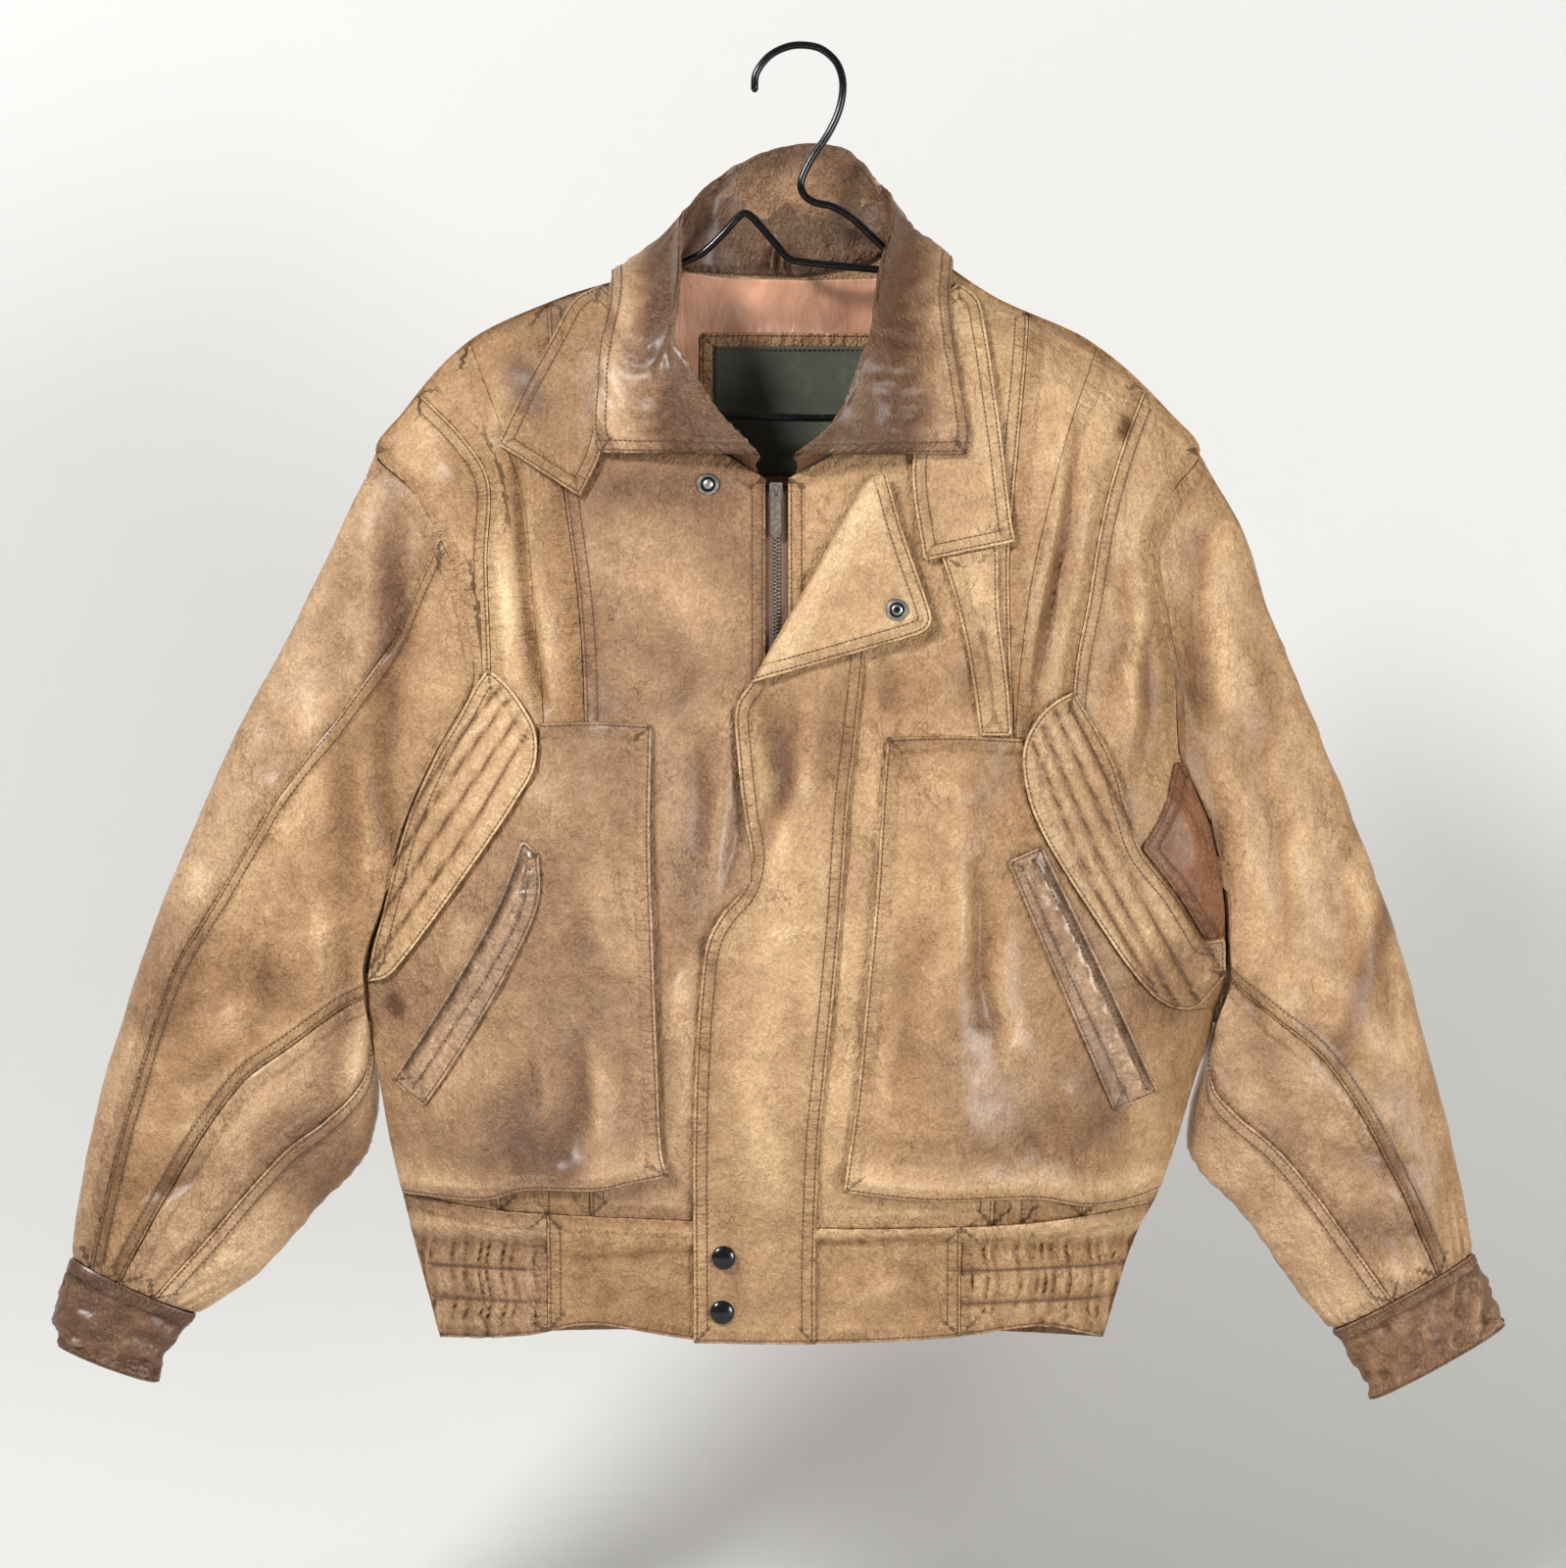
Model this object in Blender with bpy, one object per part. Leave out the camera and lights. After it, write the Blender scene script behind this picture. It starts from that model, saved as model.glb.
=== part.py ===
"""Worn leather blouson on a wire hanger.  Metres, +Z up, the front faces -Y, the origin is inside the
crown of the hanger's hook.  Lengths in the tables are millimetres.  Suffix _r is the wearer's right
(-X), _l the wearer's left (+X)."""

import math

import bmesh
import bpy
from mathutils import Vector
from mathutils.geometry import delaunay_2d_cdt, intersect_line_line_2d

NAME = "leather_jacket"
MM = 0.001
WALL = 2.4          # leather ply
GAP = 0.3           # clearance between neighbouring pieces
LAYER = WALL + GAP  # step from one ply to the ply sewn on it
LINING = 1.0        # satin lining and label plies
TAPE_WALL = 1.2     # zip tape
TAPE_SLACK = 0.3    # extra room behind the front for the tape's straight facets
WIRE = 2.5          # hanger wire radius
ROUGH = 0.55        # roughness of leather
SMOOTH = 0.35       # roughness of the zip's metal
TINY = 1e-9
MERGE = 1e-4        # points closer than this are one, in mm

# One row per section down the body.  z; front and back y at the wearer's right edge; x of that edge;
# front and back y at the middle; x, front y and back y at the wearer's left edge.
BODY_COLUMNS = ("z", "xr", "fr", "br", "fm", "bm", "xl", "fl", "bl")
BODY_ROWS = (
    (-112, -60, 2.3, 7.7, -6, 24, 50, 2.3, 7.7),
    (-135, -80, 2.3, 7.7, -10, 29, 87, 2.3, 7.7),
    (-160, -156, 2.3, 7.7, -22, 33, 125, 2.3, 7.7),
    (-187, -214, 2.3, 7.7, -32, 36, 184, 2.3, 7.7),
    (-235, -259, 2.3, 7.7, -44, 39, 238, 2.3, 7.7),
    (-259, -276, 2.3, 7.7, -48, 40, 257, 2.3, 7.7),
    (-285, -252, -14, 24, -51, 41, 239, -14, 24),
    (-320, -231, -21, 30, -55, 42, 223, -21, 30),
    (-360, -216, -25, 33, -58, 43, 229, -25, 33),
    (-405, -210, -26, 34, -61, 43, 238, -26, 34),
    (-450, -232, -26, 33, -64, 43, 240, -26, 33),
    (-500, -254, -24, 30, -67, 43, 260, -24, 30),
    (-550, -267, -20, 24, -69, 42, 270, -20, 24),
    (-596, -279.5, -15, 16, -70, 42, 272, -15, 16),
    (-628, -278, -9.7, -4.3, -71, 41, 264, -9.7, -4.3),
    (-665, -272, -9.7, -4.3, -71, 40, 252, -9.7, -4.3),
    (-705, -265, -9.7, -4.3, -69, 39, 240, -9.7, -4.3),
    (-738, -257, -9.7, -4.3, -63, 36, 228, -9.7, -4.3),
    (-762, -251, -9.7, -4.3, -56, 33, 215, -9.7, -4.3),
    (-830, -233, -9.7, -4.3, -50, 30, 193, -9.7, -4.3),
)
SHOULDER_ROW = 5     # row of the shoulder points
UNDERARM_ROW = 14    # row of the underarm points
FRONT_STOPS = (0, 0.07, 0.17, 0.28, 0.39, 0.5, 0.61, 0.72, 0.83, 0.93, 1)
BACK_STOPS = (0, 0.09, 0.26, 0.5, 0.74, 0.91, 1)
LENS = 0.30          # share of the width over which the front rounds off to the edge

# Soft folds of the front, one row per fold: ends, width across, and depth out (+) or in (-).
FOLD_COLUMNS = ("x0", "z0", "x1", "z1", "width", "out")
FOLDS = (
    (-185, -268, -166, -432, 22, 5),
    (-150, -300, -138, -431, 20, -4),
    (138, -250, 128, -420, 24, -5),
    (158, -300, 140, -440, 22, 5),
    (188, -330, 184, -430, 22, -4),
    (215, -360, 222, -470, 26, 5),
    (120, -560, 150, -700, 34, -6),
    (88, -520, 96, -690, 30, 5),
    (-170, -600, -140, -700, 30, -5),
    (-225, -690, -150, -715, 30, 6),
)

# Seams that run down the front, one row per seam: x and z at five stations from the shoulder ridge.
SEAM_COLUMNS = ("x0", "z0", "x1", "z1", "x2", "z2", "x3", "z3", "x4", "z4")
SEAMS = {
    "yoke_r": (-248, -221, -216, -254, -200, -280, -201, -333, -199, -401),
    "pleat_r": (-215, -188, -185, -268, -176, -303, -171, -360, -164, -434),
    "chest_r": (-165, -163, -157, -240, -150, -300, -142, -360, -138, -434),
    "chest_l": (146, -170, 137, -260, 131, -326, 131, -380, 132, -445),
    "pleat_l": (191, -190, 169, -250, 152, -313, 143, -356, 134, -445),
    "yoke_l": (221, -218, 206, -254, 193, -295, 181, -358, 171, -416),
}
SEAM_FOOT = {"yoke_r": -192, "pleat_r": -160, "chest_r": -134, "chest_l": 120, "pleat_l": 138,
             "yoke_l": 178}
EDGE_R = -23.5       # front edge of the right front beside the zip, top
EDGE_R_LOW = -24.5
EDGE_L = -9.5
EDGE_L_LOW = -12.5
NECK_FRONT = ((-94, -139.6), (-100, -165), (-98, -197), (-84, -230), (-56, -260), (-23.5, -281))
NECK_FRONT_L = ((66, -122), (71, -155), (67, -192), (57, -224), (33, -256), (-9.5, -281))
NECK_BACK = ((-94, -139.6), (-60, -144), (-14, -145), (34, -141), (66, -122))
BLOUSE_R = ((-258, -736), (-200, -744), (-156, -746), (-110, -748), (-24.5, -752))
BLOUSE_L = ((-12.5, -754), (40, -755), (95, -754), (150, -752), (224, -744))
HEM_R = ((-233, -830), (-200, -828), (-170, -824), (-135, -817), (-70, -826), (-24.5, -828))
HEM_L = ((-12.5, -829), (40, -828), (95, -825), (152, -820), (193, -830))
BAND_SEAM_R = -162
BAND_SEAM_L = 100
YOKE_BACK_Z = -300
YOKE_BACK_DROP = 14  # how far the back yoke's seam dips at the middle
WAIST_BACK_Z = -750
SEAM_REACH = 30      # how far a seam is carried up to find the shoulder ridge
CORNER_CLEAR = 0.5   # least x from a seam's end to a corner of the line it meets
STEP_CLEAR = 1       # the same down an edge
SHARPEST = 0.35      # keeps the inset of a sharp corner short

# Pieces laid on the front: outlines as rows of x, z.
LEAF_R = ((-200, -401), (-188, -411), (-178, -425), (-170, -441), (-169, -464), (-180, -483),
          (-213, -530), (-254, -583), (-266, -596), (-278.8, -601), (-275.2, -581), (-269, -558),
          (-261.1, -528), (-254, -503), (-244.8, -480), (-233, -455), (-221, -435), (-208, -411))
LEAF_L = ((171, -416), (159, -422), (147, -434), (138, -452), (141, -482), (151, -507), (189, -567),
          (211, -597), (226, -612), (240, -618), (252, -618), (261, -606), (271, -597), (270.4, -573),
          (256, -575), (237, -545), (214, -516), (205, -490), (197, -462), (185, -438))
GUSSET_L = ((214.5, -515), (229, -492), (238, -460), (243, -461), (251.6, -481), (259.6, -500),
            (269.6, -550), (270.6, -572), (257, -574), (237.5, -544))
PANEL_R = ((-165, -436), (-95, -437), (-96, -511), (-94, -572), (-91, -654), (-88, -708), (-84, -721),
           (-127, -730), (-176, -731), (-200, -738), (-257.2, -737), (-265, -705), (-272, -665),
           (-278, -628), (-278.6, -612), (-279, -601.8), (-265.6, -596.6), (-253.6, -583.6),
           (-212.6, -530.6), (-179.4, -483.4), (-168.4, -464.2), (-169.2, -441))
PANEL_L = ((138, -446), (53, -445), (50, -476), (46, -540), (40, -604), (34, -667), (25, -731),
           (75, -737), (148, -737), (182, -743), (207, -741), (229, -735), (240, -705), (252, -665),
           (264, -628), (262, -618.6), (252, -618.6), (239.8, -618.6), (225.6, -612.6),
           (210.5, -597.4), (188.4, -567.4), (150.4, -507.3), (140.4, -482.2), (137.4, -452))
WELT_R = ((-177, -509), (-166, -517), (-166, -548), (-187, -595), (-224, -656), (-241, -680),
          (-263, -663), (-222, -601), (-193, -548))
WELT_L = ((128, -523), (150, -513), (227, -671), (197, -682))
LOWER_R = ((-130, -152), (-146, -162), (-160, -188), (-178, -223), (-194, -259), (-141, -293),
           (-128, -266), (-118, -215), (-114, -170))
LOWER_L = ((100, -152), (112, -161), (117, -186), (122, -224), (127, -263), (133, -314), (135, -321),
           (76, -334), (69, -276), (78, -215), (82, -170))
STRAP = ((87, -332.6), (96, -359), (104, -393), (109, -426), (111, -444.2), (131.5, -444.2),
         (129, -409), (124, -367), (123.5, -324.4))
FLAP_MAIN = ((36, -281), (-33, -411), (-42, -425), (-40, -459), (-36, -495), (-32, -520), (-37, -539),
             (-51, -556), (-60, -573), (-65, -610), (-68, -660), (-69, -707), (-69, -828), (8, -829),
             (9, -760), (14, -662), (23, -569), (29, -482), (35, -430), (39.5, -380), (40, -290))
FLAP_TURN = ((36, -281), (-33, -411), (74, -379), (80, -370))
FLAP_HEM_CORNER = (-69, -828)
FOLD_GAP = 0.9       # between the turned corner and the flap under it
FOLD_STEPS = 3
FOLD_NEAR = 2e-3     # points this near the fold line lie on it

# Collar, one row per section round the neck: seam, roll and edge points.  Seam and edge keep a
# set distance from the front or the back of the body; on the ridge between them y is given.
COLLAR_COLUMNS = ("bx", "bz", "rx", "ry", "rz", "ex", "ez", "over")
COLLAR = (
    (-27, -276, -30, -66, -268, -128, -265, "front"),
    (-56, -255, -54, -70, -243, -133, -246, "front"),
    (-81, -227, -72, -68, -216, -132, -222, "front"),
    (-95, -196, -84, -58, -190, -129, -190, "front"),
    (-97, -165, -81, -40, -160, -124, -163, "front"),
    (-91, -137, -80, 0, -114, -124, -143, "ridge"),
    (-80, -139.5, -68, 13, -94, -112, -158, "back"),
    (-60, -141, -52, 22, -80, -92, -166, "back"),
    (-36, -142, -22, 27, -66, -46, -172, "back"),
    (-8, -142, 6, 28, -61, 0, -174, "back"),
    (18, -139, 30, 27, -66, 50, -170, "back"),
    (42, -133, 50, 22, -86, 84, -160, "back"),
    (56, -125.5, 58, 13, -94, 98, -148, "back"),
    (64, -119.5, 60, 0, -108, 98, -133, "ridge"),
    (67, -155, 50, -40, -156, 95, -166, "front"),
    (63, -191, 46, -58, -188, 98, -200, "front"),
    (54, -222, 37, -68, -214, 103, -232, "front"),
    (31, -252, 22, -70, -248, 106, -254, "front"),
    (-6, -276, -3, -66, -268, 103, -266, "front"),
)
COLLAR_OVER = LAYER + WALL / 2 + 3.2   # from the front to the middle of the fall
COLLAR_BEHIND = WALL / 2 + 4         # from the back to the middle of the fall
STAND_SHARE = 0.55   # of the way from the neck seam to the roll
FALL_SHARE = 0.45    # of the way from the roll to the edge
ROLL_TOP = 2.4       # the roll's crown over its point, and its start of the fall below and over it
ROLL_FALL = 6.4
ROLL_AFTER = 1.2

# Sleeves, one row per section from armhole to cuff: fold point, inner point, half depth, and the share
# of the front at which the main seam and the wedge seam cross.
SLEEVE_COLUMNS = ("ox", "oz", "ix", "iz", "y", "half", "main", "wedge", "outer", "follow")
SLEEVE_R = (
    (-276.5, -259.5, -278.6, -628, 0, 26, 0.9133, 0.965, 0.16, 1),
    (-305, -322, -275.2, -655, 2, 26, 0.84, 0.95, 0.15, 1),
    (-336, -385, -274.5, -682, 4, 27, 0.76, 0.92, 0.15, 0.7),
    (-366, -440, -279, -706, 5, 28, 0.68, 0.88, 0.15, 0.4),
    (-396, -508, -291, -726, 5, 28, 0.61, 0.84, 0.15, 0.2),
    (-422, -572, -309, -744, 4, 27, 0.55, 0.80, 0.15, 0),
    (-444, -640, -330, -768, 4, 25, 0.50, 0.76, 0.16, 0),
    (-461, -705, -352, -791, 3, 23, 0.46, 0.72, 0.17, 0),
    (-473, -779, -390, -817, 2, 19, 0.42, 0.68, 0.18, 0),
)
SLEEVE_L = (
    (257.5, -259.5, 264.6, -628, 0, 26, 0.87, 0.955, -0.10, 1),
    (285, -312, 259.5, -650, 2, 26, 0.80, 0.93, -0.10, 1),
    (306, -373, 250.5, -682, 4, 27, 0.71, 0.90, -0.10, 0.7),
    (334, -440, 248, -706, 5, 28, 0.62, 0.86, -0.10, 0.4),
    (360, -506, 256, -724, 5, 28, 0.54, 0.82, -0.10, 0.2),
    (385, -576, 276, -744, 4, 27, 0.46, 0.77, -0.10, 0),
    (404, -646, 296, -768, 4, 25, 0.39, 0.72, -0.10, 0),
    (421, -712, 314, -795, 3, 23, 0.33, 0.66, -0.10, 0),
    (434, -776, 341, -827, 2, 19, 0.28, 0.60, -0.10, 0),
)
SLEEVE_BACK_SEAM = -0.86
SLEEVE_CLEAR = 2.0   # from the body's edge to a sleeve hanging beside it, down to the next height
SLEEVE_CLEAR_BOTTOM = -700
ARM_GAP = GAP * 1.4  # from the body's edge to the sleeve's first ring
SEAM_PAD = GAP * 1.1  # from a sleeve seam's line to the cloth, over the section's width
STOP_CLEAR = 0.03    # least share of a section between a seam and the next facet line
NEAR_FOLD = 0.02     # share of a section that counts as its fold
CUFF_COLUMNS = ("ox", "oz", "ix", "iz", "y", "half")
CUFF_R = (
    (-472.7, -779.6, -390.9, -817.2, 2, 18),
    (-484, -818, -412, -846, 2, 18),
    (-479, -838, -417, -861, 2, 16),
)
CUFF_L = (
    (433.6, -776.7, 341.4, -827.5, 2, 18),
    (448, -809, 359, -854, 2, 18),
    (453, -825, 368, -872, 2, 16),
)
CUFF_SIDES = 18

# Zip slider and its pull.
ZIP_X = -17.0
PIVOT_Z = -288.4     # the pull turns about its crossbar, under the slider's bridge
PIVOT_Y = -1.25      # in front of the slider's face
BRIDGE_HALF = 2.9
BRIDGE_OUT = 3.4
BRIDGE_BAR = 0.9
BRIDGE_WIDE = 1.6
PULL_WALL = 1.2
BRIDGE_SUNK = 0.5    # how far the bridge's feet run into the slider
SLIDER_TOP = -284
SLIDER_NECK = -292
SLIDER_FOOT = -299
SLIDER_HALF = 4.2
SLIDER_FOOT_HALF = 2.2
SLIDER_DEPTH = 4.8
SLIDER_OUT = 2.2     # the slider's face in front of the leather
TAPE_TOP = -290
TAPE_FOOT = -822
TAPE_FIRST = -295    # facet lines of the tapes start below this
TAPES = (("r", -33, -17.15), ("l", -16.85, -1.5))
PULL = ((-2.6, -287.8), (2.6, -287.8), (2.6, -293), (3, -300), (3.2, -316), (1.8, -318.5),
        (-1.8, -318.5), (-3.2, -316), (-3, -300), (-2.6, -293))
PULL_EYE = ((-1.15, -289), (1.15, -289), (1.15, -293), (-1.15, -293))
CUTTER_OVER = 1      # how far the eye's cutter runs past the pull on each side

# Snaps, one row each: x, z, radius, height of the rim, height of the dome, plies that it stands over.
SNAP_COLUMNS = ("x", "z", "radius", "rim", "dome", "over")
SNAPS = {
    "snap_stud": (-60, -285, 7.1, 1.6, 2.6, GAP),
    "snap_socket": (59, -365, 7.1, 1.6, 2.2, 2 * LAYER + FOLD_GAP),
    "snap_cap_upper": (-50, -773, 7.5, 2.4, 3.6, LAYER + GAP),
    "snap_cap_lower": (-51, -808, 7.5, 2.4, 3.6, LAYER + GAP),
}
SNAP_SIDES = 14
SNAP_SEAT = 5        # reach over which the leather under a snap is felt
RIM_SHARE = (0.96, 0.7)
DOME_SHARE = 0.5

# Inside the neck: outlines of the lining, the bare label and its frame, and the hanging loop.
NECK_LINING = ((-78, -146), (-40, -150), (0, -151), (46, -150), (64, -148), (84, -200), (80, -300),
               (-80, -300), (-104, -200))
LABEL_FRAME = ((-67, -180), (55, -180), (55, -282), (-67, -282))
LABEL = ((-58, -189), (47, -189), (47, -273), (-58, -273))
LOOP = ((-21, -122), (-12, -122), (-12, -139), (-21, -139))
LOOP_AT = (-16, -142)
LOOP_OUT = 2.6
LOOP_WALL = 1.2

# Hanger wire, one row per bend: x, y, z.
WIRE_HOOK = (
    (-31, 0, -28), (-30, 0, -16), (-22, 0, -5), (-11, 0, 1), (0, 0, 2.5), (12, 0, 0), (22, 0, -9),
    (26, 0, -22), (24, 0, -38), (17, 0, -54), (5, 0, -72), (-1, 0, -86), (1, 0, -94), (8, 0, -99),
    (20, 0, -102), (33, 0, -110), (48, 1, -124), (62, 2, -136),
)
ARM_STEPS = 6
ARM_X_L = (80, 200)
ARM_X_R = (-108, -204)
ARM_SLACK = 0.35
ARM_TURNS = 12       # directions round the wire in which its room is felt
ARM_TRIES = 200
ARM_DROP = 0.25      # from one try to the next
ARM_REACH = 8        # how far along the arm its room is felt
ARM_SLOPE = {"r": -0.45, "l": 0.45}   # fall of the shoulder per unit of x
WIRE_END_L = ((210, 4, -222), (212, 3, -229), (206, 2, -235))
WIRE_BAR = ((30, 2, -238), (-60, 2, -236))
WIRE_END_R = ((-210, 2, -232), (-216, 3, -226), (-214, 4, -219))
WIRE_PEAK = (
    (-90, 4, -146), (-78, 3, -138), (-64, 2, -131), (-50, 0, -118), (-42, 0, -109), (-37, 0, -106),
    (-31, 0, -110), (-18, 0, -125), (-9, 0, -135), (4, 0, -138), (54, 0, -143),
)
WIRE_SIDES = 8
WIRE_ROUGH = 0.3

LEATHER_TAN = (0.42, 0.22, 0.085)
LEATHER_MID = (0.30, 0.145, 0.055)
LEATHER_DARK = (0.13, 0.052, 0.022)
LEATHER_RED = (0.30, 0.12, 0.05)
LEATHER_LIGHT = (0.50, 0.29, 0.12)
SATIN = (0.45, 0.17, 0.08)
OLIVE = (0.06, 0.065, 0.045)
TAPE = (0.13, 0.08, 0.06)
BLACK = (0.012, 0.012, 0.013)
METAL = (0.35, 0.34, 0.33)

for old in list(bpy.data.objects):
    bpy.data.objects.remove(old, do_unlink=True)
PARTS = bpy.data.collections.new(NAME)
bpy.context.scene.collection.children.link(PARTS)


def rows(columns, table):
    return [dict(zip(columns, row)) for row in table]


BODY = rows(BODY_COLUMNS, BODY_ROWS)


def lens(s):
    """0 at the edges, 1 across the middle, straight at first and then rounding off."""
    u = min(s, 1 - s) / LENS
    if u >= 1:
        return 1.0
    return u * (2 - u)


def fold_depth(x, z):
    total = 0.0
    for fold in rows(FOLD_COLUMNS, FOLDS):
        dx = fold["x1"] - fold["x0"]
        dz = fold["z1"] - fold["z0"]
        t = ((x - fold["x0"]) * dx + (z - fold["z0"]) * dz) / (dx * dx + dz * dz)
        t = max(0.0, min(1.0, t))
        away = math.hypot(x - fold["x0"] - t * dx, z - fold["z0"] - t * dz)
        total += fold["out"] * math.exp(-((away / fold["width"]) ** 2))
    return total


class Lattice:
    """One face of the body as rows of points; y anywhere is read from its flat facets."""

    def __init__(self, side, stops):
        self.nodes = []
        self.triangles = []
        self.front = side == "front"
        count = len(stops)
        for row in BODY:
            for s in stops:
                x = row["xr"] + s * (row["xl"] - row["xr"])
                bulge = lens(s)
                if self.front:
                    edge = row["fr"] + s * (row["fl"] - row["fr"])
                    y = edge + (row["fm"] - edge) * bulge
                    y -= fold_depth(x, row["z"]) * min(1.0, 2 * bulge)
                else:
                    edge = row["br"] + s * (row["bl"] - row["br"])
                    y = edge + (row["bm"] - edge) * bulge
                self.nodes.append((x, y, row["z"]))
        for j in range(len(BODY) - 1):
            for i in range(count - 1):
                a = j * count + i
                b = a + count
                if i < count // 2:
                    self.triangles += [(a, b, a + 1), (a + 1, b, b + 1)]
                else:
                    self.triangles += [(a, b, b + 1), (a, b + 1, a + 1)]

    def y(self, x, z):
        best = None
        for tri in self.triangles:
            a, b, c = (self.nodes[k] for k in tri)
            det = (b[0] - a[0]) * (c[2] - a[2]) - (c[0] - a[0]) * (b[2] - a[2])
            if abs(det) < TINY:
                continue
            u = ((x - a[0]) * (c[2] - a[2]) - (c[0] - a[0]) * (z - a[2])) / det
            v = ((b[0] - a[0]) * (z - a[2]) - (x - a[0]) * (b[2] - a[2])) / det
            worst = min(u, v, 1 - u - v)
            if best is None or worst > best[0]:
                best = (worst, a[1] + u * (b[1] - a[1]) + v * (c[1] - a[1]))
                if worst >= 0:
                    break
        return best[1]

    def edges(self):
        found = set()
        for a, b, c in self.triangles:
            for pair in ((a, b), (b, c), (c, a)):
                found.add(tuple(sorted(pair)))
        return sorted(found)


FRONT = Lattice("front", FRONT_STOPS)
BACK = Lattice("back", BACK_STOPS)


def area(poly):
    return 0.5 * sum(p[0] * q[1] - q[0] * p[1] for p, q in zip(poly, poly[1:] + poly[:1]))


def inset(poly, distance):
    """Move every side of a closed outline inwards."""
    poly = [Vector(p) for p in poly]
    if area(poly) < 0:
        poly.reverse()
    out = []
    count = len(poly)
    for k in range(count):
        before = (poly[k] - poly[k - 1]).normalized()
        after = (poly[(k + 1) % count] - poly[k]).normalized()
        n0 = Vector((-before.y, before.x))
        n1 = Vector((-after.y, after.x))
        scale = distance / max(SHARPEST, 1 + n0.dot(n1))
        out.append((poly[k].x + (n0.x + n1.x) * scale, poly[k].y + (n0.y + n1.y) * scale))
    return out


def cut_by_lattice(poly, lattice):
    """Triangles of an outline, cut along the lattice so that each lies on one flat facet."""
    verts = [Vector((n[0], n[2])) for n in lattice.nodes]
    start = len(verts)
    verts += [Vector(p) for p in poly]
    ring = list(range(start, len(verts)))
    out = delaunay_2d_cdt(verts, lattice.edges(), [ring], 0, MERGE)
    points, tris, owners = out[0], out[2], out[5]
    keep = [t for t, own in zip(tris, owners) if 0 in own]
    used = sorted({k for t in keep for k in t})
    index = {k: n for n, k in enumerate(used)}
    return [(points[k].x, points[k].y) for k in used], [[index[k] for k in t] for t in keep]


def material(name, colour, roughness=ROUGH, metallic=0.0):
    mat = bpy.data.materials.new(name)
    mat.use_nodes = True
    bsdf = mat.node_tree.nodes["Principled BSDF"]
    bsdf.inputs["Base Color"].default_value = (*colour, 1)
    bsdf.inputs["Roughness"].default_value = roughness
    bsdf.inputs["Metallic"].default_value = metallic
    return mat


def solid(name, bm, colour, roughness=ROUGH, metallic=0.0):
    """Close a shape in millimetres into a named object in metres."""
    bmesh.ops.remove_doubles(bm, verts=bm.verts, dist=MERGE)
    bmesh.ops.triangulate(bm, faces=bm.faces)
    bmesh.ops.recalc_face_normals(bm, faces=bm.faces)
    if bm.calc_volume(signed=True) < 0:
        bmesh.ops.reverse_faces(bm, faces=bm.faces)
    bmesh.ops.scale(bm, vec=(MM, MM, MM), verts=bm.verts)
    mesh = bpy.data.meshes.new(name)
    bm.to_mesh(mesh)
    bm.free()
    mesh.materials.append(material(name, colour, roughness, metallic))
    obj = bpy.data.objects.new(name, mesh)
    PARTS.objects.link(obj)
    return obj


def skin(bm, points, tris, lattice, offset):
    ys = [lattice.y(x, z) + offset for x, z in points]
    made = [bm.verts.new((p[0], y, p[1])) for p, y in zip(points, ys)]
    for t in tris:
        bm.faces.new([made[k] for k in t])
    return made


def rim_edges(tris):
    """Edges that belong to one triangle only."""
    pairs = [(a, b) for t in tris for a, b in zip(t, t[1:] + t[:1])]
    seen = set(pairs)
    return [(a, b) for a, b in pairs if (b, a) not in seen]


def laid(name, outline, lattice, near, colour, wall=WALL):
    """A flat-cut piece: its outline on the lattice, its outer face moved out by near (mm towards the
    outside of the garment), its wall inwards."""
    out = -1 if lattice.front else 1
    points, tris = cut_by_lattice(inset(outline, GAP / 2), lattice)
    bm = bmesh.new()
    outer = skin(bm, points, tris, lattice, out * near)
    inner = skin(bm, points, tris, lattice, out * (near - wall))
    for a, b in rim_edges(tris):
        bm.faces.new((outer[a], outer[b], inner[b], inner[a]))
    return solid(name, bm, colour)


def seam(name):
    row = SEAMS[name]
    line = [(row[k], row[k + 1]) for k in range(0, 10, 2)]
    foot = SEAM_FOOT[name]
    blouse = BLOUSE_R if name.endswith("_r") else BLOUSE_L
    line.append((foot, line_z(blouse, foot)))
    line[0] = on_ridge(line[0], line[1], name[-1])
    return line


def line_z(line, x):
    for p, q in zip(line, line[1:]):
        if min(p[0], q[0]) <= x <= max(p[0], q[0]):
            return p[1] + (q[1] - p[1]) * (x - p[0]) / (q[0] - p[0])
    return line[-1][1]


def line_x(line, z):
    for p, q in zip(line, line[1:]):
        if min(p[1], q[1]) <= z <= max(p[1], q[1]):
            return p[0] + (q[0] - p[0]) * (z - p[1]) / (q[1] - p[1])
    return line[-1][0]


def edge_line(side, first, last):
    key = "xr" if side == "r" else "xl"
    return [(row[key], row["z"]) for row in BODY[first:last + 1]]


def on_ridge(top, second, side):
    """Where a seam, carried up, meets the shoulder ridge."""
    ridge = edge_line(side, 1, SHOULDER_ROW)
    above = Vector(top) + (Vector(top) - Vector(second)).normalized() * SEAM_REACH
    for p, q in zip(ridge, ridge[1:]):
        hit = intersect_line_line_2d(Vector(second), above, Vector(p), Vector(q))
        if hit is not None:
            return (hit.x, hit.y)
    return top


def corners_between(line, x_from, x_to):
    """Corners of a line strictly between two x values, in order from the first to the second."""
    low, high = min(x_from, x_to), max(x_from, x_to)
    found = [p for p in line if low + CORNER_CLEAR < p[0] < high - CORNER_CLEAR]
    return sorted(found, key=lambda p: p[0], reverse=x_from > x_to)


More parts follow.
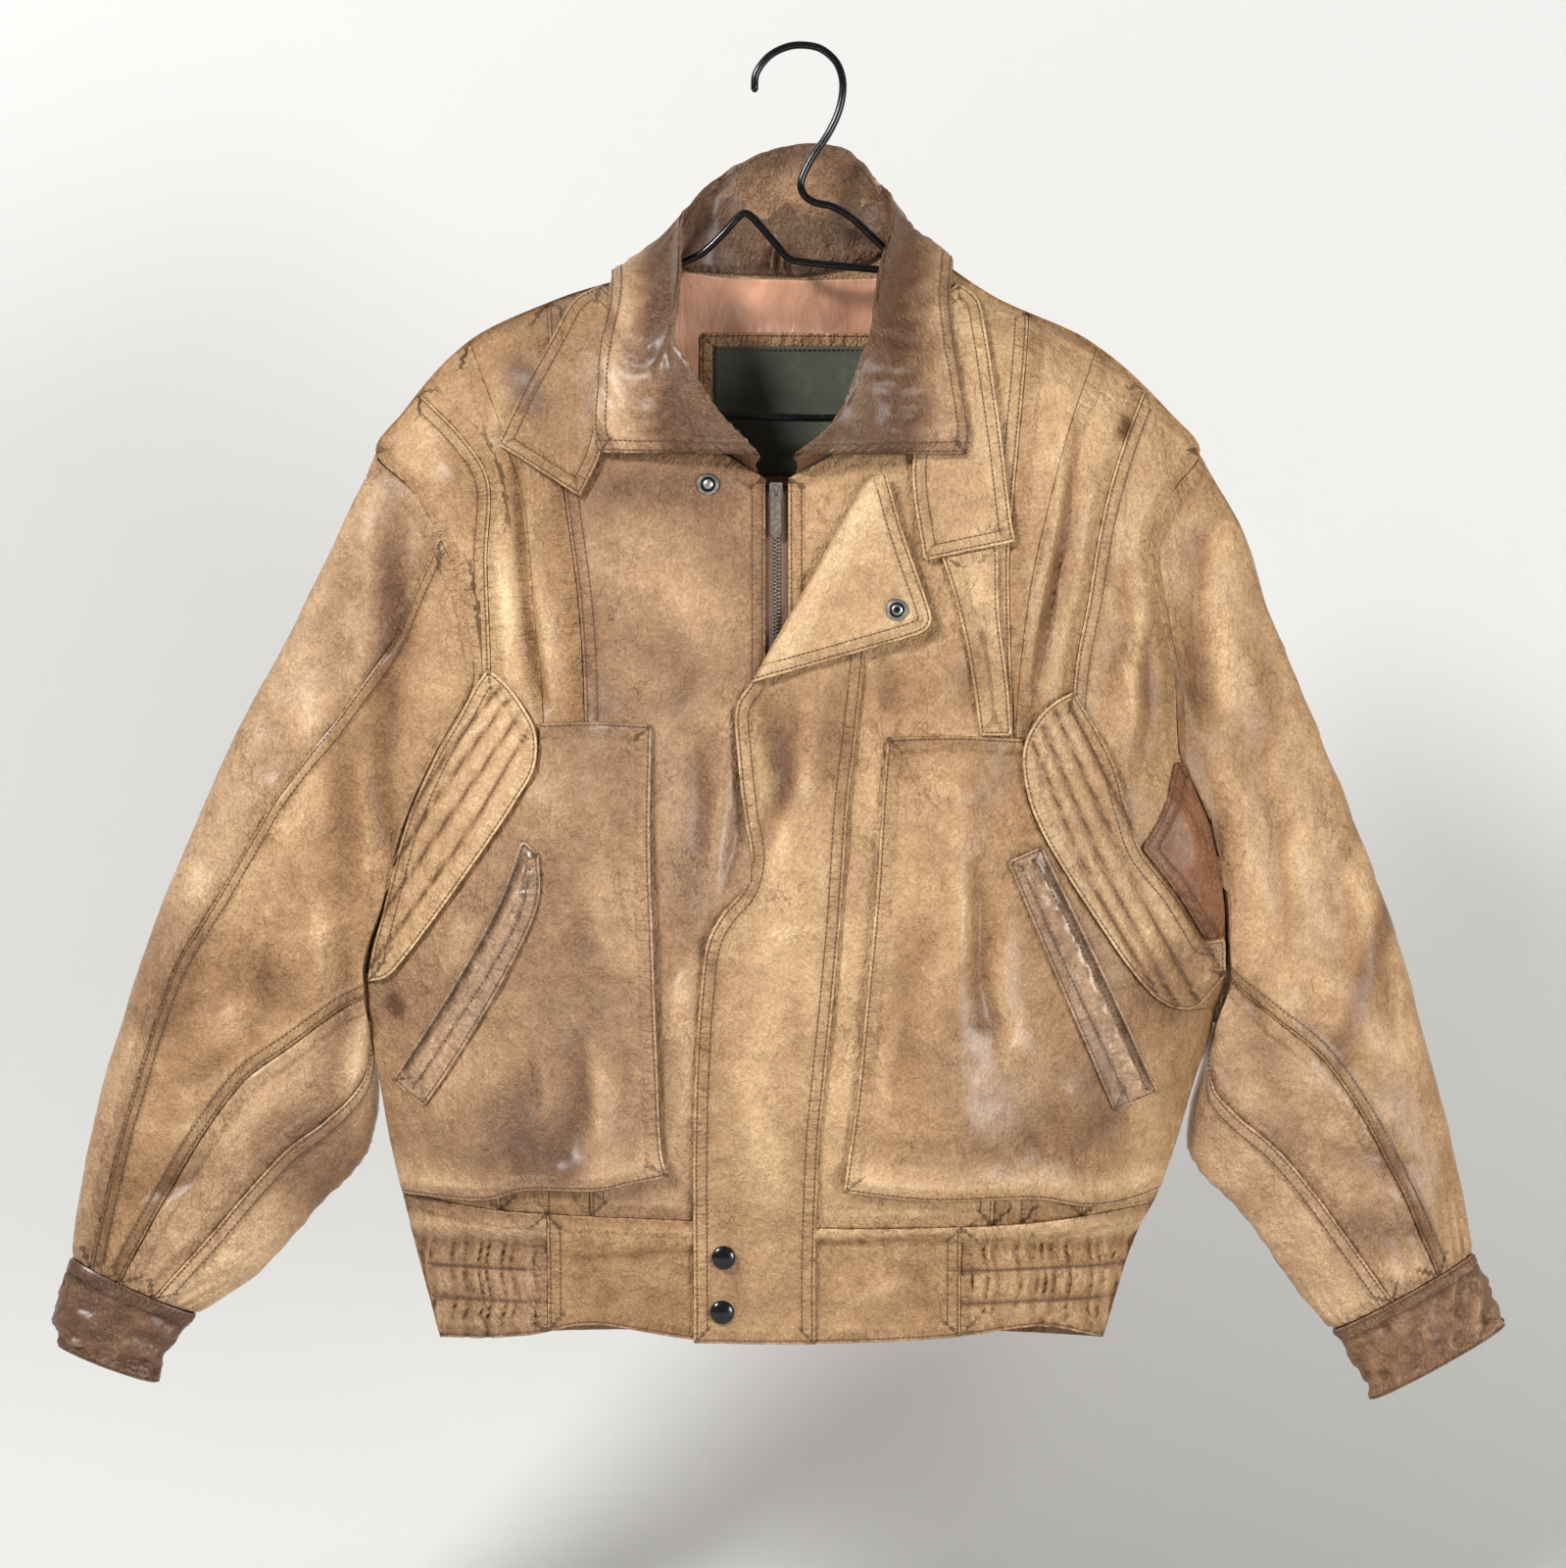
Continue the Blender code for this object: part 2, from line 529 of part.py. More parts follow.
def front_outline(side, inner, outer):
    """Between two seam lines, both listed downwards."""
    blouse = BLOUSE_R if side == "r" else BLOUSE_L
    foot = corners_between(blouse, outer[-1][0], inner[-1][0])
    top = corners_between(edge_line(side, 1, SHOULDER_ROW), inner[0][0], outer[0][0])
    return outer + foot + inner[::-1] + top


def build_front():
    for side in "rl":
        yoke, pleat, chest = (seam(f"{n}_{side}") for n in ("yoke", "pleat", "chest"))
        edge = edge_line(side, SHOULDER_ROW, len(BODY) - 1)
        blouse = BLOUSE_R if side == "r" else BLOUSE_L
        last_z = blouse[0][1] if side == "r" else blouse[-1][1]
        outer = [p for p in edge if p[1] > last_z + STEP_CLEAR]
        outer.append((line_x(edge, last_z), last_z))
        neck = NECK_FRONT if side == "r" else NECK_FRONT_L
        low = (EDGE_R_LOW, BLOUSE_R[-1][1]) if side == "r" else (EDGE_L_LOW, BLOUSE_L[0][1])
        centre = list(neck) + [low]
        tone = LEATHER_MID if side == "r" else LEATHER_TAN
        laid(f"front_centre_{side}", front_outline(side, centre, chest), FRONT, 0, tone)
        laid(f"front_pleat_{side}", front_outline(side, chest, pleat), FRONT, 0, LEATHER_TAN)
        laid(f"front_princess_{side}", front_outline(side, pleat, yoke), FRONT, 0, LEATHER_TAN)
        laid(f"front_side_{side}", front_outline(side, yoke, outer), FRONT, 0, tone)


def build_bands():
    for side in "rl":
        blouse = list(BLOUSE_R if side == "r" else BLOUSE_L)
        hem = list(HEM_R if side == "r" else HEM_L)
        split = BAND_SEAM_R if side == "r" else BAND_SEAM_L
        edge = edge_line(side, SHOULDER_ROW, len(BODY) - 1)
        top_z = blouse[0][1] if side == "r" else blouse[-1][1]
        outer = [(line_x(edge, top_z), top_z)] + [p for p in edge if p[1] < top_z - STEP_CLEAR]
        tops = [(split, line_z(blouse, split)), (split, line_z(hem, split))]
        side_x, mid_x = outer[0][0], blouse[-1 if side == "r" else 0][0]
        wide = outer + corners_between(hem, outer[-1][0], split) + tops[::-1]
        wide += corners_between(blouse, split, side_x)
        laid(f"band_side_{side}", wide, FRONT, 0, LEATHER_TAN)
        plain = tops + corners_between(hem, split, mid_x)
        plain += [(mid_x, line_z(hem, mid_x)), (mid_x, line_z(blouse, mid_x))]
        plain += corners_between(blouse, mid_x, split)
        laid(f"band_front_{side}", plain, FRONT, 0, LEATHER_TAN)


def build_back():
    right = edge_line("r", 1, len(BODY) - 1)
    left = edge_line("l", 1, len(BODY) - 1)
    waist = WAIST_BACK_Z
    neck = list(NECK_BACK)
    cut = [(line_x(right, YOKE_BACK_Z), YOKE_BACK_Z), (0, YOKE_BACK_Z - YOKE_BACK_DROP),
           (line_x(left, YOKE_BACK_Z), YOKE_BACK_Z)]
    yoke = [p for p in right[1:] if p[1] > YOKE_BACK_Z] + cut
    yoke += [p for p in left if p[1] > YOKE_BACK_Z][::-1] + neck[::-1]
    laid("back_yoke", yoke, BACK, 0, LEATHER_TAN)
    body = cut[::-1] + [p for p in right if waist + STEP_CLEAR < p[1] < YOKE_BACK_Z]
    body += [(line_x(right, waist), waist), (line_x(left, waist), waist)]
    body += [p for p in left if waist + STEP_CLEAR < p[1] < YOKE_BACK_Z][::-1]
    laid("back_body", body, BACK, 0, LEATHER_MID)
    band = [(line_x(right, waist), waist)] + [p for p in right if p[1] < waist]
    band += [p for p in left if p[1] < waist][::-1] + [(line_x(left, waist), waist)]
    laid("band_back", band, BACK, 0, LEATHER_TAN)


def build_laid():
    laid("leaf_r", LEAF_R, FRONT, LAYER, LEATHER_TAN)
    laid("leaf_l", LEAF_L, FRONT, LAYER, LEATHER_TAN)
    laid("gusset_l", GUSSET_L, FRONT, LAYER, LEATHER_RED)
    laid("pocket_panel_r", PANEL_R, FRONT, LAYER, LEATHER_MID)
    laid("pocket_panel_l", PANEL_L, FRONT, LAYER, LEATHER_TAN)
    laid("welt_r", WELT_R, FRONT, 2 * LAYER, LEATHER_DARK)
    laid("welt_l", WELT_L, FRONT, 2 * LAYER, LEATHER_DARK)
    laid("under_collar_r", LOWER_R, FRONT, LAYER, LEATHER_LIGHT)
    laid("under_collar_l", LOWER_L, FRONT, LAYER, LEATHER_LIGHT)
    laid("collar_strap", STRAP, FRONT, LAYER, LEATHER_LIGHT)


def build_storm_flap():
    """The flap lies over the zip; its top corner is turned back along a slanting fold."""
    near = LAYER
    under = 2 * LAYER + FOLD_GAP - GAP
    p0, p1 = Vector(FLAP_MAIN[0]), Vector(FLAP_MAIN[1])
    along = (p1 - p0).normalized()
    away = Vector((along.y, -along.x))
    if away.dot(Vector(FLAP_HEM_CORNER) - p0) > 0:
        away = -away

    def on_fold(p):
        return abs((Vector(p) - p0).dot(away)) < FOLD_NEAR

    bm = bmesh.new()
    rims = []
    for poly, top, bottom in ((FLAP_MAIN, near, near - WALL), (FLAP_TURN, under, under - WALL)):
        points, tris = cut_by_lattice(list(poly), FRONT)
        outer = skin(bm, points, tris, FRONT, -top)
        inner = skin(bm, points, tris, FRONT, -bottom)
        fold = []
        for a, b in rim_edges(tris):
            if on_fold(points[a]) and on_fold(points[b]):
                fold += [a, b]
                continue
            bm.faces.new((outer[a], outer[b], inner[b], inner[a]))
        order = sorted(set(fold), key=lambda k: (Vector(points[k]) - p0).dot(along))
        rims.append([(points[k], outer[k], inner[k]) for k in order])
    main, turn = rims
    pairs = min(len(main), len(turn))
    arcs = []
    for k in range(pairs):
        point, m_out, m_in = main[k]
        t_out, t_in = turn[k][1], turn[k][2]
        reach = (t_out.co.y - m_in.co.y) / 2
        middle = (t_out.co.y + m_in.co.y) / 2
        arc = [m_in]
        for n in range(1, FOLD_STEPS):
            angle = math.pi * n / FOLD_STEPS
            shift = away * abs(reach) * math.sin(angle)
            y = middle - reach * math.cos(angle)
            arc.append(bm.verts.new((point[0] + shift.x, y, point[1] + shift.y)))
        arc.append(t_out)
        arcs.append((arc, m_out, t_in))
    for (a, ao, ai), (b, bo, bi) in zip(arcs, arcs[1:]):
        for k in range(FOLD_STEPS):
            bm.faces.new((a[k], a[k + 1], b[k + 1], b[k]))
        bm.faces.new((ao, bo, bi, ai))
    for arc, m_out, t_in in (arcs[0], arcs[-1]):
        bm.faces.new(arc + [t_in, m_out])
    solid("storm_flap", bm, LEATHER_LIGHT)


def grid_solid(name, outer, inner, colour, closed=False):
    """A wall between two equal grids of points; closed joins the last column to the first."""
    bm = bmesh.new()
    grids = [[[bm.verts.new(p) for p in row] for row in grid] for grid in (outer, inner)]
    n_rows, n_cols = len(outer), len(outer[0])
    steps = n_cols if closed else n_cols - 1
    for grid in grids:
        for j in range(n_rows - 1):
            for i in range(steps):
                k = (i + 1) % n_cols
                bm.faces.new((grid[j][i], grid[j][k], grid[j + 1][k], grid[j + 1][i]))
    a, b = grids
    for j in (0, n_rows - 1):
        for i in range(steps):
            k = (i + 1) % n_cols
            bm.faces.new((a[j][i], a[j][k], b[j][k], b[j][i]))
    if not closed:
        for i in (0, n_cols - 1):
            for j in range(n_rows - 1):
                bm.faces.new((a[j][i], a[j + 1][i], b[j + 1][i], b[j][i]))
    return solid(name, bm, colour)


def arm_fractions():
    edge = edge_line("r", SHOULDER_ROW, UNDERARM_ROW)
    top, bottom = edge[0][1], edge[-1][1]
    return [(z - top) / (bottom - top) for _, z in edge]


ARM_V = arm_fractions()


def sleeve_point(row, q, first, side):
    """Point of a sleeve section.  q runs 0 at the outer fold to 1 at the inner fold over the front, and
    0 to -1 over the back; 1 to 2 carries on from the inner fold back up the back."""
    if q > 1:
        q = q - 2
    v = abs(q)
    sign = -1 if q >= 0 else 1
    theta = math.acos(max(-1.0, min(1.0, 1 - 2 * v)))
    x = row["ox"] + v * (row["ix"] - row["ox"])
    z = row["oz"] + v * (row["iz"] - row["oz"])
    y = row["y"] + sign * row["half"] * math.sin(theta)
    edge = edge_line(side, SHOULDER_ROW, UNDERARM_ROW)
    top, bottom = edge[0][1], edge[-1][1]
    at = top + v * (bottom - top)
    x += row["follow"] * (line_x(edge, at) - edge[0][0] - v * (edge[-1][0] - edge[0][0]))
    if not first and SLEEVE_CLEAR_BOTTOM < z < edge[0][1]:
        body_x = line_x(edge_line(side, SHOULDER_ROW, len(BODY) - 1), z)
        x = min(x, body_x - SLEEVE_CLEAR) if side == "r" else max(x, body_x + SLEEVE_CLEAR)
    if first:
        x = line_x(edge, at)
        lattice = FRONT if sign < 0 else BACK
        z = at
        y = lattice.y(x, z)
        if v < TINY or v > 1 - TINY:
            y = (FRONT.y(x, z) + BACK.y(x, z)) / 2
    return Vector((x, y, z))


def sleeve_panel(name, table, start, end, side, colour):
    """Between two seam positions, each a function of the section row."""
    ring = sorted({-v for v in ARM_V} | set(ARM_V) | {2 - v for v in ARM_V})
    lo_rows = [start(row) for row in table]
    hi_rows = [end(row) for row in table]
    inside = [q for q in ring if max(lo_rows) + STOP_CLEAR < q < min(hi_rows) - STOP_CLEAR]
    first = [q for q in ring if lo_rows[0] + STOP_CLEAR < q < hi_rows[0] - STOP_CLEAR]
    n_mid = max(len(inside), len(first), 1)
    outer, inner = [], []
    out_x = -1 if side == "r" else 1
    for j, row in enumerate(table):
        lo, hi = lo_rows[j], hi_rows[j]
        width = math.hypot(row["ix"] - row["ox"], row["iz"] - row["oz"])
        pad = SEAM_PAD / width
        if len(first) == n_mid:
            a0, a1 = lo_rows[0], hi_rows[0]
            shares = [(q - a0) / (a1 - a0) for q in first]
        else:
            shares = [(k + 1) / (n_mid + 1) for k in range(n_mid)]
        qs = [lo + pad] + [lo + (hi - lo) * s for s in shares] + [hi - pad]
        line_out, line_in = [], []
        for q in qs:
            p = sleeve_point(row, q, j == 0, side)
            here = q if q <= 1 else q - 2
            if j == 0:
                depth = 1 if here >= 0 else -1
                push = Vector((0, depth * WALL, 0))
                if abs(here) < NEAR_FOLD:
                    push = Vector((0, 0, -WALL))
                if abs(here) > 1 - NEAR_FOLD:
                    push = Vector((0, 0, WALL))
                p = p + Vector((out_x * ARM_GAP, 0, 0))
            else:
                before = sleeve_point(row, q - NEAR_FOLD, False, side)
                after = sleeve_point(row, q + NEAR_FOLD, False, side)
                up = sleeve_point(table[j - 1], q, j == 1, side)
                tangent = after - before
                normal = tangent.cross(p - up).normalized()
                centre = Vector(((row["ox"] + row["ix"]) / 2, row["y"], (row["oz"] + row["iz"]) / 2))
                if normal.dot(centre - p) < 0:
                    normal = -normal
                push = normal * WALL
            line_out.append(p)
            line_in.append(p + push)
        outer.append(line_out)
        inner.append(line_in)
    grid_solid(name, outer, inner, colour)


def build_sleeves():
    for side, table in (("r", rows(SLEEVE_COLUMNS, SLEEVE_R)), ("l", rows(SLEEVE_COLUMNS, SLEEVE_L))):
        sleeve_panel(f"sleeve_back_{side}", table, lambda r: SLEEVE_BACK_SEAM, lambda r: r["outer"],
                     side, LEATHER_MID)
        sleeve_panel(f"sleeve_main_{side}", table, lambda r: r["outer"], lambda r: r["main"], side,
                     LEATHER_TAN)
        sleeve_panel(f"sleeve_wedge_{side}", table, lambda r: r["main"], lambda r: r["wedge"], side,
                     LEATHER_TAN)
        sleeve_panel(f"sleeve_under_{side}", table, lambda r: r["wedge"],
                     lambda r: 2 + SLEEVE_BACK_SEAM, side, LEATHER_TAN)
    for side, table in (("r", rows(CUFF_COLUMNS, CUFF_R)), ("l", rows(CUFF_COLUMNS, CUFF_L))):
        outer, inner = [], []
        for row in table:
            centre = Vector(((row["ox"] + row["ix"]) / 2, row["y"], (row["oz"] + row["iz"]) / 2))
            reach = Vector(((row["ox"] - row["ix"]) / 2, 0, (row["oz"] - row["iz"]) / 2))
            half = row["half"]
            ring_out, ring_in = [], []
            for k in range(CUFF_SIDES):
                angle = 2 * math.pi * k / CUFF_SIDES
                c, s = math.cos(angle), math.sin(angle)
                ring_out.append(centre + reach * c + Vector((0, half * s, 0)))
                shrink = (reach.length - WALL) / reach.length
                ring_in.append(centre + reach * c * shrink + Vector((0, (half - WALL) * s, 0)))
            outer.append(ring_out)
            inner.append(ring_in)
        grid_solid(f"cuff_{side}", outer, inner, LEATHER_DARK, closed=True)


def collar_section(row):
    """Stand, roll and fall of one section, from the neck seam to the edge."""
    b = Vector((row["bx"], 5, row["bz"]))
    r = Vector((row["rx"], row["ry"], row["rz"]))
    e = Vector((row["ex"], 5, row["ez"]))
    if row["over"] == "front":
        b.y = FRONT.y(b.x, b.z) + WALL / 2
        e.y = FRONT.y(e.x, e.z) - COLLAR_OVER
    if row["over"] == "back":
        b.y = BACK.y(b.x, b.z) - WALL / 2
        e.y = BACK.y(e.x, e.z) + COLLAR_BEHIND
    stand = b.lerp(r, STAND_SHARE)
    turn = (r - b).normalized()
    fall = (e - r).normalized()
    crown = (turn - fall).normalized()
    top = r + crown * ROLL_TOP
    after = r + fall * ROLL_FALL + crown * ROLL_AFTER
    return [b, stand, top, after, after.lerp(e, FALL_SHARE), e]


def build_collar():
    sections = [collar_section(row) for row in rows(COLLAR_COLUMNS, COLLAR)]
    count = len(sections)
    outer, inner = [], []
    for j, line in enumerate(sections):
        before = sections[max(0, j - 1)]
        after = sections[min(count - 1, j + 1)]
        out, inn = [], []
        for i, p in enumerate(line):
            along = after[i] - before[i]
            across = line[min(i + 1, len(line) - 1)] - line[max(0, i - 1)]
            normal = along.cross(across).normalized()
            out.append(p + normal * WALL / 2)
            inn.append(p - normal * WALL / 2)
        outer.append(out)
        inner.append(inn)
    grid_solid("collar", outer, inner, LEATHER_MID)


def tube(name, points, radius, colour):
    """A round wire swept through its bends."""
    bm = bmesh.new()
    points = [Vector(p) for p in points]
    rings = []
    normal = Vector((0, 1, 0))
    for k, p in enumerate(points):
        before = (p - points[max(0, k - 1)]).normalized() if k else Vector()
        after = (points[min(len(points) - 1, k + 1)] - p).normalized()
        tangent = (before + after).normalized()
        normal = (normal - tangent * normal.dot(tangent)).normalized()
        other = tangent.cross(normal)
        ring = []
        for n in range(WIRE_SIDES):
            angle = 2 * math.pi * n / WIRE_SIDES
            ring.append(bm.verts.new(p + normal * radius * math.cos(angle)
                                     + other * radius * math.sin(angle)))
        rings.append(ring)
    for a, b in zip(rings, rings[1:]):
        for n in range(WIRE_SIDES):
            m = (n + 1) % WIRE_SIDES
            bm.faces.new((a[n], a[m], b[m], b[n]))
    bm.faces.new(rings[0])
    bm.faces.new(rings[-1])
    return solid(name, bm, colour, WIRE_ROUGH)


def arm_point(side, x):
    """The wire under the shoulder, as high as the two plies over it allow."""
    ridge = edge_line(side, 0, SHOULDER_ROW)
    reach = WIRE + GAP + ARM_SLACK
    turns = [2 * math.pi * n / ARM_TURNS for n in range(ARM_TURNS)]
    for step in range(ARM_TRIES):
        z = line_z(ridge, x) - reach - ARM_DROP * step
        y = (FRONT.y(x, z) + BACK.y(x, z)) / 2
        free = True
        for angle in turns:
            for side_step in (-ARM_REACH, 0, ARM_REACH):
                at = (x + side_step, z + reach * math.sin(angle) - side_step * ARM_SLOPE[side])
                there = y + reach * math.cos(angle)
                free = free and FRONT.y(*at) + WALL < there < BACK.y(*at) - WALL
        if free:
            break
    return (x, y, z)


def build_hanger():
    path = list(WIRE_HOOK)
    for n in range(ARM_STEPS):
        path.append(arm_point("l", ARM_X_L[0] + (ARM_X_L[1] - ARM_X_L[0]) * n / (ARM_STEPS - 1)))
    path += list(WIRE_END_L) + list(WIRE_BAR) + list(WIRE_END_R)
    for n in range(ARM_STEPS):
        path.append(arm_point("r", ARM_X_R[1] + (ARM_X_R[0] - ARM_X_R[1]) * n / (ARM_STEPS - 1)))
    path += list(WIRE_PEAK)
    tube("hanger", path, WIRE, BLACK)


def join(target, other, operation="UNION"):
    """Boolean of two objects, the second one used up."""
    step = target.modifiers.new("Join", "BOOLEAN")
    step.operation = operation
    step.solver = "EXACT"
    step.object = other
    bpy.context.view_layer.update()
    graph = bpy.context.evaluated_depsgraph_get()
    mesh = bpy.data.meshes.new_from_object(target.evaluated_get(graph))
    target.modifiers.clear()
    target.data = mesh
    bpy.data.objects.remove(other, do_unlink=True)


def plate(name, outline, y_front, thickness, colour, roughness=ROUGH, metallic=0.0):
    bm = bmesh.new()
    front = [bm.verts.new((x, y_front, z)) for x, z in outline]
    back = [bm.verts.new((x, y_front + thickness, z)) for x, z in outline]
    bm.faces.new(front)
    bm.faces.new(back[::-1])
    for k in range(len(outline)):
        m = (k + 1) % len(outline)
        bm.faces.new((front[k], front[m], back[m], back[k]))
    return solid(name, bm, colour, roughness, metallic)


def disc(name, snap, colour, metallic):
    """A round snap part standing on the leather, its axis along Y."""
    x, z, radius = snap["x"], snap["z"], snap["radius"]
    seat = min(FRONT.y(x + dx, z + dz) for dx in (-SNAP_SEAT, 0, SNAP_SEAT)
               for dz in (-SNAP_SEAT, 0, SNAP_SEAT)) - snap["over"]
    profile = [(radius, 0), (radius * RIM_SHARE[0], snap["rim"] * RIM_SHARE[1]),
               (radius * DOME_SHARE, snap["dome"])]
    bm = bmesh.new()
    turns = [2 * math.pi * n / SNAP_SIDES for n in range(SNAP_SIDES)]
    rings = [[bm.verts.new((x + r * math.cos(turn), seat - h, z + r * math.sin(turn))) for turn in turns]
             for r, h in profile]
    for a, b in zip(rings, rings[1:]):
        for n in range(SNAP_SIDES):
            m = (n + 1) % SNAP_SIDES
            bm.faces.new((a[n], a[m], b[m], b[n]))
    bm.faces.new(rings[0])
    bm.faces.new(rings[-1])
    return solid(name, bm, colour, WIRE_ROUGH, metallic)


def across_zip(outline):
    return [(ZIP_X + x, z) for x, z in outline]


def build_tapes():
    levels = [TAPE_TOP] + [row["z"] for row in BODY if TAPE_FOOT < row["z"] < TAPE_FIRST] + [TAPE_FOOT]
    for side, x0, x1 in TAPES:
        face = [[Vector((x, FRONT.y(x, z) + LAYER + TAPE_SLACK, z)) for x in (x0, x1)] for z in levels]
        back = [[p + Vector((0, TAPE_WALL, 0)) for p in pair] for pair in face]
        grid_solid(f"zip_tape_{side}", face, back, TAPE)


def build_slider(face):
    """The slider's body with the bridge that holds the pull."""
    half = [(SLIDER_HALF, SLIDER_TOP), (SLIDER_HALF, SLIDER_NECK), (SLIDER_FOOT_HALF, SLIDER_FOOT)]
    outline = [(-SLIDER_HALF, SLIDER_TOP)] + half + [(-x, z) for x, z in half[:0:-1]]
    body = plate("zip_slider", across_zip(outline), face, SLIDER_DEPTH, METAL, SMOOTH, 1.0)
    top, foot = PIVOT_Z + BRIDGE_HALF, PIVOT_Z - BRIDGE_HALF
    inner = BRIDGE_BAR - BRIDGE_OUT
    bridge = [(BRIDGE_SUNK, top), (-BRIDGE_OUT, top), (-BRIDGE_OUT, foot), (BRIDGE_SUNK, foot),
              (BRIDGE_SUNK, foot + BRIDGE_BAR), (inner, foot + BRIDGE_BAR), (inner, top - BRIDGE_BAR),
              (BRIDGE_SUNK, top - BRIDGE_BAR)]
    bm = bmesh.new()
    ends = [[bm.verts.new((x, face + y, z)) for y, z in bridge]
            for x in (ZIP_X - BRIDGE_WIDE / 2, ZIP_X + BRIDGE_WIDE / 2)]
    bm.faces.new(ends[0])
    bm.faces.new(ends[1][::-1])
    for k in range(len(bridge)):
        m = (k + 1) % len(bridge)
        bm.faces.new((ends[0][k], ends[0][m], ends[1][m], ends[1][k]))
    join(body, solid("zip_bridge", bm, METAL, SMOOTH, 1.0))


def build_pull(face):
    front = face + PIVOT_Y - PULL_WALL / 2
    body = plate("zip_pull", across_zip(PULL), front, PULL_WALL, METAL, SMOOTH, 1.0)
    cutter = plate("zip_pull_eye", across_zip(PULL_EYE), front - CUTTER_OVER, PULL_WALL + 2 * CUTTER_OVER,
                   METAL)
    join(body, cutter, "DIFFERENCE")


def build_zip():
    build_tapes()
    face = FRONT.y(ZIP_X, SLIDER_FOOT) - SLIDER_OUT
    build_slider(face)
    build_pull(face)


def build_snaps():
    for name, row in SNAPS.items():
        snap = dict(zip(SNAP_COLUMNS, row))
        cap = name.startswith("snap_cap")
        disc(name, snap, BLACK if cap else METAL, 0.6 if cap else 1.0)


def build_inside():
    step = LINING + GAP
    laid("neck_lining", NECK_LINING, BACK, -LAYER, SATIN, LINING)
    laid("label_frame", LABEL_FRAME, BACK, -LAYER - step, LEATHER_TAN, LINING)
    laid("label", LABEL, BACK, -LAYER - 2 * step, OLIVE, LINING)
    y = BACK.y(*LOOP_AT) - WALL - LOOP_OUT
    plate("locker_loop", LOOP, y, LOOP_WALL, LEATHER_DARK)


build_front()
build_bands()
build_back()
build_laid()
build_storm_flap()
build_sleeves()
build_collar()
build_zip()
build_snaps()
build_inside()
build_hanger()
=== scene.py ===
"""Worn leather blouson on a wire hanger: the finished cloth, thread, metal and stage over the model's frame.

Lengths in the tables are millimetres: x to the wearer's left, y to the back, z up, from the crown of the
hanger's hook.  Suffix _r is the wearer's right, _l the wearer's left."""

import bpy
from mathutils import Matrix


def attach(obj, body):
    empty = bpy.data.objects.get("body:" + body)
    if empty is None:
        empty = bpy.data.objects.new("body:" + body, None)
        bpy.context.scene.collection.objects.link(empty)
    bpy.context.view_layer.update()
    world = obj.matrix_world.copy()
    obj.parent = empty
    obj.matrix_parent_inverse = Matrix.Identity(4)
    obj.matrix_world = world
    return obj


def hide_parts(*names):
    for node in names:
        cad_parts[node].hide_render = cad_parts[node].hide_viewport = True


bl_info = {
    "name": "Leather blouson",
    "version": (1, 0, 0),
    "blender": (4, 5, 0),
    "location": "3D View > Sidebar > Blouson",
    "description": "Sews the leather blouson over its frame and sets the stage",
    "category": "Object",
}

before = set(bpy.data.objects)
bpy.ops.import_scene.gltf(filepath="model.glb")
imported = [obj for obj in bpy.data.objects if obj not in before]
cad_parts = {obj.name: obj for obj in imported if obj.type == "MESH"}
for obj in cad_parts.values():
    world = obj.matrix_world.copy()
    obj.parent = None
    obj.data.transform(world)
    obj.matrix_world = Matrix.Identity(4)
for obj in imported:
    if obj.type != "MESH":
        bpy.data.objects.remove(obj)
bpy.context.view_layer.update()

import math

import bmesh
import bpy
import numpy as np
from mathutils import Vector
from mathutils.geometry import delaunay_2d_cdt

MM = 0.001

# ---------------------------------------------------------------- the body's form

# One row per section down the body: z; x, front y and back y at the wearer's right edge; front and back y
# at the middle; x, front y and back y at the wearer's left edge.
BODY_COLUMNS = ("z", "xr", "fr", "br", "fm", "bm", "xl", "fl", "bl")
BODY_ROWS = (
    (-112, -60, 2.3, 7.7, -6, 24, 50, 2.3, 7.7),
    (-135, -80, 2.3, 7.7, -10, 29, 87, 2.3, 7.7),
    (-160, -156, 2.3, 7.7, -22, 33, 125, 2.3, 7.7),
    (-187, -214, 2.3, 7.7, -32, 36, 184, 2.3, 7.7),
    (-235, -259, 2.3, 7.7, -44, 39, 238, 2.3, 7.7),
    (-259, -276, 2.3, 7.7, -48, 40, 257, 2.3, 7.7),
    (-285, -252, -14, 24, -51, 41, 239, -14, 24),
    (-320, -231, -21, 30, -55, 42, 223, -21, 30),
    (-360, -216, -25, 33, -58, 43, 229, -25, 33),
    (-405, -210, -26, 34, -61, 43, 238, -26, 34),
    (-450, -232, -26, 33, -64, 43, 240, -26, 33),
    (-500, -254, -24, 30, -67, 43, 260, -24, 30),
    (-550, -267, -20, 24, -69, 42, 270, -20, 24),
    (-596, -279.5, -15, 16, -70, 42, 272, -15, 16),
    (-628, -278, -9.7, -4.3, -71, 41, 264, -9.7, -4.3),
    (-665, -272, -9.7, -4.3, -71, 40, 252, -9.7, -4.3),
    (-705, -265, -9.7, -4.3, -69, 39, 240, -9.7, -4.3),
    (-738, -257, -9.7, -4.3, -63, 36, 228, -9.7, -4.3),
    (-762, -251, -9.7, -4.3, -56, 33, 215, -9.7, -4.3),
    (-830, -233, -9.7, -4.3, -50, 30, 193, -9.7, -4.3),
)
SHOULDER_Z = -259
UNDERARM_Z = -628
LENS = 0.30          # share of the width over which the body rounds off to its edge
RIM = 9.0            # reach of the rounding at the shoulder ridge and the side folds
RIDGE_Y = 5.0
SIDE_Y = -7.0
SIDE_TOP = -450      # height at which the middle of the rim moves from the ridge to the side fold
BODY_TOP = -112
BODY_FOOT = -832
CREASE_DEPTH = 2.0   # how deep the creases of the tables are drawn

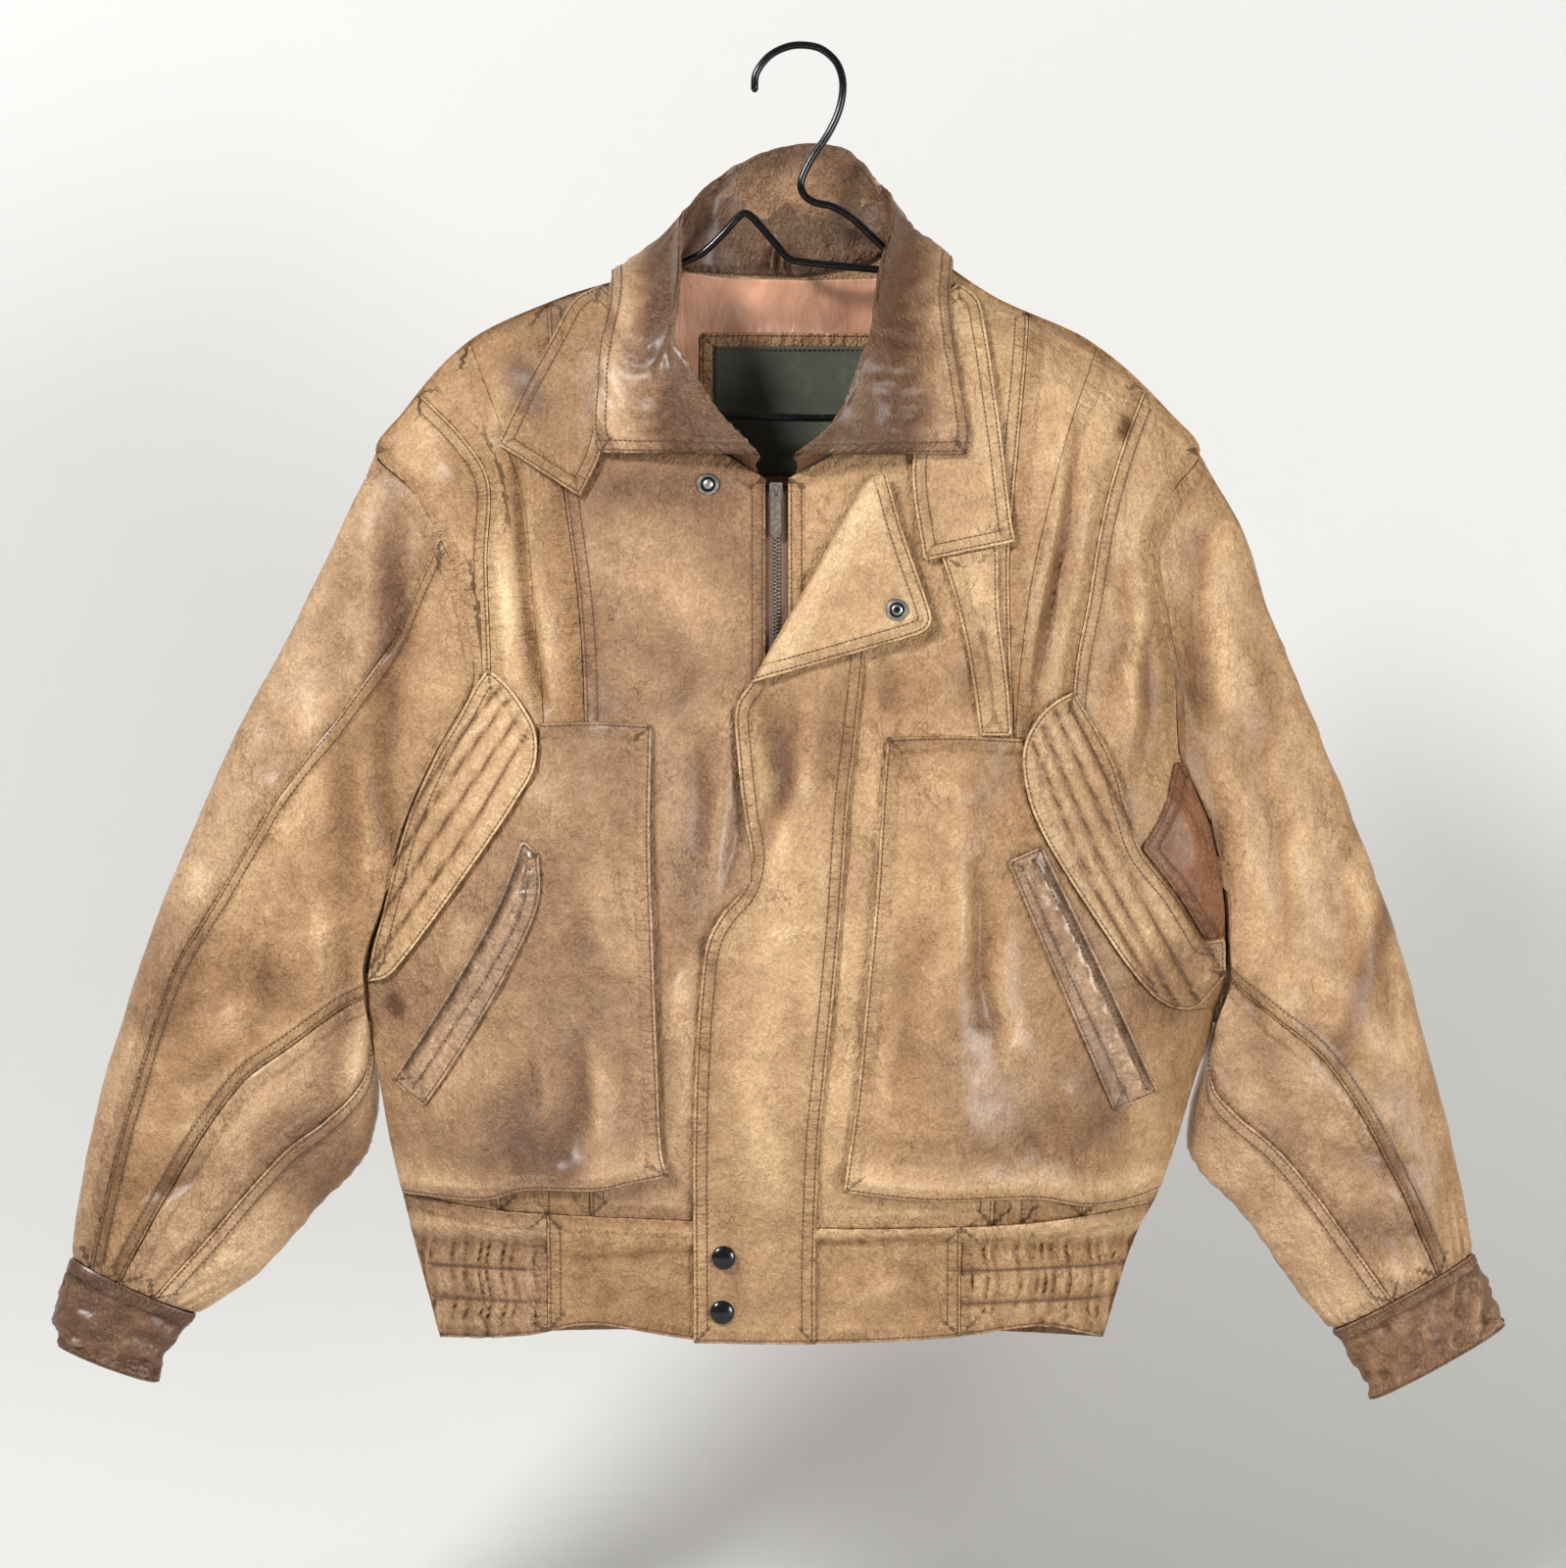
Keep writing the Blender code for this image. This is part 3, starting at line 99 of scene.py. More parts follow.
# The large soft folds of the front: ends, width across, and depth out (+) or in (-).
FOLDS = (
    (-185, -268, -166, -432, 22, 5), (-150, -300, -138, -431, 20, -4),
    (138, -250, 128, -420, 24, -5), (158, -300, 140, -440, 22, 5),
    (188, -330, 184, -430, 22, -4), (215, -360, 222, -470, 26, 5),
    (120, -560, 150, -700, 34, -6), (88, -520, 96, -690, 30, 5),
    (-170, -600, -140, -700, 30, -5), (-225, -690, -150, -715, 30, 6),
)

# Creases of the front, one row each: ends, sideways bow at the middle, half width, and height out (+) or
# in (-).  They taper to nothing at both ends.
CREASES = (
    # pleats beside the shoulder seams
    (-183, -262, -163, -432, -4, 4.5, -4.0), (-174, -268, -154, -430, -4, 5, 2.6),
    (-192, -285, -182, -425, -6, 7, 1.8), (-205, -310, -190, -390, 5, 8, 1.2),
    (176, -236, 139, -440, 5, 4.5, -4.2), (168, -240, 133, -436, 4, 4.5, 2.4),
    (186, -262, 150, -430, 6, 8, 1.6), (205, -330, 196, -425, 4, 7, -2.2),
    (213, -345, 203, -452, 4, 6, 1.8), (222, -365, 214, -470, 2, 5, -2.0),
    (205, -390, 214, -440, -3, 5, 1.6),
    # right chest
    (-110, -330, -75, -372, 6, 9, 1.2), (-66, -345, -50, -440, -8, 12, 1.3),
    (-60, -400, -92, -432, 5, 7, -1.2), (-118, -392, -84, -420, -4, 7, 0.9),
    (-50, -425, -70, -580, 9, 8, 2.8), (-64, -440, -84, -600, 7, 7, -2.4), (-41, -430, -54, -560, 8, 6, -2.2),
    (-62, -580, -84, -640, -5, 7, 1.4), (-50, -610, -80, -560, -4, 5, -1.2),
    (-72, -620, -84, -720, 3, 5, 1.6), (-64, -300, -48, -330, 3, 7, -0.8),
    # left chest
    (54, -385, 62, -440, -3, 8, -1.3), (44, -400, 48, -520, -2, 6, 1.3), (78, -380, 84, -436, 3, 8, 1.0),
    (112, -360, 100, -432, 4, 7, -1.4),
    # right pocket panel
    (-136, -470, -128, -560, 6, 12, 1.6), (-106, -480, -112, -590, -5, 10, -1.1),
    (-150, -560, -128, -596, 6, 9, -1.6), (-158, -600, -98, -602, 5, 3, -1.2),
    (-142, -626, -150, -718, 7, 8, -2.6), (-128, -630, -124, -716, -4, 9, 2.4),
    (-160, -636, -176, -716, 5, 9, 2.0), (-112, -640, -108, -700, 3, 8, -1.4),
    (-185, -690, -150, -712, -3, 6, -1.5), (-245, -640, -200, -716, -7, 12, 1.6),
    (-176, -468, -160, -500, 4, 9, 1.2), (-232, -600, -206, -560, -4, 8, 1.0),
    # left pocket panel
    (112, -520, 126, -640, -7, 7, -3.6), (126, -540, 140, -700, -6, 8, 2.2),
    (98, -500, 106, -600, -4, 9, 2.0), (84, -560, 60, -690, -9, 11, -2.0), (70, -600, 46, -700, -6, 8, 1.5),
    (132, -640, 150, -716, -3, 7, -2.0), (150, -660, 186, -726, 6, 12, 1.7),
    (104, -468, 112, -500, 2, 8, -1.4), (62, -470, 60, -560, 2, 9, 0.9),
    (206, -640, 214, -716, 4, 11, 1.6), (180, -690, 226, -700, 4, 9, -1.2),
    (84, -620, 128, -628, 4, 5, -0.8),
    # left side and gusset
    (236, -480, 254, -540, 3, 9, 1.4), (250, -470, 262, -520, 2, 7, -1.0),
    (186, -300, 214, -330, 4, 9, 1.1), (150, -236, 176, -218, 4, 9, 0.9),
    # right shoulder
    (-196, -222, -214, -280, 5, 10, 1.2), (-230, -246, -206, -300, -5, 9, -1.0),
    (-236, -300, -216, -352, 4, 9, 1.0), (-134, -320, -146, -400, 3, 8, 1.0),
)

# ---------------------------------------------------------------- seams and outlines

# Seams down the front: stations from the shoulder ridge to the waist.
SEAMS = {
    "yoke_r": ((-248, -221), (-216, -254), (-200, -280), (-201, -333), (-199, -401)),
    "pleat_r": ((-215, -188), (-185, -268), (-176, -303), (-171, -360), (-164, -434)),
    "chest_r": ((-165, -163), (-157, -240), (-150, -300), (-142, -360), (-138, -434)),
    "chest_l": ((146, -170), (137, -260), (131, -326), (131, -380), (132, -445)),
    "pleat_l": ((191, -190), (169, -250), (152, -313), (143, -356), (134, -445)),
    "yoke_l": ((221, -218), (206, -254), (193, -295), (181, -358), (171, -416)),
}
SEAM_FOOT = {"yoke_r": -192, "pleat_r": -160, "chest_r": -134, "chest_l": 120, "pleat_l": 138, "yoke_l": 178}
EDGE_R = ((-23.5, -281), (-23.5, -420), (-24.5, -752))
EDGE_L = ((-9.5, -281), (-9.5, -420), (-12.5, -754))
NECK_R = ((-94, -139.6), (-100, -165), (-98, -197), (-84, -230), (-56, -260), (-23.5, -281))
NECK_L = ((66, -122), (71, -155), (67, -192), (57, -224), (33, -256), (-9.5, -281))
NECK_BACK = ((-94, -139.6), (-60, -144), (-14, -145), (34, -141), (66, -122))
WAIST_R = ((-258, -736), (-200, -744), (-156, -746), (-110, -748), (-24.5, -752))
WAIST_L = ((-12.5, -754), (40, -755), (95, -754), (150, -752), (224, -744))
HEM_R = ((-233, -830), (-200, -828), (-170, -824), (-135, -817), (-70, -826), (-24.5, -828))
HEM_L = ((-12.5, -829), (40, -828), (95, -825), (152, -820), (193, -830))
BAND_SEAM_R = -162
BAND_SEAM_L = 100
YOKE_BACK = ((-242, -300), (0, -314), (232, -300))
WAIST_BACK_Z = -750

# ---------------------------------------------------------------- curves and surfaces


def steady(at, xs, ys):
    """Monotone cubic through a table, so that no row of it overshoots."""
    xs, ys = np.asarray(xs, float), np.asarray(ys, float)
    step = np.diff(xs)
    slope = np.diff(ys) / step
    tangent = np.zeros_like(ys)
    tangent[0], tangent[-1] = slope[0], slope[-1]
    before, after = 2 * step[1:] + step[:-1], step[1:] + 2 * step[:-1]
    same = slope[:-1] * slope[1:] > 0
    safe_a, safe_b = np.where(same, slope[:-1], 1), np.where(same, slope[1:], 1)
    tangent[1:-1] = np.where(same, (before + after) / (before / safe_a + after / safe_b), 0)
    k = np.clip(np.searchsorted(xs, at) - 1, 0, len(step) - 1)
    t = np.clip((at - xs[k]) / step[k], 0, 1)
    return ((1 + 2 * t) * (1 - t) ** 2 * ys[k] + t * (1 - t) ** 2 * step[k] * tangent[k]
            + t * t * (3 - 2 * t) * ys[k + 1] + t * t * (t - 1) * step[k] * tangent[k + 1])


BODY = {name: np.array([row[k] for row in BODY_ROWS[::-1]], float) for k, name in enumerate(BODY_COLUMNS)}


def column(name, z):
    return steady(z, BODY["z"], BODY[name])


def lengths(points):
    """Distance along a line of points, from its start."""
    gaps = np.linalg.norm(np.diff(points, axis=0), axis=1)
    return np.concatenate(([0.0], np.cumsum(gaps)))


def spaced(points, step):
    """The same line with even steps no longer than the one asked for."""
    points = np.asarray(points, float)
    run = lengths(points)
    count = max(1, int(math.ceil(run[-1] / step)))
    at = np.linspace(0, run[-1], count + 1)
    return np.stack([np.interp(at, run, points[:, k]) for k in range(points.shape[1])], axis=1)


def curve(points, step=2.0, corner=42.0):
    """A smooth line through a few points; a turn sharper than the corner angle, in degrees, stays."""
    points = [np.asarray(p, float) for p in points]
    breaks = [0]
    for k in range(1, len(points) - 1):
        a, b = points[k] - points[k - 1], points[k + 1] - points[k]
        turn = np.dot(a, b) / (np.linalg.norm(a) * np.linalg.norm(b) + 1e-9)
        if math.degrees(math.acos(max(-1.0, min(1.0, turn)))) > corner:
            breaks.append(k)
    breaks.append(len(points) - 1)
    found = []
    for first, last in zip(breaks, breaks[1:]):
        part = points[first:last + 1]
        part = [2 * part[0] - part[1]] + part + [2 * part[-1] - part[-2]]
        for k in range(1, len(part) - 2):
            p0, p1, p2, p3 = part[k - 1:k + 3]
            reach = [max(np.linalg.norm(b - a), 1e-6) ** 0.5 for a, b in ((p0, p1), (p1, p2), (p2, p3))]
            m1 = ((p1 - p0) / reach[0] - (p2 - p0) / (reach[0] + reach[1]) + (p2 - p1) / reach[1]) * reach[1]
            m2 = ((p2 - p1) / reach[1] - (p3 - p1) / (reach[1] + reach[2]) + (p3 - p2) / reach[2]) * reach[1]
            count = max(2, int(np.linalg.norm(p2 - p1) / step) + 1)
            for n in range(count):
                t = n / count
                found.append((2 * t ** 3 - 3 * t * t + 1) * p1 + (t ** 3 - 2 * t * t + t) * m1
                             + (3 * t * t - 2 * t ** 3) * p2 + (t ** 3 - t * t) * m2)
    found.append(points[-1])
    return np.array(found)


def away_from(at, line, chunk=4000):
    """Distance of each point to a line, how far along the line that is, and the side it lies on."""
    a, b = line[:-1], line[1:]
    along = b - a
    square = np.maximum((along ** 2).sum(1), 1e-9)
    start = lengths(line)[:-1]
    size = np.sqrt(square)
    out = np.empty((3, len(at)))
    for k in range(0, len(at), chunk):
        p = at[k:k + chunk, None, :]
        t = np.clip(((p - a) * along).sum(2) / square, 0, 1)
        gap = p - a - t[..., None] * along
        dist = np.sqrt((gap ** 2).sum(2))
        best = dist.argmin(1)
        pick = np.arange(len(best))
        side = along[best, 0] * gap[pick, best, 1] - along[best, 1] * gap[pick, best, 0]
        out[0, k:k + chunk] = dist[pick, best]
        out[1, k:k + chunk] = start[best] + t[pick, best] * size[best]
        out[2, k:k + chunk] = np.sign(side)
    return out


def soft_step(value, low, high):
    t = np.clip((value - low) / (high - low), 0, 1)
    return t * t * (3 - 2 * t)


def bump_at(value, centre, width):
    return np.exp(-((value - centre) / width) ** 2)


def waves(at, seed, sizes, height):
    """Gentle unevenness: a few waves of each size, in mm, in directions fixed by the seed."""
    rng = np.random.default_rng(seed)
    total = np.zeros(len(at))
    for size in sizes:
        for _ in range(4):
            turn = rng.uniform(0, math.pi)
            wave = (at[:, 0] * math.cos(turn) + at[:, 1] * math.sin(turn)) / (size * rng.uniform(0.8, 1.3))
            total += np.sin(2 * math.pi * wave + rng.uniform(0, 6.3)) * size
    return total * height / (2 * sum(sizes) * math.sqrt(len(sizes)))


def crease_relief(at, table, depth=1.0):
    """Height out of the cloth made by the creases of a table."""
    total = np.zeros(len(at))
    for x0, z0, x1, z1, bow, width, out in table:
        p0, p1 = np.array((x0, z0), float), np.array((x1, z1), float)
        near = (np.minimum(p0, p1) - 4 * width - abs(bow) < at).all(1)
        near &= (np.maximum(p0, p1) + 4 * width + abs(bow) > at).all(1)
        if not near.any():
            continue
        square = np.array((p0[1] - p1[1], p1[0] - p0[0])) / np.linalg.norm(p1 - p0)
        t = np.linspace(0, 1, 13)[:, None]
        line = p0 + (p1 - p0) * t + square * bow * 4 * t * (1 - t)
        line += square * width * 0.25 * np.sin(t * 9 + x0)
        dist, run, side = away_from(at[near], line)
        share = run / lengths(line)[-1]
        taper = np.sin(math.pi * np.clip(share, 0, 1)) ** 0.7 * (0.8 + 0.2 * np.sin(7 * share + z0))
        uneven = width * (1 + 0.3 * side * (1 if out > 0 else -1)) * (0.8 + 0.4 * share)
        total[near] += out * taper * np.exp(-(dist / uneven) ** 1.6)
    return total * depth


def rim_line(side, z_from, z_to, count=None):
    """The edge of the body on one side between two heights."""
    z = np.linspace(z_from, z_to, count or max(3, int(abs(z_to - z_from) / 1.5)))
    return np.stack((column("x" + side, z), z), axis=1)


RIMS = [rim_line(side, top, foot, 60) for side in "rl"
        for top, foot in ((-120, SHOULDER_Z), (UNDERARM_Z, BODY_FOOT))]


def rim_share(at):
    """0 on the shoulder ridges and side folds, 1 past the reach of their rounding."""
    share = np.ones(len(at))
    for line in RIMS:
        near = (at[:, 0] > line[:, 0].min() - RIM) & (at[:, 0] < line[:, 0].max() + RIM)
        near &= (at[:, 1] > line[:, 1].min() - RIM) & (at[:, 1] < line[:, 1].max() + RIM)
        if near.any():
            u = np.clip(away_from(at[near], line)[0] / RIM, 0, 1)
            share[near] = np.minimum(share[near], np.sqrt(1 - (1 - u) ** 2))
    return share


def body_y(at, front=True):
    """The outer face of the front or the back of the body, with its folds and creases."""
    x, z = at[:, 0], at[:, 1]
    xr, xl = column("xr", z), column("xl", z)
    s = np.clip((x - xr) / (xl - xr), 0, 1)
    u = np.clip(np.minimum(s, 1 - s) / LENS, 0, 1)
    bulge = u * (2 - u)
    near, far, mid = (column(name, z) for name in (("fr", "fl", "fm") if front else ("br", "bl", "bm")))
    y = near + s * (far - near)
    y += (mid - y) * bulge
    if front:
        deep = np.zeros(len(at))
        for x0, z0, x1, z1, width, out in FOLDS:
            line = np.array(((x0, z0), (x1, z1)), float)
            deep += out * np.exp(-(away_from(at, line)[0] / width) ** 2)
        y -= deep * np.minimum(1, 2 * bulge)
        fine = crease_relief(at, CREASES, CREASE_DEPTH) + waves(at, 3, (75, 38, 19, 11), 1.3)
    else:
        fine = crease_relief(at, BACK_CREASES, CREASE_DEPTH) + waves(at, 8, (90, 45, 24, 13), 1.6)
    y += (-fine if front else fine) * np.minimum(1, 6 * bulge)
    centre = np.where(z > SIDE_TOP, RIDGE_Y, SIDE_Y)
    return centre + (y - centre) * rim_share(at)


# ---------------------------------------------------------------- cut pieces

# How an edge of a piece is finished: radius of its rolled edge, height of the doubled strip beside it,
# width of that strip, distances of its rows of stitches, and depth and reach of the dip towards the seam.
NEAR_ROW = 2.2
FAR_ROW = 8.6
EDGES = {
    "topstitched": dict(roll=1.3, lift=0.6, strip=9.8, rows=(NEAR_ROW, FAR_ROW), dip=0.3, reach=3.0),
    "seamed": dict(roll=1.2, lift=0.0, strip=1.0, rows=(), dip=0.9, reach=5.0),
    "laid": dict(roll=1.5, lift=0.35, strip=10.5, rows=(NEAR_ROW, FAR_ROW), dip=0.0, reach=3.0),
    "single": dict(roll=1.5, lift=0.25, strip=4.5, rows=(NEAR_ROW,), dip=0.0, reach=3.0),
    "piped": dict(roll=1.6, lift=0.6, strip=3.0, rows=(NEAR_ROW,), dip=0.0, reach=3.0),
    "turned": dict(roll=1.0, lift=0.0, strip=1.0, rows=(), dip=0.0, reach=3.0),
    "hidden": dict(roll=0.0, lift=0.0, strip=1.0, rows=(), dip=0.0, reach=3.0),
}
RINGS = (0.2, 0.55, 1.2, 2.2, 3.3, 5.2, 7.4, 8.6, 9.9, 12.5)
THREAD_GROOVE = 0.5
OUTLINE_STEP = 3.6
WEAR_AND_SHADE_BY_HEIGHT = 0.16   # change of tone with each millimetre of relief, paler on ridges and darker in hollows, partly wear and partly painted light and shade, and the most of it
WEAR_AND_SHADE_MOST = 0.7
ROW_DARKENING = 0.9          # darkening along the rows sewn across a piece, and painted shade in a pocket's slit
SLIT_SHADE = 1.7
NO_SEAM = 30.0          # stands for a distance at which a seam changes nothing
EDGE_WALL = 0.3         # least thickness at a piece's rim


def edge_relief(dist, style):
    """Height of the cloth at a distance inside an edge of one style."""
    edge = EDGES[style]
    total = np.zeros(len(dist))
    if edge["roll"] > 0:
        u = np.clip(dist / edge["roll"], 0, 1)
        total -= edge["roll"] * (1 - np.sqrt(np.clip(1 - (1 - u) ** 2, 0, 1)))
    total += edge["lift"] * (1 - soft_step(dist, edge["strip"] - 1.2, edge["strip"] + 1.6))
    total -= edge["dip"] * np.exp(-dist / edge["reach"])
    for row in edge["rows"]:
        total -= THREAD_GROOVE * bump_at(dist, row, 1.0)
    return total


def inside(at, ring):
    """Which points lie inside a closed ring."""
    x, z = at[:, 0], at[:, 1]
    found = np.zeros(len(at), bool)
    for p, q in zip(ring, np.roll(ring, -1, axis=0)):
        crosses = (p[1] > z) != (q[1] > z)
        if crosses.any():
            found ^= crosses & (x < (q[0] - p[0]) * (z - p[1]) / (q[1] - p[1] + 1e-12) + p[0])
    return found


def square_to(line):
    """Unit vectors to the left of a line at each of its points."""
    step = np.gradient(line, axis=0)
    step /= np.maximum(np.linalg.norm(step, axis=1, keepdims=True), 1e-9)
    return np.stack((-step[:, 1], step[:, 0]), axis=1)


class Cut:
    """One cut piece: its outline as sides, each a line and a style, and the face that it lies on."""

    def __init__(self, sides, near=0.0, wall=2.0, front=True, form=None, step=3.2, base=None, slit=None):
        sides = [(spaced(line, OUTLINE_STEP), style) for line, style in sides]
        ring = np.concatenate([line[:-1] for line, _ in sides])
        self.flipped = (ring[:, 0] * np.roll(ring[:, 1], -1) - ring[:, 1] * np.roll(ring[:, 0], -1)).sum() < 0
        if self.flipped:
            sides = [(line[::-1], style) for line, style in sides[::-1]]
            ring = np.concatenate([line[:-1] for line, _ in sides])
        for k, (line, _) in enumerate(sides):
            line[-1] = sides[(k + 1) % len(sides)][0][0]
        self.sides, self.ring = sides, ring
        self.near, self.wall, self.front, self.form, self.step = near, wall, front, form, step
        self.slit = slit     # number of the side that is a pocket's mouth
        self.base_given = base is not None
        self.base = base or (lambda at: body_y(at, front))

    def gaps(self, at):
        return [away_from(at, line) for line, _ in self.sides]

    def y(self, at, gaps=None):
        """The outer face at points of the outline's plane."""
        gaps = gaps or self.gaps(at)
        out = np.full(len(at), self.near, float)
        for (line, style), gap in zip(self.sides, gaps):
            if style != "hidden":
                out += edge_relief(gap[0], style)
        out += self.shape(at, gaps)
        return self.base(at) + (-out if self.front else out)

    def shape(self, at, gaps):
        """The piece's own form, which counts its sides in the order they were given."""
        if self.form is None:
            return np.zeros(len(at))
        return self.form(at, gaps[::-1] if self.flipped else gaps)

    def creases(self, at):
        """Creases of the body that this piece lies on."""
        if self.base_given:
            return np.zeros(len(at))
        return crease_relief(at, CREASES if self.front else BACK_CREASES, CREASE_DEPTH)

    def seam_facts(self, gaps):
        """Distance to the nearest worked edge, and how far along it."""
        best, run = np.full(len(gaps[0][0]), NO_SEAM), np.zeros(len(gaps[0][0]))
        sewn = np.zeros(len(best))
        for (line, style), gap in zip(self.sides, gaps):
            if style in ("hidden", "turned"):
                continue
            closer = gap[0] < best
            best = np.where(closer, gap[0], best)
            run = np.where(closer, gap[1], run)
            sewn = np.where(closer, len(EDGES[style]["rows"]), sewn)
        return best, run, sewn

    def points(self, rings, step):
        """Points inside the outline: rows that follow it, then an even field."""
        found = []
        for line, style in self.sides:
            push = square_to(line)
            for distance in (rings if style != "hidden" else rings[-1:]):
                at = line + push * distance
                at = at[inside(at, self.ring)]
                if len(at):
                    clear = np.min([gap[0] for gap in self.gaps(at)], axis=0)
                    found.append(at[clear > distance * 0.93])
        low, high = self.ring.min(0), self.ring.max(0)
        rows = np.arange(low[1], high[1], step * 0.866)
        field = [(x + (step / 2 if k % 2 else 0), z) for k, z in enumerate(rows)
                 for x in np.arange(low[0], high[0], step)]
        field = np.array(field) if field else np.zeros((0, 2))
        field = field[inside(field, self.ring)]
        if len(field):
            clear = np.min([gap[0] for gap in self.gaps(field)], axis=0)
            found.append(field[clear > (rings[-1] if rings else 0) + step * 0.6])
        return np.concatenate(found) if found else np.zeros((0, 2))

    def skin(self, rings, step):
        """Triangles over the outline, their points, and the place of each outline point among them."""
        extra = self.points(rings, step)
        verts = [Vector(p) for p in np.concatenate((self.ring, extra))]
        count = len(self.ring)
        made = delaunay_2d_cdt(verts, [], [list(range(count))], 1, 1e-5)
        at = np.array([(p.x, p.y) for p in made[0]])
        place = {}
        for new, olds in enumerate(made[3]):
            for old in olds:
                if old < count:
                    place[old] = new
        return at, [tuple(t) for t in made[2]], [place[k] for k in range(count)]

    def build(self, name, stains=(), lines=(), inner_step=14.0):
        """The piece as a closed thin mesh; lines are sewn across it."""
        at, tris, rim = self.skin(RINGS, self.step)
        gaps = self.gaps(at)
        y = self.y(at, gaps)
        seam, run, sewn = self.seam_facts(gaps)
        under, under_tris, under_rim = self.skin((), inner_step)
        plain = self.deepest(under, inner_step)
        under_y = plain + (-(self.near - self.wall) if self.front else self.near - self.wall)
        edge_y = y[rim] + (EDGE_WALL if self.front else -EDGE_WALL)
        meet = np.maximum if self.front else np.minimum
        under_y[under_rim] = meet(under_y[under_rim], edge_y)
        shift = len(at)
        verts = np.concatenate((np.stack((at[:, 0], y, at[:, 1]), 1),
                                np.stack((under[:, 0], under_y, under[:, 1]), 1)))
        faces = list(tris) + [(a + shift, c + shift, b + shift) for a, b, c in under_tris]
        count = len(rim)
        for k in range(count):
            m = (k + 1) % count
            faces.append((rim[m], rim[k], under_rim[k] + shift, under_rim[m] + shift))
        if not self.front:
            faces = [face[::-1] for face in faces]
        tone, shine = stain_tone(at, stains)
        own = self.shape(at, gaps)
        # tone follows the relief: wear, with painted light on the ridges and painted shade in the hollows
        tone += worn_and_shaded(own - np.median(own) + self.creases(at))
        for line in lines:
            tone -= ROW_DARKENING * bump_at(away_from(at, curve(line))[0], 0, 1.0)
        if self.slit is not None:
            # painted shade in the pocket's slit
            tone -= SLIT_SHADE * slit_share((gaps[::-1] if self.flipped else gaps)[self.slit])
        blank = np.zeros(len(under))
        tone_in, shine_in = stain_tone(under, stains)
        facts = {"seam": np.concatenate((seam, blank + NO_SEAM)), "run": np.concatenate((run, blank)),
                 "sewn": np.concatenate((sewn, blank)), "tone": np.concatenate((tone, tone_in)),
                 "shine": np.concatenate((shine, shine_in))}
        obj = cloth(name, verts, faces, facts)
        obj["outer"] = float(flat_area(np.stack((at[:, 0], y, at[:, 1]), 1), tris))
        return obj

    def deepest(self, at, step):
        """The innermost of the faces round each point, so that a coarse lining stays behind every crease."""
        found = []
        for reach in (0.0, 0.35 * step, 0.65 * step):
            for turn in np.arange(6) * math.pi / 3 if reach else (0.0,):
                near = at + reach * np.array((math.cos(turn), math.sin(turn)))
                found.append(self.shape(near, self.gaps(near)) + self.creases(near))
        least = np.min(found, axis=0) - self.creases(at)
        return self.base(at) + (-least if self.front else least)

    def rows(self, pitch=1.8):
        """The rows of stitches, as lines of points on the outer face."""
        found = []
        for line, style in self.sides:
            fine = spaced(line, pitch)
            push = square_to(fine)
            for distance in EDGES[style]["rows"]:
                at = fine + push * distance
                gaps = self.gaps(at)
                clear = np.min([gap[0] for gap in gaps], axis=0)
                keep = inside(at, self.ring) & (clear > distance - 0.35)
                found += self.kept(at, keep)
        return found

    def inner_row(self, line, pitch=1.8):
        """A row of stitches along any line that crosses the piece."""
        at = spaced(line, pitch)
        clear = np.min([gap[0] for gap in self.gaps(at)], axis=0)
        return self.kept(at, inside(at, self.ring) & (clear > 1.0))

    def kept(self, at, keep):
        found = []
        spots = np.flatnonzero(keep)
        for part in np.split(spots, np.flatnonzero(np.diff(spots) > 1) + 1):
            if len(part) > 3:
                y = self.y(at[part])
                found.append(np.stack((at[part, 0], y, at[part, 1]), 1))
        return found


def flat_area(points, tris):
    """Area of triangles, in square metres, of points in millimetres."""
    tri = points[np.array(tris)]
    cross = np.cross(tri[:, 1] - tri[:, 0], tri[:, 2] - tri[:, 0])
    return 0.5 * np.linalg.norm(cross, axis=1).sum() * 1e-6


def stain_tone(at, stains):
    """Tone and shine from rows of soft spots: x, z, half sizes, turn in degrees, tone, shine."""
    tone, shine = np.zeros(len(at)), np.zeros(len(at))
    for x, z, rx, rz, turn, dark, gloss in stains:
        c, s = math.cos(math.radians(turn)), math.sin(math.radians(turn))
        dx, dz = at[:, 0] - x, at[:, 1] - z
        spot = np.exp(-(((dx * c + dz * s) / rx) ** 2 + ((dz * c - dx * s) / rz) ** 2) ** 1.3)
        tone += dark * spot
        shine += gloss * spot
    return tone, shine


def worn_and_shaded(relief):
    """Cloth is rubbed pale on its ridges and keeps its soil in its hollows."""
    return WEAR_AND_SHADE_MOST * np.tanh(relief * WEAR_AND_SHADE_BY_HEIGHT / WEAR_AND_SHADE_MOST)


def cloth(name, verts, faces, facts):
    """A smooth mesh from points in millimetres, with the facts that the finishes read."""
    name = "cloth_" + name
    verts = np.asarray(verts, float)
    mesh = bpy.data.meshes.new(name)
    mesh.from_pydata((verts * MM).tolist(), [], [tuple(int(k) for k in face) for face in faces])
    mesh.update()
    for key, values in facts.items():
        layer = mesh.attributes.new(key, "FLOAT", "POINT")
        layer.data.foreach_set("value", np.asarray(values, np.float32))
    mesh.polygons.foreach_set("use_smooth", np.ones(len(mesh.polygons), bool))
    mesh.set_sharp_from_angle(angle=math.radians(62))
    obj = bpy.data.objects.new(name, mesh)
    bpy.context.scene.collection.objects.link(obj)
    return obj


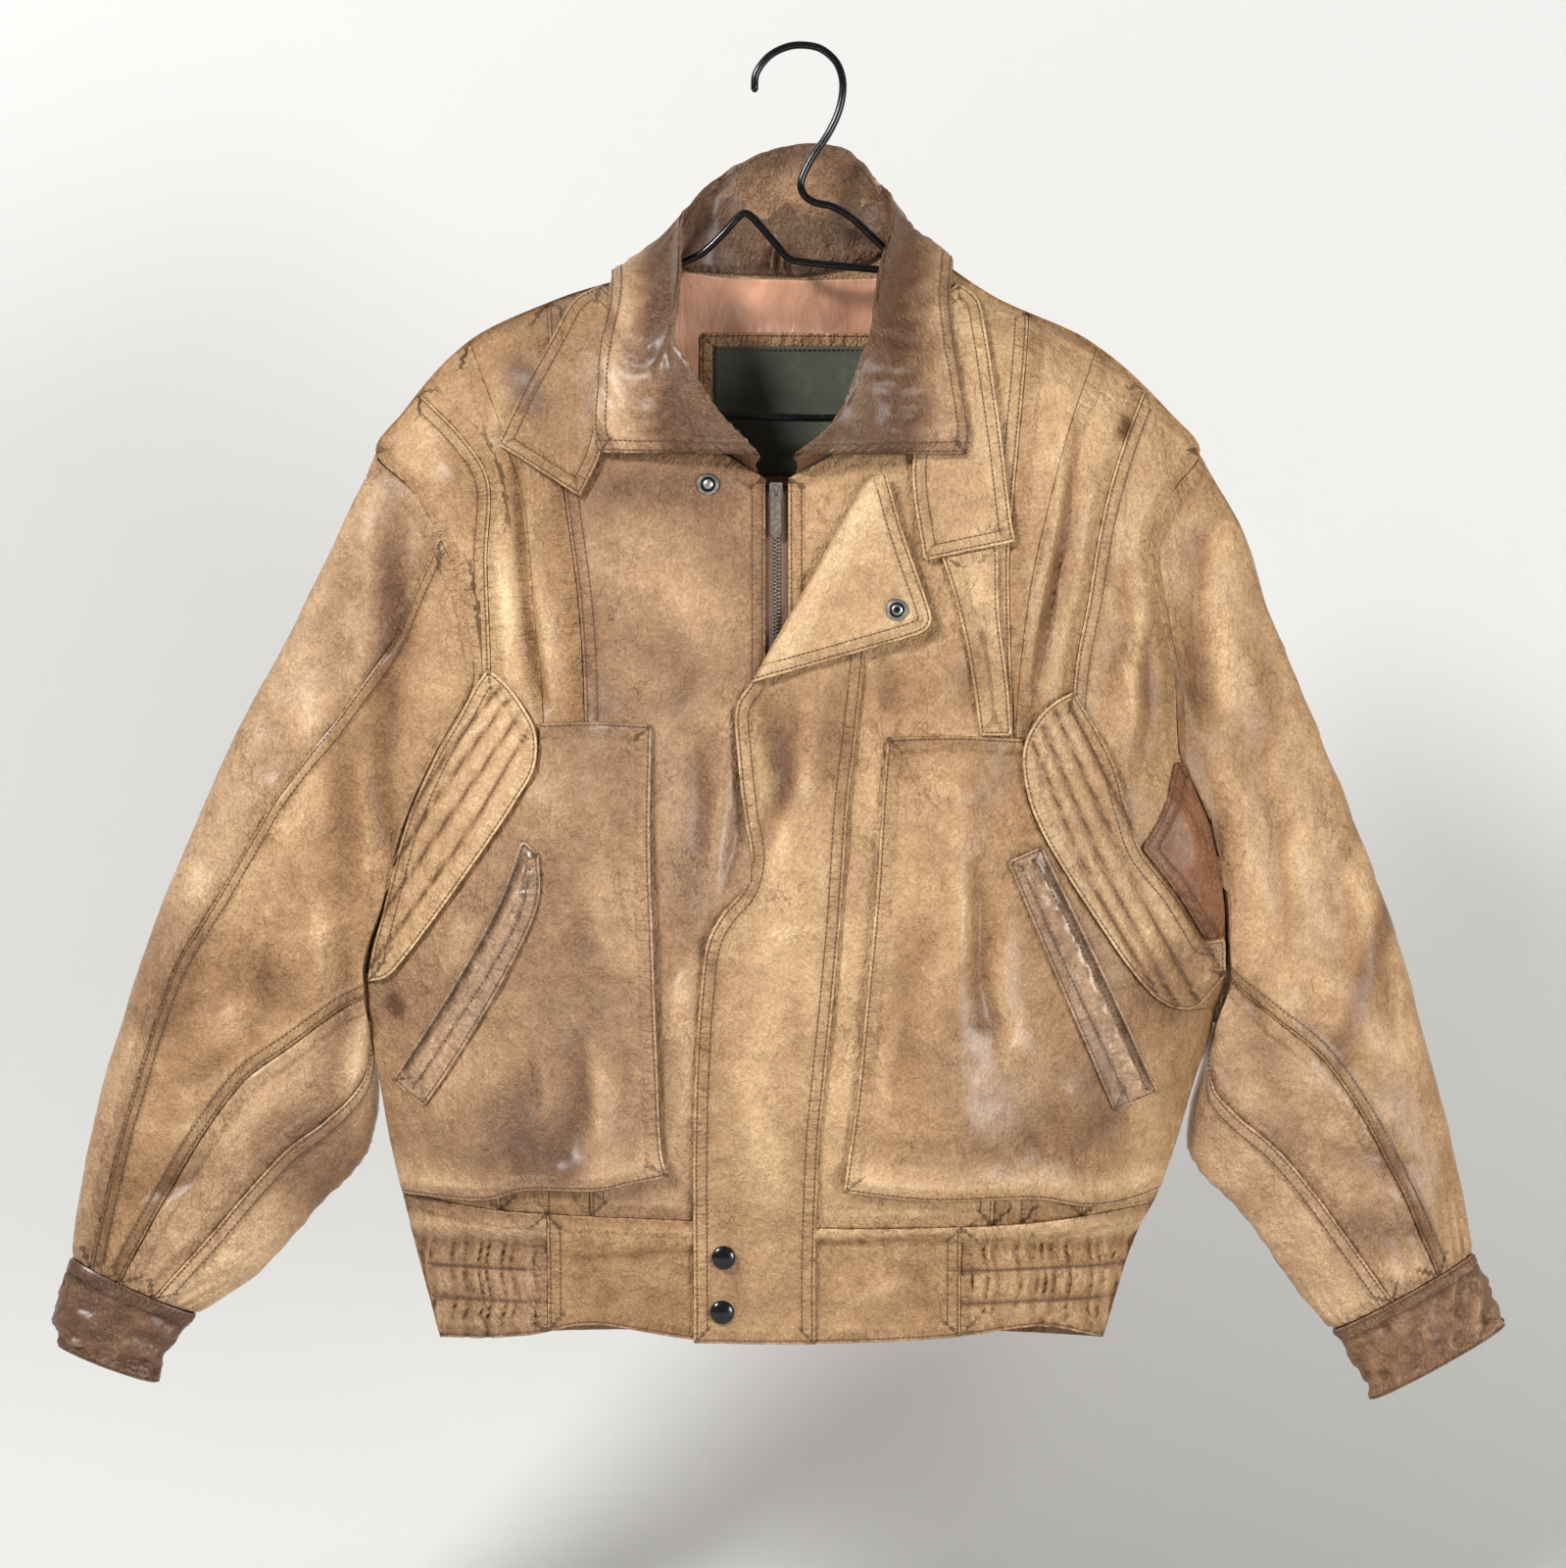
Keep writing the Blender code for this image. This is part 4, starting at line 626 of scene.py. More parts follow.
def finish_piece(obj, material, node, body="jacket"):
    """Gives a piece its finish, its body, and the node that it stands for."""
    obj.data.materials.clear()
    obj.data.materials.append(material)
    if node:
        for one in ([node] if isinstance(node, str) else node):
            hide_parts(one)
    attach(obj, body)
    return obj


# ---------------------------------------------------------------- finishes


def socket_of(sockets, key):
    """A node's socket by its number, its identifier or its name."""
    if isinstance(key, int):
        return sockets[key]
    return next((socket for socket in sockets if socket.identifier == key), None) or sockets[key]


class Wire:
    """A number on its way through a finish; sums on it add their maths nodes."""

    def __init__(self, finish, socket):
        self.finish = finish
        self.socket = socket

    def sum(self, operation, other, swapped=False):
        pair = (other, self) if swapped else (self, other)
        return self.finish.node("ShaderNodeMath", {"operation": operation}, {0: pair[0], 1: pair[1]})

    def __add__(self, other):
        return self.sum("ADD", other)

    __radd__ = __add__

    def __sub__(self, other):
        return self.sum("SUBTRACT", other)

    def __rsub__(self, other):
        return self.sum("SUBTRACT", other, True)

    def __mul__(self, other):
        return self.sum("MULTIPLY", other)

    __rmul__ = __mul__


class Finish:
    """A material under construction, with one Principled shader."""

    def __init__(self, name, **constants):
        self.material = bpy.data.materials.new(name)
        self.material.use_nodes = True
        self.tree = self.material.node_tree
        self.shader = self.tree.nodes["Principled BSDF"]
        for key, value in constants.items():
            self.shader.inputs[key.replace("_", " ")].default_value = value

    def node(self, kind, settings=None, values=None, out=0):
        node = self.tree.nodes.new(kind)
        for key, value in (settings or {}).items():
            if key == "stops":
                ramp = node.color_ramp.elements
                while len(ramp) < len(value):
                    ramp.new(0.5)
                for stop, (place, colour) in zip(ramp, value):
                    stop.position = place
                    stop.color = (*colour, 1)
            else:
                setattr(node, key, value)
        for key, value in (values or {}).items():
            socket = socket_of(node.inputs, key)
            if isinstance(value, Wire):
                self.tree.links.new(value.socket, socket)
            elif isinstance(value, tuple) and socket.type == "RGBA":
                socket.default_value = (*value, 1)
            else:
                socket.default_value = value
        return Wire(self, socket_of(node.outputs, out))

    def set(self, **inputs):
        for key, value in inputs.items():
            self.tree.links.new(value.socket, self.shader.inputs[key.replace("_", " ")])
        return self

    def place(self):
        return self.node("ShaderNodeTexCoord", out="Object")

    def fact(self, name):
        return self.node("ShaderNodeAttribute", {"attribute_name": name}, out="Fac")

    def noise(self, at, scale, detail=3.0, rough=0.55, warp=0.0):
        return self.node("ShaderNodeTexNoise", None,
                         {"Vector": at, "Scale": scale, "Detail": detail, "Roughness": rough,
                          "Distortion": warp})

    def cell_edges(self, at, scale):
        """Distance to the borders of random cells."""
        return self.node("ShaderNodeTexVoronoi", {"feature": "DISTANCE_TO_EDGE"},
                         {"Vector": at, "Scale": scale}, out="Distance")

    def off(self, value, centre):
        """How far a value is from a centre."""
        return self.node("ShaderNodeMath", {"operation": "ABSOLUTE"}, {0: value - centre})

    def thin(self, value, width):
        """1 along the middle level of a noise, 0 past the width beside it."""
        return self.span(self.off(value, 0.5), width, 0.0)

    def span(self, value, low, high):
        """0 at one value, 1 at the other, smooth between."""
        return self.node("ShaderNodeMapRange", {"interpolation_type": "SMOOTHSTEP"},
                         {"Value": value, "From Min": low, "From Max": high})

    def shade(self, share, first, second):
        """Between two colours."""
        return self.node("ShaderNodeMix", {"data_type": "RGBA"},
                         {"Factor_Float": share, "A_Color": first, "B_Color": second}, out="Result_Color")

    def dim(self, colour, share, tint):
        """A colour multiplied by a tint, as far as the share says."""
        return self.node("ShaderNodeMix", {"data_type": "RGBA", "blend_type": "MULTIPLY"},
                         {"Factor_Float": share, "A_Color": colour, "B_Color": tint}, out="Result_Color")

    def ramp(self, value, stops):
        return self.node("ShaderNodeValToRGB", {"stops": stops}, {"Fac": value}, out="Color")

    def moved(self, at, shift):
        """A place pushed about by a vector of numbers."""
        return self.node("ShaderNodeVectorMath", {"operation": "ADD"}, {0: at, 1: shift})

    def stretched(self, at, size):
        return self.node("ShaderNodeVectorMath", {"operation": "MULTIPLY"}, {0: at, 1: size})

    def vector(self, x, y, z):
        return self.node("ShaderNodeCombineXYZ", None, {"X": x, "Y": y, "Z": z})

    def relief(self, height, reach):
        return self.node("ShaderNodeBump", None, {"Height": height, "Distance": reach, "Strength": 1.0})


WARM = (1.0, 0.92, 0.81, 1.0)
PAINTED_SHEEN = (0.74, 0.60, 0.46)   # painted sheen: a pale haze standing in for the reflections on the polished wrinkles


def leather(name, colours, shine, crackle, patch):
    """Worn aniline leather.  colours run from the most soiled to the palest rubbed tone."""
    finish = Finish(name, Specular_IOR_Level=0.4, Specular_Tint=WARM, Coat_Tint=WARM, Coat_Roughness=0.3)
    at = finish.place()
    tone, gloss = finish.fact("tone"), finish.fact("shine")
    seam, run, sewn = finish.fact("seam"), finish.fact("run"), finish.fact("sewn")
    clouds = finish.noise(at, 8.0, 3.0, 0.6, 0.6)
    patches = finish.noise(at, 27.0, 4.0, 0.62, 0.4)
    mottle = finish.noise(at, 105.0, 4.0, 0.7)
    speckle = finish.noise(at, 520.0, 3.0, 0.75)
    # wrinkles run along the thin ridges of stretched noise
    drift = finish.node("ShaderNodeTexNoise", None, {"Vector": at, "Scale": 40.0, "Detail": 3.0}, out="Color")
    pushed = finish.moved(at, finish.stretched(drift, (0.016, 0.016, 0.016)))
    long_way = finish.stretched(pushed, (1.0, 1.0, 0.5))
    wrinkles = finish.thin(finish.noise(long_way, 88.0, 3.0, 0.55), 0.03)
    lesser = finish.thin(finish.noise(pushed, 190.0, 3.0, 0.6), 0.045)
    crazing = finish.span(finish.cell_edges(pushed, 330.0), 0.1, 0.0)
    creased = finish.span(finish.noise(at, 19.0, 3.0), 0.44, 0.66) * crackle
    crack = wrinkles * creased
    craze = (lesser * 0.6 + crazing * 0.5) * finish.span(patches, 0.4, 0.62) * crackle
    # darker in patches from five to twelve millimetres in from each worked edge
    near_seam_darkening = finish.span(seam, 12.0, 5.0) * finish.span(patches, 0.36, 0.6)
    rub = finish.span(seam, 1.4, 0.4) * finish.span(mottle, 0.34, 0.58)
    value = (tone + (clouds - 0.5) * (1.0 * patch) + (patches - 0.5) * (1.1 * patch)
             + (mottle - 0.5) * 0.9 + (speckle - 0.5) * 1.3 - near_seam_darkening * 0.2 + rub * 0.5)
    stops = [(k / (len(colours) - 1), colour) for k, colour in enumerate(colours)]
    colour = finish.ramp(value * 0.5 + 0.5, stops)
    wave = finish.noise(long_way, 150.0, 4.0, 0.62)
    # painted sheen: the colour turns pale where the shine fact is high, most on the wrinkles of the wave
    # noise
    sheen_share = finish.span(gloss, 0.15, 1.0) * (finish.span(wave, 0.42, 0.64) * 0.16 + 0.1)
    colour = finish.shade(sheen_share, colour, PAINTED_SHEEN)
    colour = finish.dim(colour, crack * 0.62, (0.45, 0.33, 0.25))
    colour = finish.dim(colour, craze * 0.5, (0.5, 0.4, 0.32))
    # darker at the edges, edge dye and partly painted shade where the edge rolls under, and along the
    # stitches, soil and partly painted shade in the thread grooves
    colour = finish.dim(colour, finish.span(seam, 0.6, 0.0) * 0.8, (0.36, 0.24, 0.17))
    near = finish.span(finish.off(seam, NEAR_ROW), 0.8, 0.1) * finish.span(sewn, 0.4, 0.6)
    far = finish.span(finish.off(seam, FAR_ROW), 0.8, 0.1) * finish.span(sewn, 1.4, 1.6)
    colour = finish.dim(colour, (near + far) * 0.62, (0.36, 0.25, 0.18))
    # the gathered cloth beside the stitches
    beside = finish.noise(finish.vector(run * 0.3, seam * 0.07, finish.noise(at, 90.0, 1.0) * 1.6), 1.0, 2.0)
    pucker = beside * finish.span(seam, 12.0, 7.5)
    grain = finish.noise(at, 900.0, 0.0)
    height = grain * 0.2 + speckle * 0.2 + wave * 1.5 + mottle * 0.9 + pucker * 1.4 + patches * 1.6
    rough = (0.4 - shine * 0.12 - gloss * 0.2 + (mottle - 0.5) * 0.3 + (speckle - 0.5) * 0.25
             - finish.span(seam, 2.0, 0.4) * 0.06)
    coat = gloss * 0.7 + 0.14 + shine * 0.35
    return finish.set(Base_Color=colour, Roughness=rough, Coat_Weight=coat,
                      Normal=finish.relief(height, 0.0024)).material


def thread(name, colour):
    finish = Finish(name, Roughness=0.62, Sheen_Weight=0.2)
    at = finish.place()
    twist = finish.noise(at, 900.0, 2.0)
    pale = tuple(min(1, c * 2.3) for c in colour)
    return finish.set(Base_Color=finish.shade(twist, colour, pale),
                      Normal=finish.relief(twist, 0.0002)).material


def satin(name, colour, deep):
    finish = Finish(name, Anisotropic=0.5, Sheen_Weight=0.25, Specular_IOR_Level=0.5)
    at = finish.place()
    clouds = finish.noise(at, 16.0, 3.0)
    yarn = finish.noise(finish.stretched(at, (3000.0, 3000.0, 260.0)), 1.0, 1.0)
    share = finish.span(clouds, 0.3, 0.72) * 0.6 + yarn * 0.2
    rough = yarn * 0.12 + 0.32
    fold = finish.noise(finish.stretched(at, (1.0, 1.0, 0.35)), 55.0, 3.0, 0.55, 0.8)
    return finish.set(Base_Color=finish.shade(share, deep, colour), Roughness=rough,
                      Normal=finish.relief(fold * 2.2 + yarn * 0.08, 0.0011)).material


def woven(name, colour, pale, count, worn_share):
    """A close plain weave, for the label and the zip's tape."""
    finish = Finish(name, Sheen_Weight=0.15)
    at = finish.place()
    across = finish.node("ShaderNodeTexWave", {"bands_direction": "X"},
                         {"Vector": at, "Scale": count / 6.3, "Distortion": 0.6})
    down = finish.node("ShaderNodeTexWave", {"bands_direction": "Z"},
                       {"Vector": at, "Scale": count / 6.3, "Distortion": 0.6})
    weave = across * 0.5 + down * 0.5
    wear = finish.span(finish.noise(at, 60.0, 4.0), 0.5, 0.75) * worn_share
    colour = finish.shade(weave * 0.45 + wear * 0.55, colour, pale)
    rough = weave * 0.15 + 0.66
    return finish.set(Base_Color=colour, Roughness=rough, Normal=finish.relief(weave, 0.00025)).material


def metal(name, colour, dull, rough=0.32):
    """Plated metal, tarnished in the hollows."""
    finish = Finish(name, Metallic=1.0)
    at = finish.place()
    tarnish = finish.span(finish.noise(at, 420.0, 3.0), 0.42, 0.66)
    scratch = finish.noise(finish.stretched(at, (300.0, 300.0, 2600.0)), 1.0, 2.0)
    return finish.set(Base_Color=finish.shade(tarnish, colour, dull),
                      Roughness=tarnish * 0.2 + scratch * 0.12 + (rough - 0.08),
                      Normal=finish.relief(scratch, 0.00006)).material


def enamel(name, colour, rough, coat=0.6):
    """Painted or coated metal, with light scuffs."""
    finish = Finish(name, Coat_Weight=coat, Coat_Roughness=0.08, Specular_IOR_Level=0.25)
    at = finish.place()
    scuff = finish.span(finish.noise(at, 260.0, 4.0, 0.65), 0.52, 0.78)
    pale = tuple(c * 2.2 + 0.004 for c in colour)
    return finish.set(Base_Color=finish.shade(scuff, colour, pale), Roughness=scuff * 0.22 + rough,
                      Normal=finish.relief(scuff, 0.00004)).material

# ---------------------------------------------------------------- repeated small things


def tree_with(name, inputs, nodes, links):
    """A Geometry Nodes tree and the identifiers of its named inputs.

    nodes gives each node's type, settings and values; a link reads from.socket>to.socket."""
    tree = bpy.data.node_groups.new(name, "GeometryNodeTree")
    tree.interface.new_socket("Geometry", in_out="INPUT", socket_type="NodeSocketGeometry")
    ids = {}
    for label, kind, value in inputs:
        socket = tree.interface.new_socket(label, in_out="INPUT", socket_type="NodeSocket" + kind)
        if value is not None:
            socket.default_value = value
        ids[label] = socket.identifier
    tree.interface.new_socket("Geometry", in_out="OUTPUT", socket_type="NodeSocketGeometry")
    made = {"in": tree.nodes.new("NodeGroupInput"), "out": tree.nodes.new("NodeGroupOutput")}
    for key, (kind, settings, values) in nodes.items():
        made[key] = node = tree.nodes.new(kind)
        for setting, value in settings.items():
            setattr(node, setting, value)
        for socket, value in values.items():
            socket_of(node.inputs, socket).default_value = value
    for link in links.split():
        (start, out), (end, into) = (place.split(".") for place in link.split(">"))
        tree.links.new(socket_of(made[start].outputs, out), socket_of(made[end].inputs, into))
    return tree, ids


# Both trees resample lines of points to one pitch and set a small ball on each, drawn out to size.
ALONG = {
    "path": ("GeometryNodeMeshToCurve", {}, {}),
    "even": ("GeometryNodeResampleCurve", {"mode": "LENGTH"}, {}),
    "size": ("ShaderNodeCombineXYZ", {}, {}),
    "place": ("GeometryNodeInstanceOnPoints", {}, {}),
    "real": ("GeometryNodeRealizeInstances", {}, {}),
    "dye": ("GeometryNodeSetMaterial", {}, {}),
}
ALONG_LINKS = """in.Geometry>path.Mesh path.Curve>even.Curve in.Pitch>even.Length even.Curve>place.Points
    place.Instances>real.Geometry real.Geometry>dye.Geometry in.Material>dye.Material
    dye.Geometry>out.Geometry """


def ball(segments, rings):
    return "GeometryNodeMeshUVSphere", {}, {"Segments": segments, "Rings": rings, "Radius": 0.5}


def stitch_tree():
    """Rows of points become rows of thread, one small stitch to each pitch, uneven in size."""
    nodes = {
        "ball": ball(5, 4), "soft": ("GeometryNodeSetShadeSmooth", {}, {}),
        "tangent": ("GeometryNodeInputTangent", {}, {}),
        "turn": ("FunctionNodeAlignRotationToVector", {"axis": "Z"}, {}),
        "low": ("ShaderNodeMath", {"operation": "SUBTRACT"}, {0: 1.0}),
        "vary": ("FunctionNodeRandomValue", {"data_type": "FLOAT"}, {"Max_001": 1.0}),
        "scale": ("ShaderNodeVectorMath", {"operation": "SCALE"}, {}),
    }
    inputs = (("Pitch", "Float", 0.003), ("Length", "Float", 0.0023), ("Thickness", "Float", 0.0008),
              ("Unevenness", "Float", 0.12), ("Seed", "Int", 5), ("Material", "Material", None))
    return tree_with("Stitches", inputs, {**ALONG, **nodes}, ALONG_LINKS + """
        ball.Mesh>soft.Geometry soft.Geometry>place.Instance
        tangent.Tangent>turn.Vector turn.Rotation>place.Rotation
        in.Thickness>size.X in.Thickness>size.Y in.Length>size.Z size.Vector>scale.Vector
        in.Unevenness>low.Value_001 low.Value>vary.Min_001 in.Seed>vary.Seed
        vary.Value_001>scale.Scale scale.Vector>place.Scale""")


def teeth_tree():
    """Metal teeth set along a line, each a small closed bar across it."""
    inputs = (("Pitch", "Float", 0.0022), ("Width", "Float", 0.0026), ("Height", "Float", 0.0018),
              ("Depth", "Float", 0.0012), ("Material", "Material", None))
    return tree_with("Zip teeth", inputs, {**ALONG, "ball": ball(8, 5)}, ALONG_LINKS + """
        ball.Mesh>place.Instance in.Width>size.X in.Height>size.Y in.Depth>size.Z size.Vector>place.Scale""")


TREES = {}


def repeat(name, lines, maker, values, material):
    """Runs a tree over lines of points in millimetres and keeps the result as a plain mesh."""
    if maker not in TREES:
        TREES[maker] = maker()
    tree, ids = TREES[maker]
    points, edges = [], []
    for line in lines:
        start = len(points)
        points += (np.asarray(line) * MM).tolist()
        edges += [(k, k + 1) for k in range(start, len(points) - 1)]
    mesh = bpy.data.meshes.new(name + "_path")
    mesh.from_pydata(points, edges, [])
    obj = bpy.data.objects.new(name, mesh)
    bpy.context.scene.collection.objects.link(obj)
    step = obj.modifiers.new("Repeat", "NODES")
    step.node_group = tree
    for label, value in {**values, "Material": material}.items():
        step[ids[label]] = value
    bpy.context.view_layer.update()
    graph = bpy.context.evaluated_depsgraph_get()
    made = bpy.data.meshes.new_from_object(obj.evaluated_get(graph))
    obj.modifiers.clear()
    obj.data = made
    made.name = name
    made.materials.clear()
    made.materials.append(material)
    bpy.data.meshes.remove(mesh)
    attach(obj, "jacket")
    return obj


STITCH_UNEVEN = 0.14
STITCH_SEED = 5
STITCH_LIFT = 0.12


def sew(name, rows, lift=STITCH_LIFT):
    """Sews rows of stitches, lifted a little off the cloth towards the front or the back."""
    sizes = bpy.context.scene.blouson_sizes
    lifted = []
    for row in rows:
        side = np.where(row[:, 1:2] < 0, -1.0, 1.0)
        lifted.append(row + side * np.array((0, lift, 0)))
    values = {"Pitch": sizes.stitch_pitch, "Length": sizes.stitch_length, "Thickness": sizes.thread,
              "Unevenness": STITCH_UNEVEN, "Seed": STITCH_SEED}
    return repeat(name, lifted, stitch_tree, values, finish_named("thread_brown"))


# ---------------------------------------------------------------- the cut pieces of the body

LEAF_R_OUTER = ((-200, -401), (-208, -411), (-221, -435), (-233, -455), (-244.8, -480), (-254, -503),
                (-261.1, -528), (-269, -558), (-275.2, -581), (-278.8, -601))
LEAF_R_BULGE = ((-278.8, -601), (-266, -598), (-254, -586), (-213, -532), (-180, -484), (-169, -464),
                (-168.5, -441), (-177, -425), (-188, -411), (-200, -401))
LEAF_L_OUTER = ((171, -416), (185, -438), (197, -462), (205, -490), (214, -516), (237, -545), (256, -575),
                (270.4, -573), (271, -597))
LEAF_L_BULGE = ((271, -597), (261, -608), (252, -617), (240, -618), (226, -612), (211, -597), (189, -567),
                (151, -507), (141, -482), (138, -454), (146, -435), (158, -423), (171, -416))
GUSSET_L_EDGE = ((243, -461), (238, -460), (229, -492), (214.5, -515), (237.5, -544), (257, -574))
GUSSET_L_ARM = ((257, -574), (270.6, -572), (269.6, -550), (259.6, -500), (251.6, -481), (243, -461))
PANEL_R_TOP = ((-165, -436), (-130, -435), (-95, -437))
PANEL_R_INNER = ((-95, -437), (-96, -511), (-94, -572), (-91, -654), (-88, -708), (-84, -721))
PANEL_R_FOOT = ((-84, -721), (-108, -726), (-127, -730), (-176, -731), (-200, -738), (-257.2, -737))
PANEL_R_SIDE = ((-257.2, -737), (-265, -705), (-272, -665), (-278, -628), (-279, -601.8))
PANEL_R_LEAF = ((-279, -601.8), (-254, -583.6), (-213, -530.6), (-180, -483.4), (-169, -464), (-165, -436))
PANEL_L_TOP = ((138, -446), (96, -444), (53, -445))
PANEL_L_INNER = ((53, -445), (50, -476), (46, -540), (40, -604), (34, -667), (25, -731))
PANEL_L_FOOT = ((25, -731), (75, -737), (148, -737), (182, -743), (207, -741), (229, -735))
PANEL_L_SIDE = ((229, -735), (240, -705), (252, -665), (264, -628), (262, -618.6))
PANEL_L_LEAF = ((262, -618.6), (240, -618.6), (226, -612.6), (210.5, -597.4), (188.4, -567.4),
                (150.4, -507.3), (140.4, -482.2), (138, -446))
WELT_R_LONG = ((-166, -518), (-166, -548), (-187, -595), (-224, -656), (-241, -680))
WELT_R_FOOT = ((-241, -680), (-263, -664))
WELT_R_MOUTH = ((-263, -664), (-222, -602), (-193, -550), (-177, -509))
WELT_R_HEAD = ((-177, -509), (-166, -518))
WELT_L_LONG = ((128, -523), (160, -598), (197, -682))
WELT_L_FOOT = ((197, -682), (227, -671))
WELT_L_MOUTH = ((227, -671), (192, -598), (150, -513))
WELT_L_HEAD = ((150, -513), (128, -523))
LOWER_R = ((-130, -152), (-146, -162), (-160, -188), (-178, -223), (-194, -259), (-141, -293),
           (-128, -266), (-118, -215), (-114, -170), (-130, -152))
LOWER_L = ((100, -152), (112, -161), (117, -186), (122, -224), (127, -263), (133, -314), (135, -321),
           (76, -334), (69, -276), (78, -215), (82, -170), (100, -152))
STRAP = ((87, -330), (96, -359), (104, -393), (109, -426), (111, -444.2), (131.5, -444.2), (129, -409),
         (124, -367), (123.5, -322), (87, -330))
FLAP_FREE = ((-33, -411), (-42, -425), (-41, -459), (-37, -495), (-33, -520), (-37, -539), (-51, -556),
             (-60, -573), (-65, -610), (-68, -660), (-69, -707), (-69, -828))
FLAP_HEM = ((-69, -828), (8, -829))
FLAP_SEAM = ((8, -829), (8, -773), (11, -694), (14, -662), (23, -569), (29, -482), (33, -450), (39, -393),
             (40, -376), (40, -290))
FLAP_FOLD = ((40, -281), (-33, -411))
TURN_EDGE = ((-33, -411), (20, -396), (71, -381), (78, -378), (81, -371), (79, -362), (64, -318),
             (53, -279))
TURN_TOP = ((53, -279), (40, -281))

# Soft spots of tone on the front: x, z, half sizes, turn in degrees, tone (dark below 0), shine, which also
# lays the painted sheen.
STAINS = (
    (-81, -287, 42, 16, 0, -0.6, 0.1), (-112, -324, 24, 26, 0, 0.2, 0.0), (-62, -360, 20, 44, 8, 0.1, 0.2),
    (-137, -374, 16, 42, 0, -0.25, 0.1), (-74, -402, 40, 24, 10, -0.35, 0.15),
    (-84, -476, 14, 58, 4, 0.1, 0.75), (-62, -530, 14, 42, -14, -0.4, 0.5), (-76, -600, 12, 60, 0, 0.5, 0.0),
    (-120, -430, 30, 14, 0, -0.2, 0.1), (-150, -300, 20, 60, 6, 0.05, 0.0),
    (-136, -482, 40, 46, 0, -0.1, 0.0), (-150, -560, 22, 40, 20, -0.3, 0.1),
    (-122, -566, 24, 34, 0, 0.3, 0.15),
    (-140, -622, 46, 26, 0, -0.25, 0.35), (-178, -690, 34, 40, -20, -0.9, 0.3),
    (-150, -716, 12, 9, 0, -1.1, 0.1),
    (-174, -714, 9, 8, 0, -1.0, 0.1), (-250, -700, 22, 26, 0, 0.1, 0.0),
    (-260.5, -616, 4.5, 8, 20, -1.5, 0.0),
    (-212, -650, 22, 44, 30, 0.3, 0.0), (-118, -690, 20, 36, 0, -0.1, 0.55),
    (-240, -620, 26, 22, 0, -0.15, 0.0),
    (98, -474, 36, 38, 0, 0.25, 0.0), (119, -470, 9, 34, -6, -0.4, 0.9), (154, -574, 22, 40, -20, -0.25, 0.3),
    (116, -660, 40, 46, 0, -0.1, 0.6), (184, -684, 32, 40, 20, -0.6, 0.15), (70, -720, 40, 12, 0, 0.1, 0.8),
    (216, -696, 22, 34, 0, 0.4, 0.0), (60, -600, 16, 70, 5, 0.25, 0.1), (90, -560, 22, 50, 0, 0.2, 0.05),
    (240, -600, 34, 30, 0, -0.7, 0.1), (75, -352, 20, 52, 6, -0.4, 0.1), (88, -414, 34, 22, 0, -0.5, 0.1),
    (50, -420, 12, 40, 0, -0.15, 0.1),
    (232, -388, 18, 56, -6, -0.3, 0.1), (212, -450, 26, 50, 0, -0.3, 0.05), (160, -250, 40, 60, 0, 0.3, 0.0),
    (200, -235, 30, 26, 30, 0.3, 0.0), (214, -300, 20, 40, 0, 0.15, 0.05), (-236, -252, 26, 26, 0, 0.2, 0.0),
    (-230, -300, 18, 40, 0, 0.0, 0.4), (-190, -340, 16, 60, 4, 0.35, 0.0), (-188, -240, 18, 26, 20, 0.2, 0.0),
    (-205, -380, 12, 40, 0, 0.1, 0.1), (-176, -222, 10, 22, 26, -0.9, 0.2), (208, -243, 4, 6, 30, -1.4, 0.0),
    (205, -250, 3.5, 5, 30, -1.4, 0.0), (-20, -640, 26, 70, 0, 0.3, 0.05), (-10, -520, 22, 60, -6, 0.3, 0.05),
    (-22, -780, 30, 40, 0, 0.0, 0.15), (-46, -790, 12, 26, 0, -0.35, 0.2), (10, -440, 20, 40, 16, -0.3, 0.2),
    (-14, -460, 9, 50, 12, -0.7, 0.1), (24, -600, 8, 60, 5, 0.2, 0.0),
)
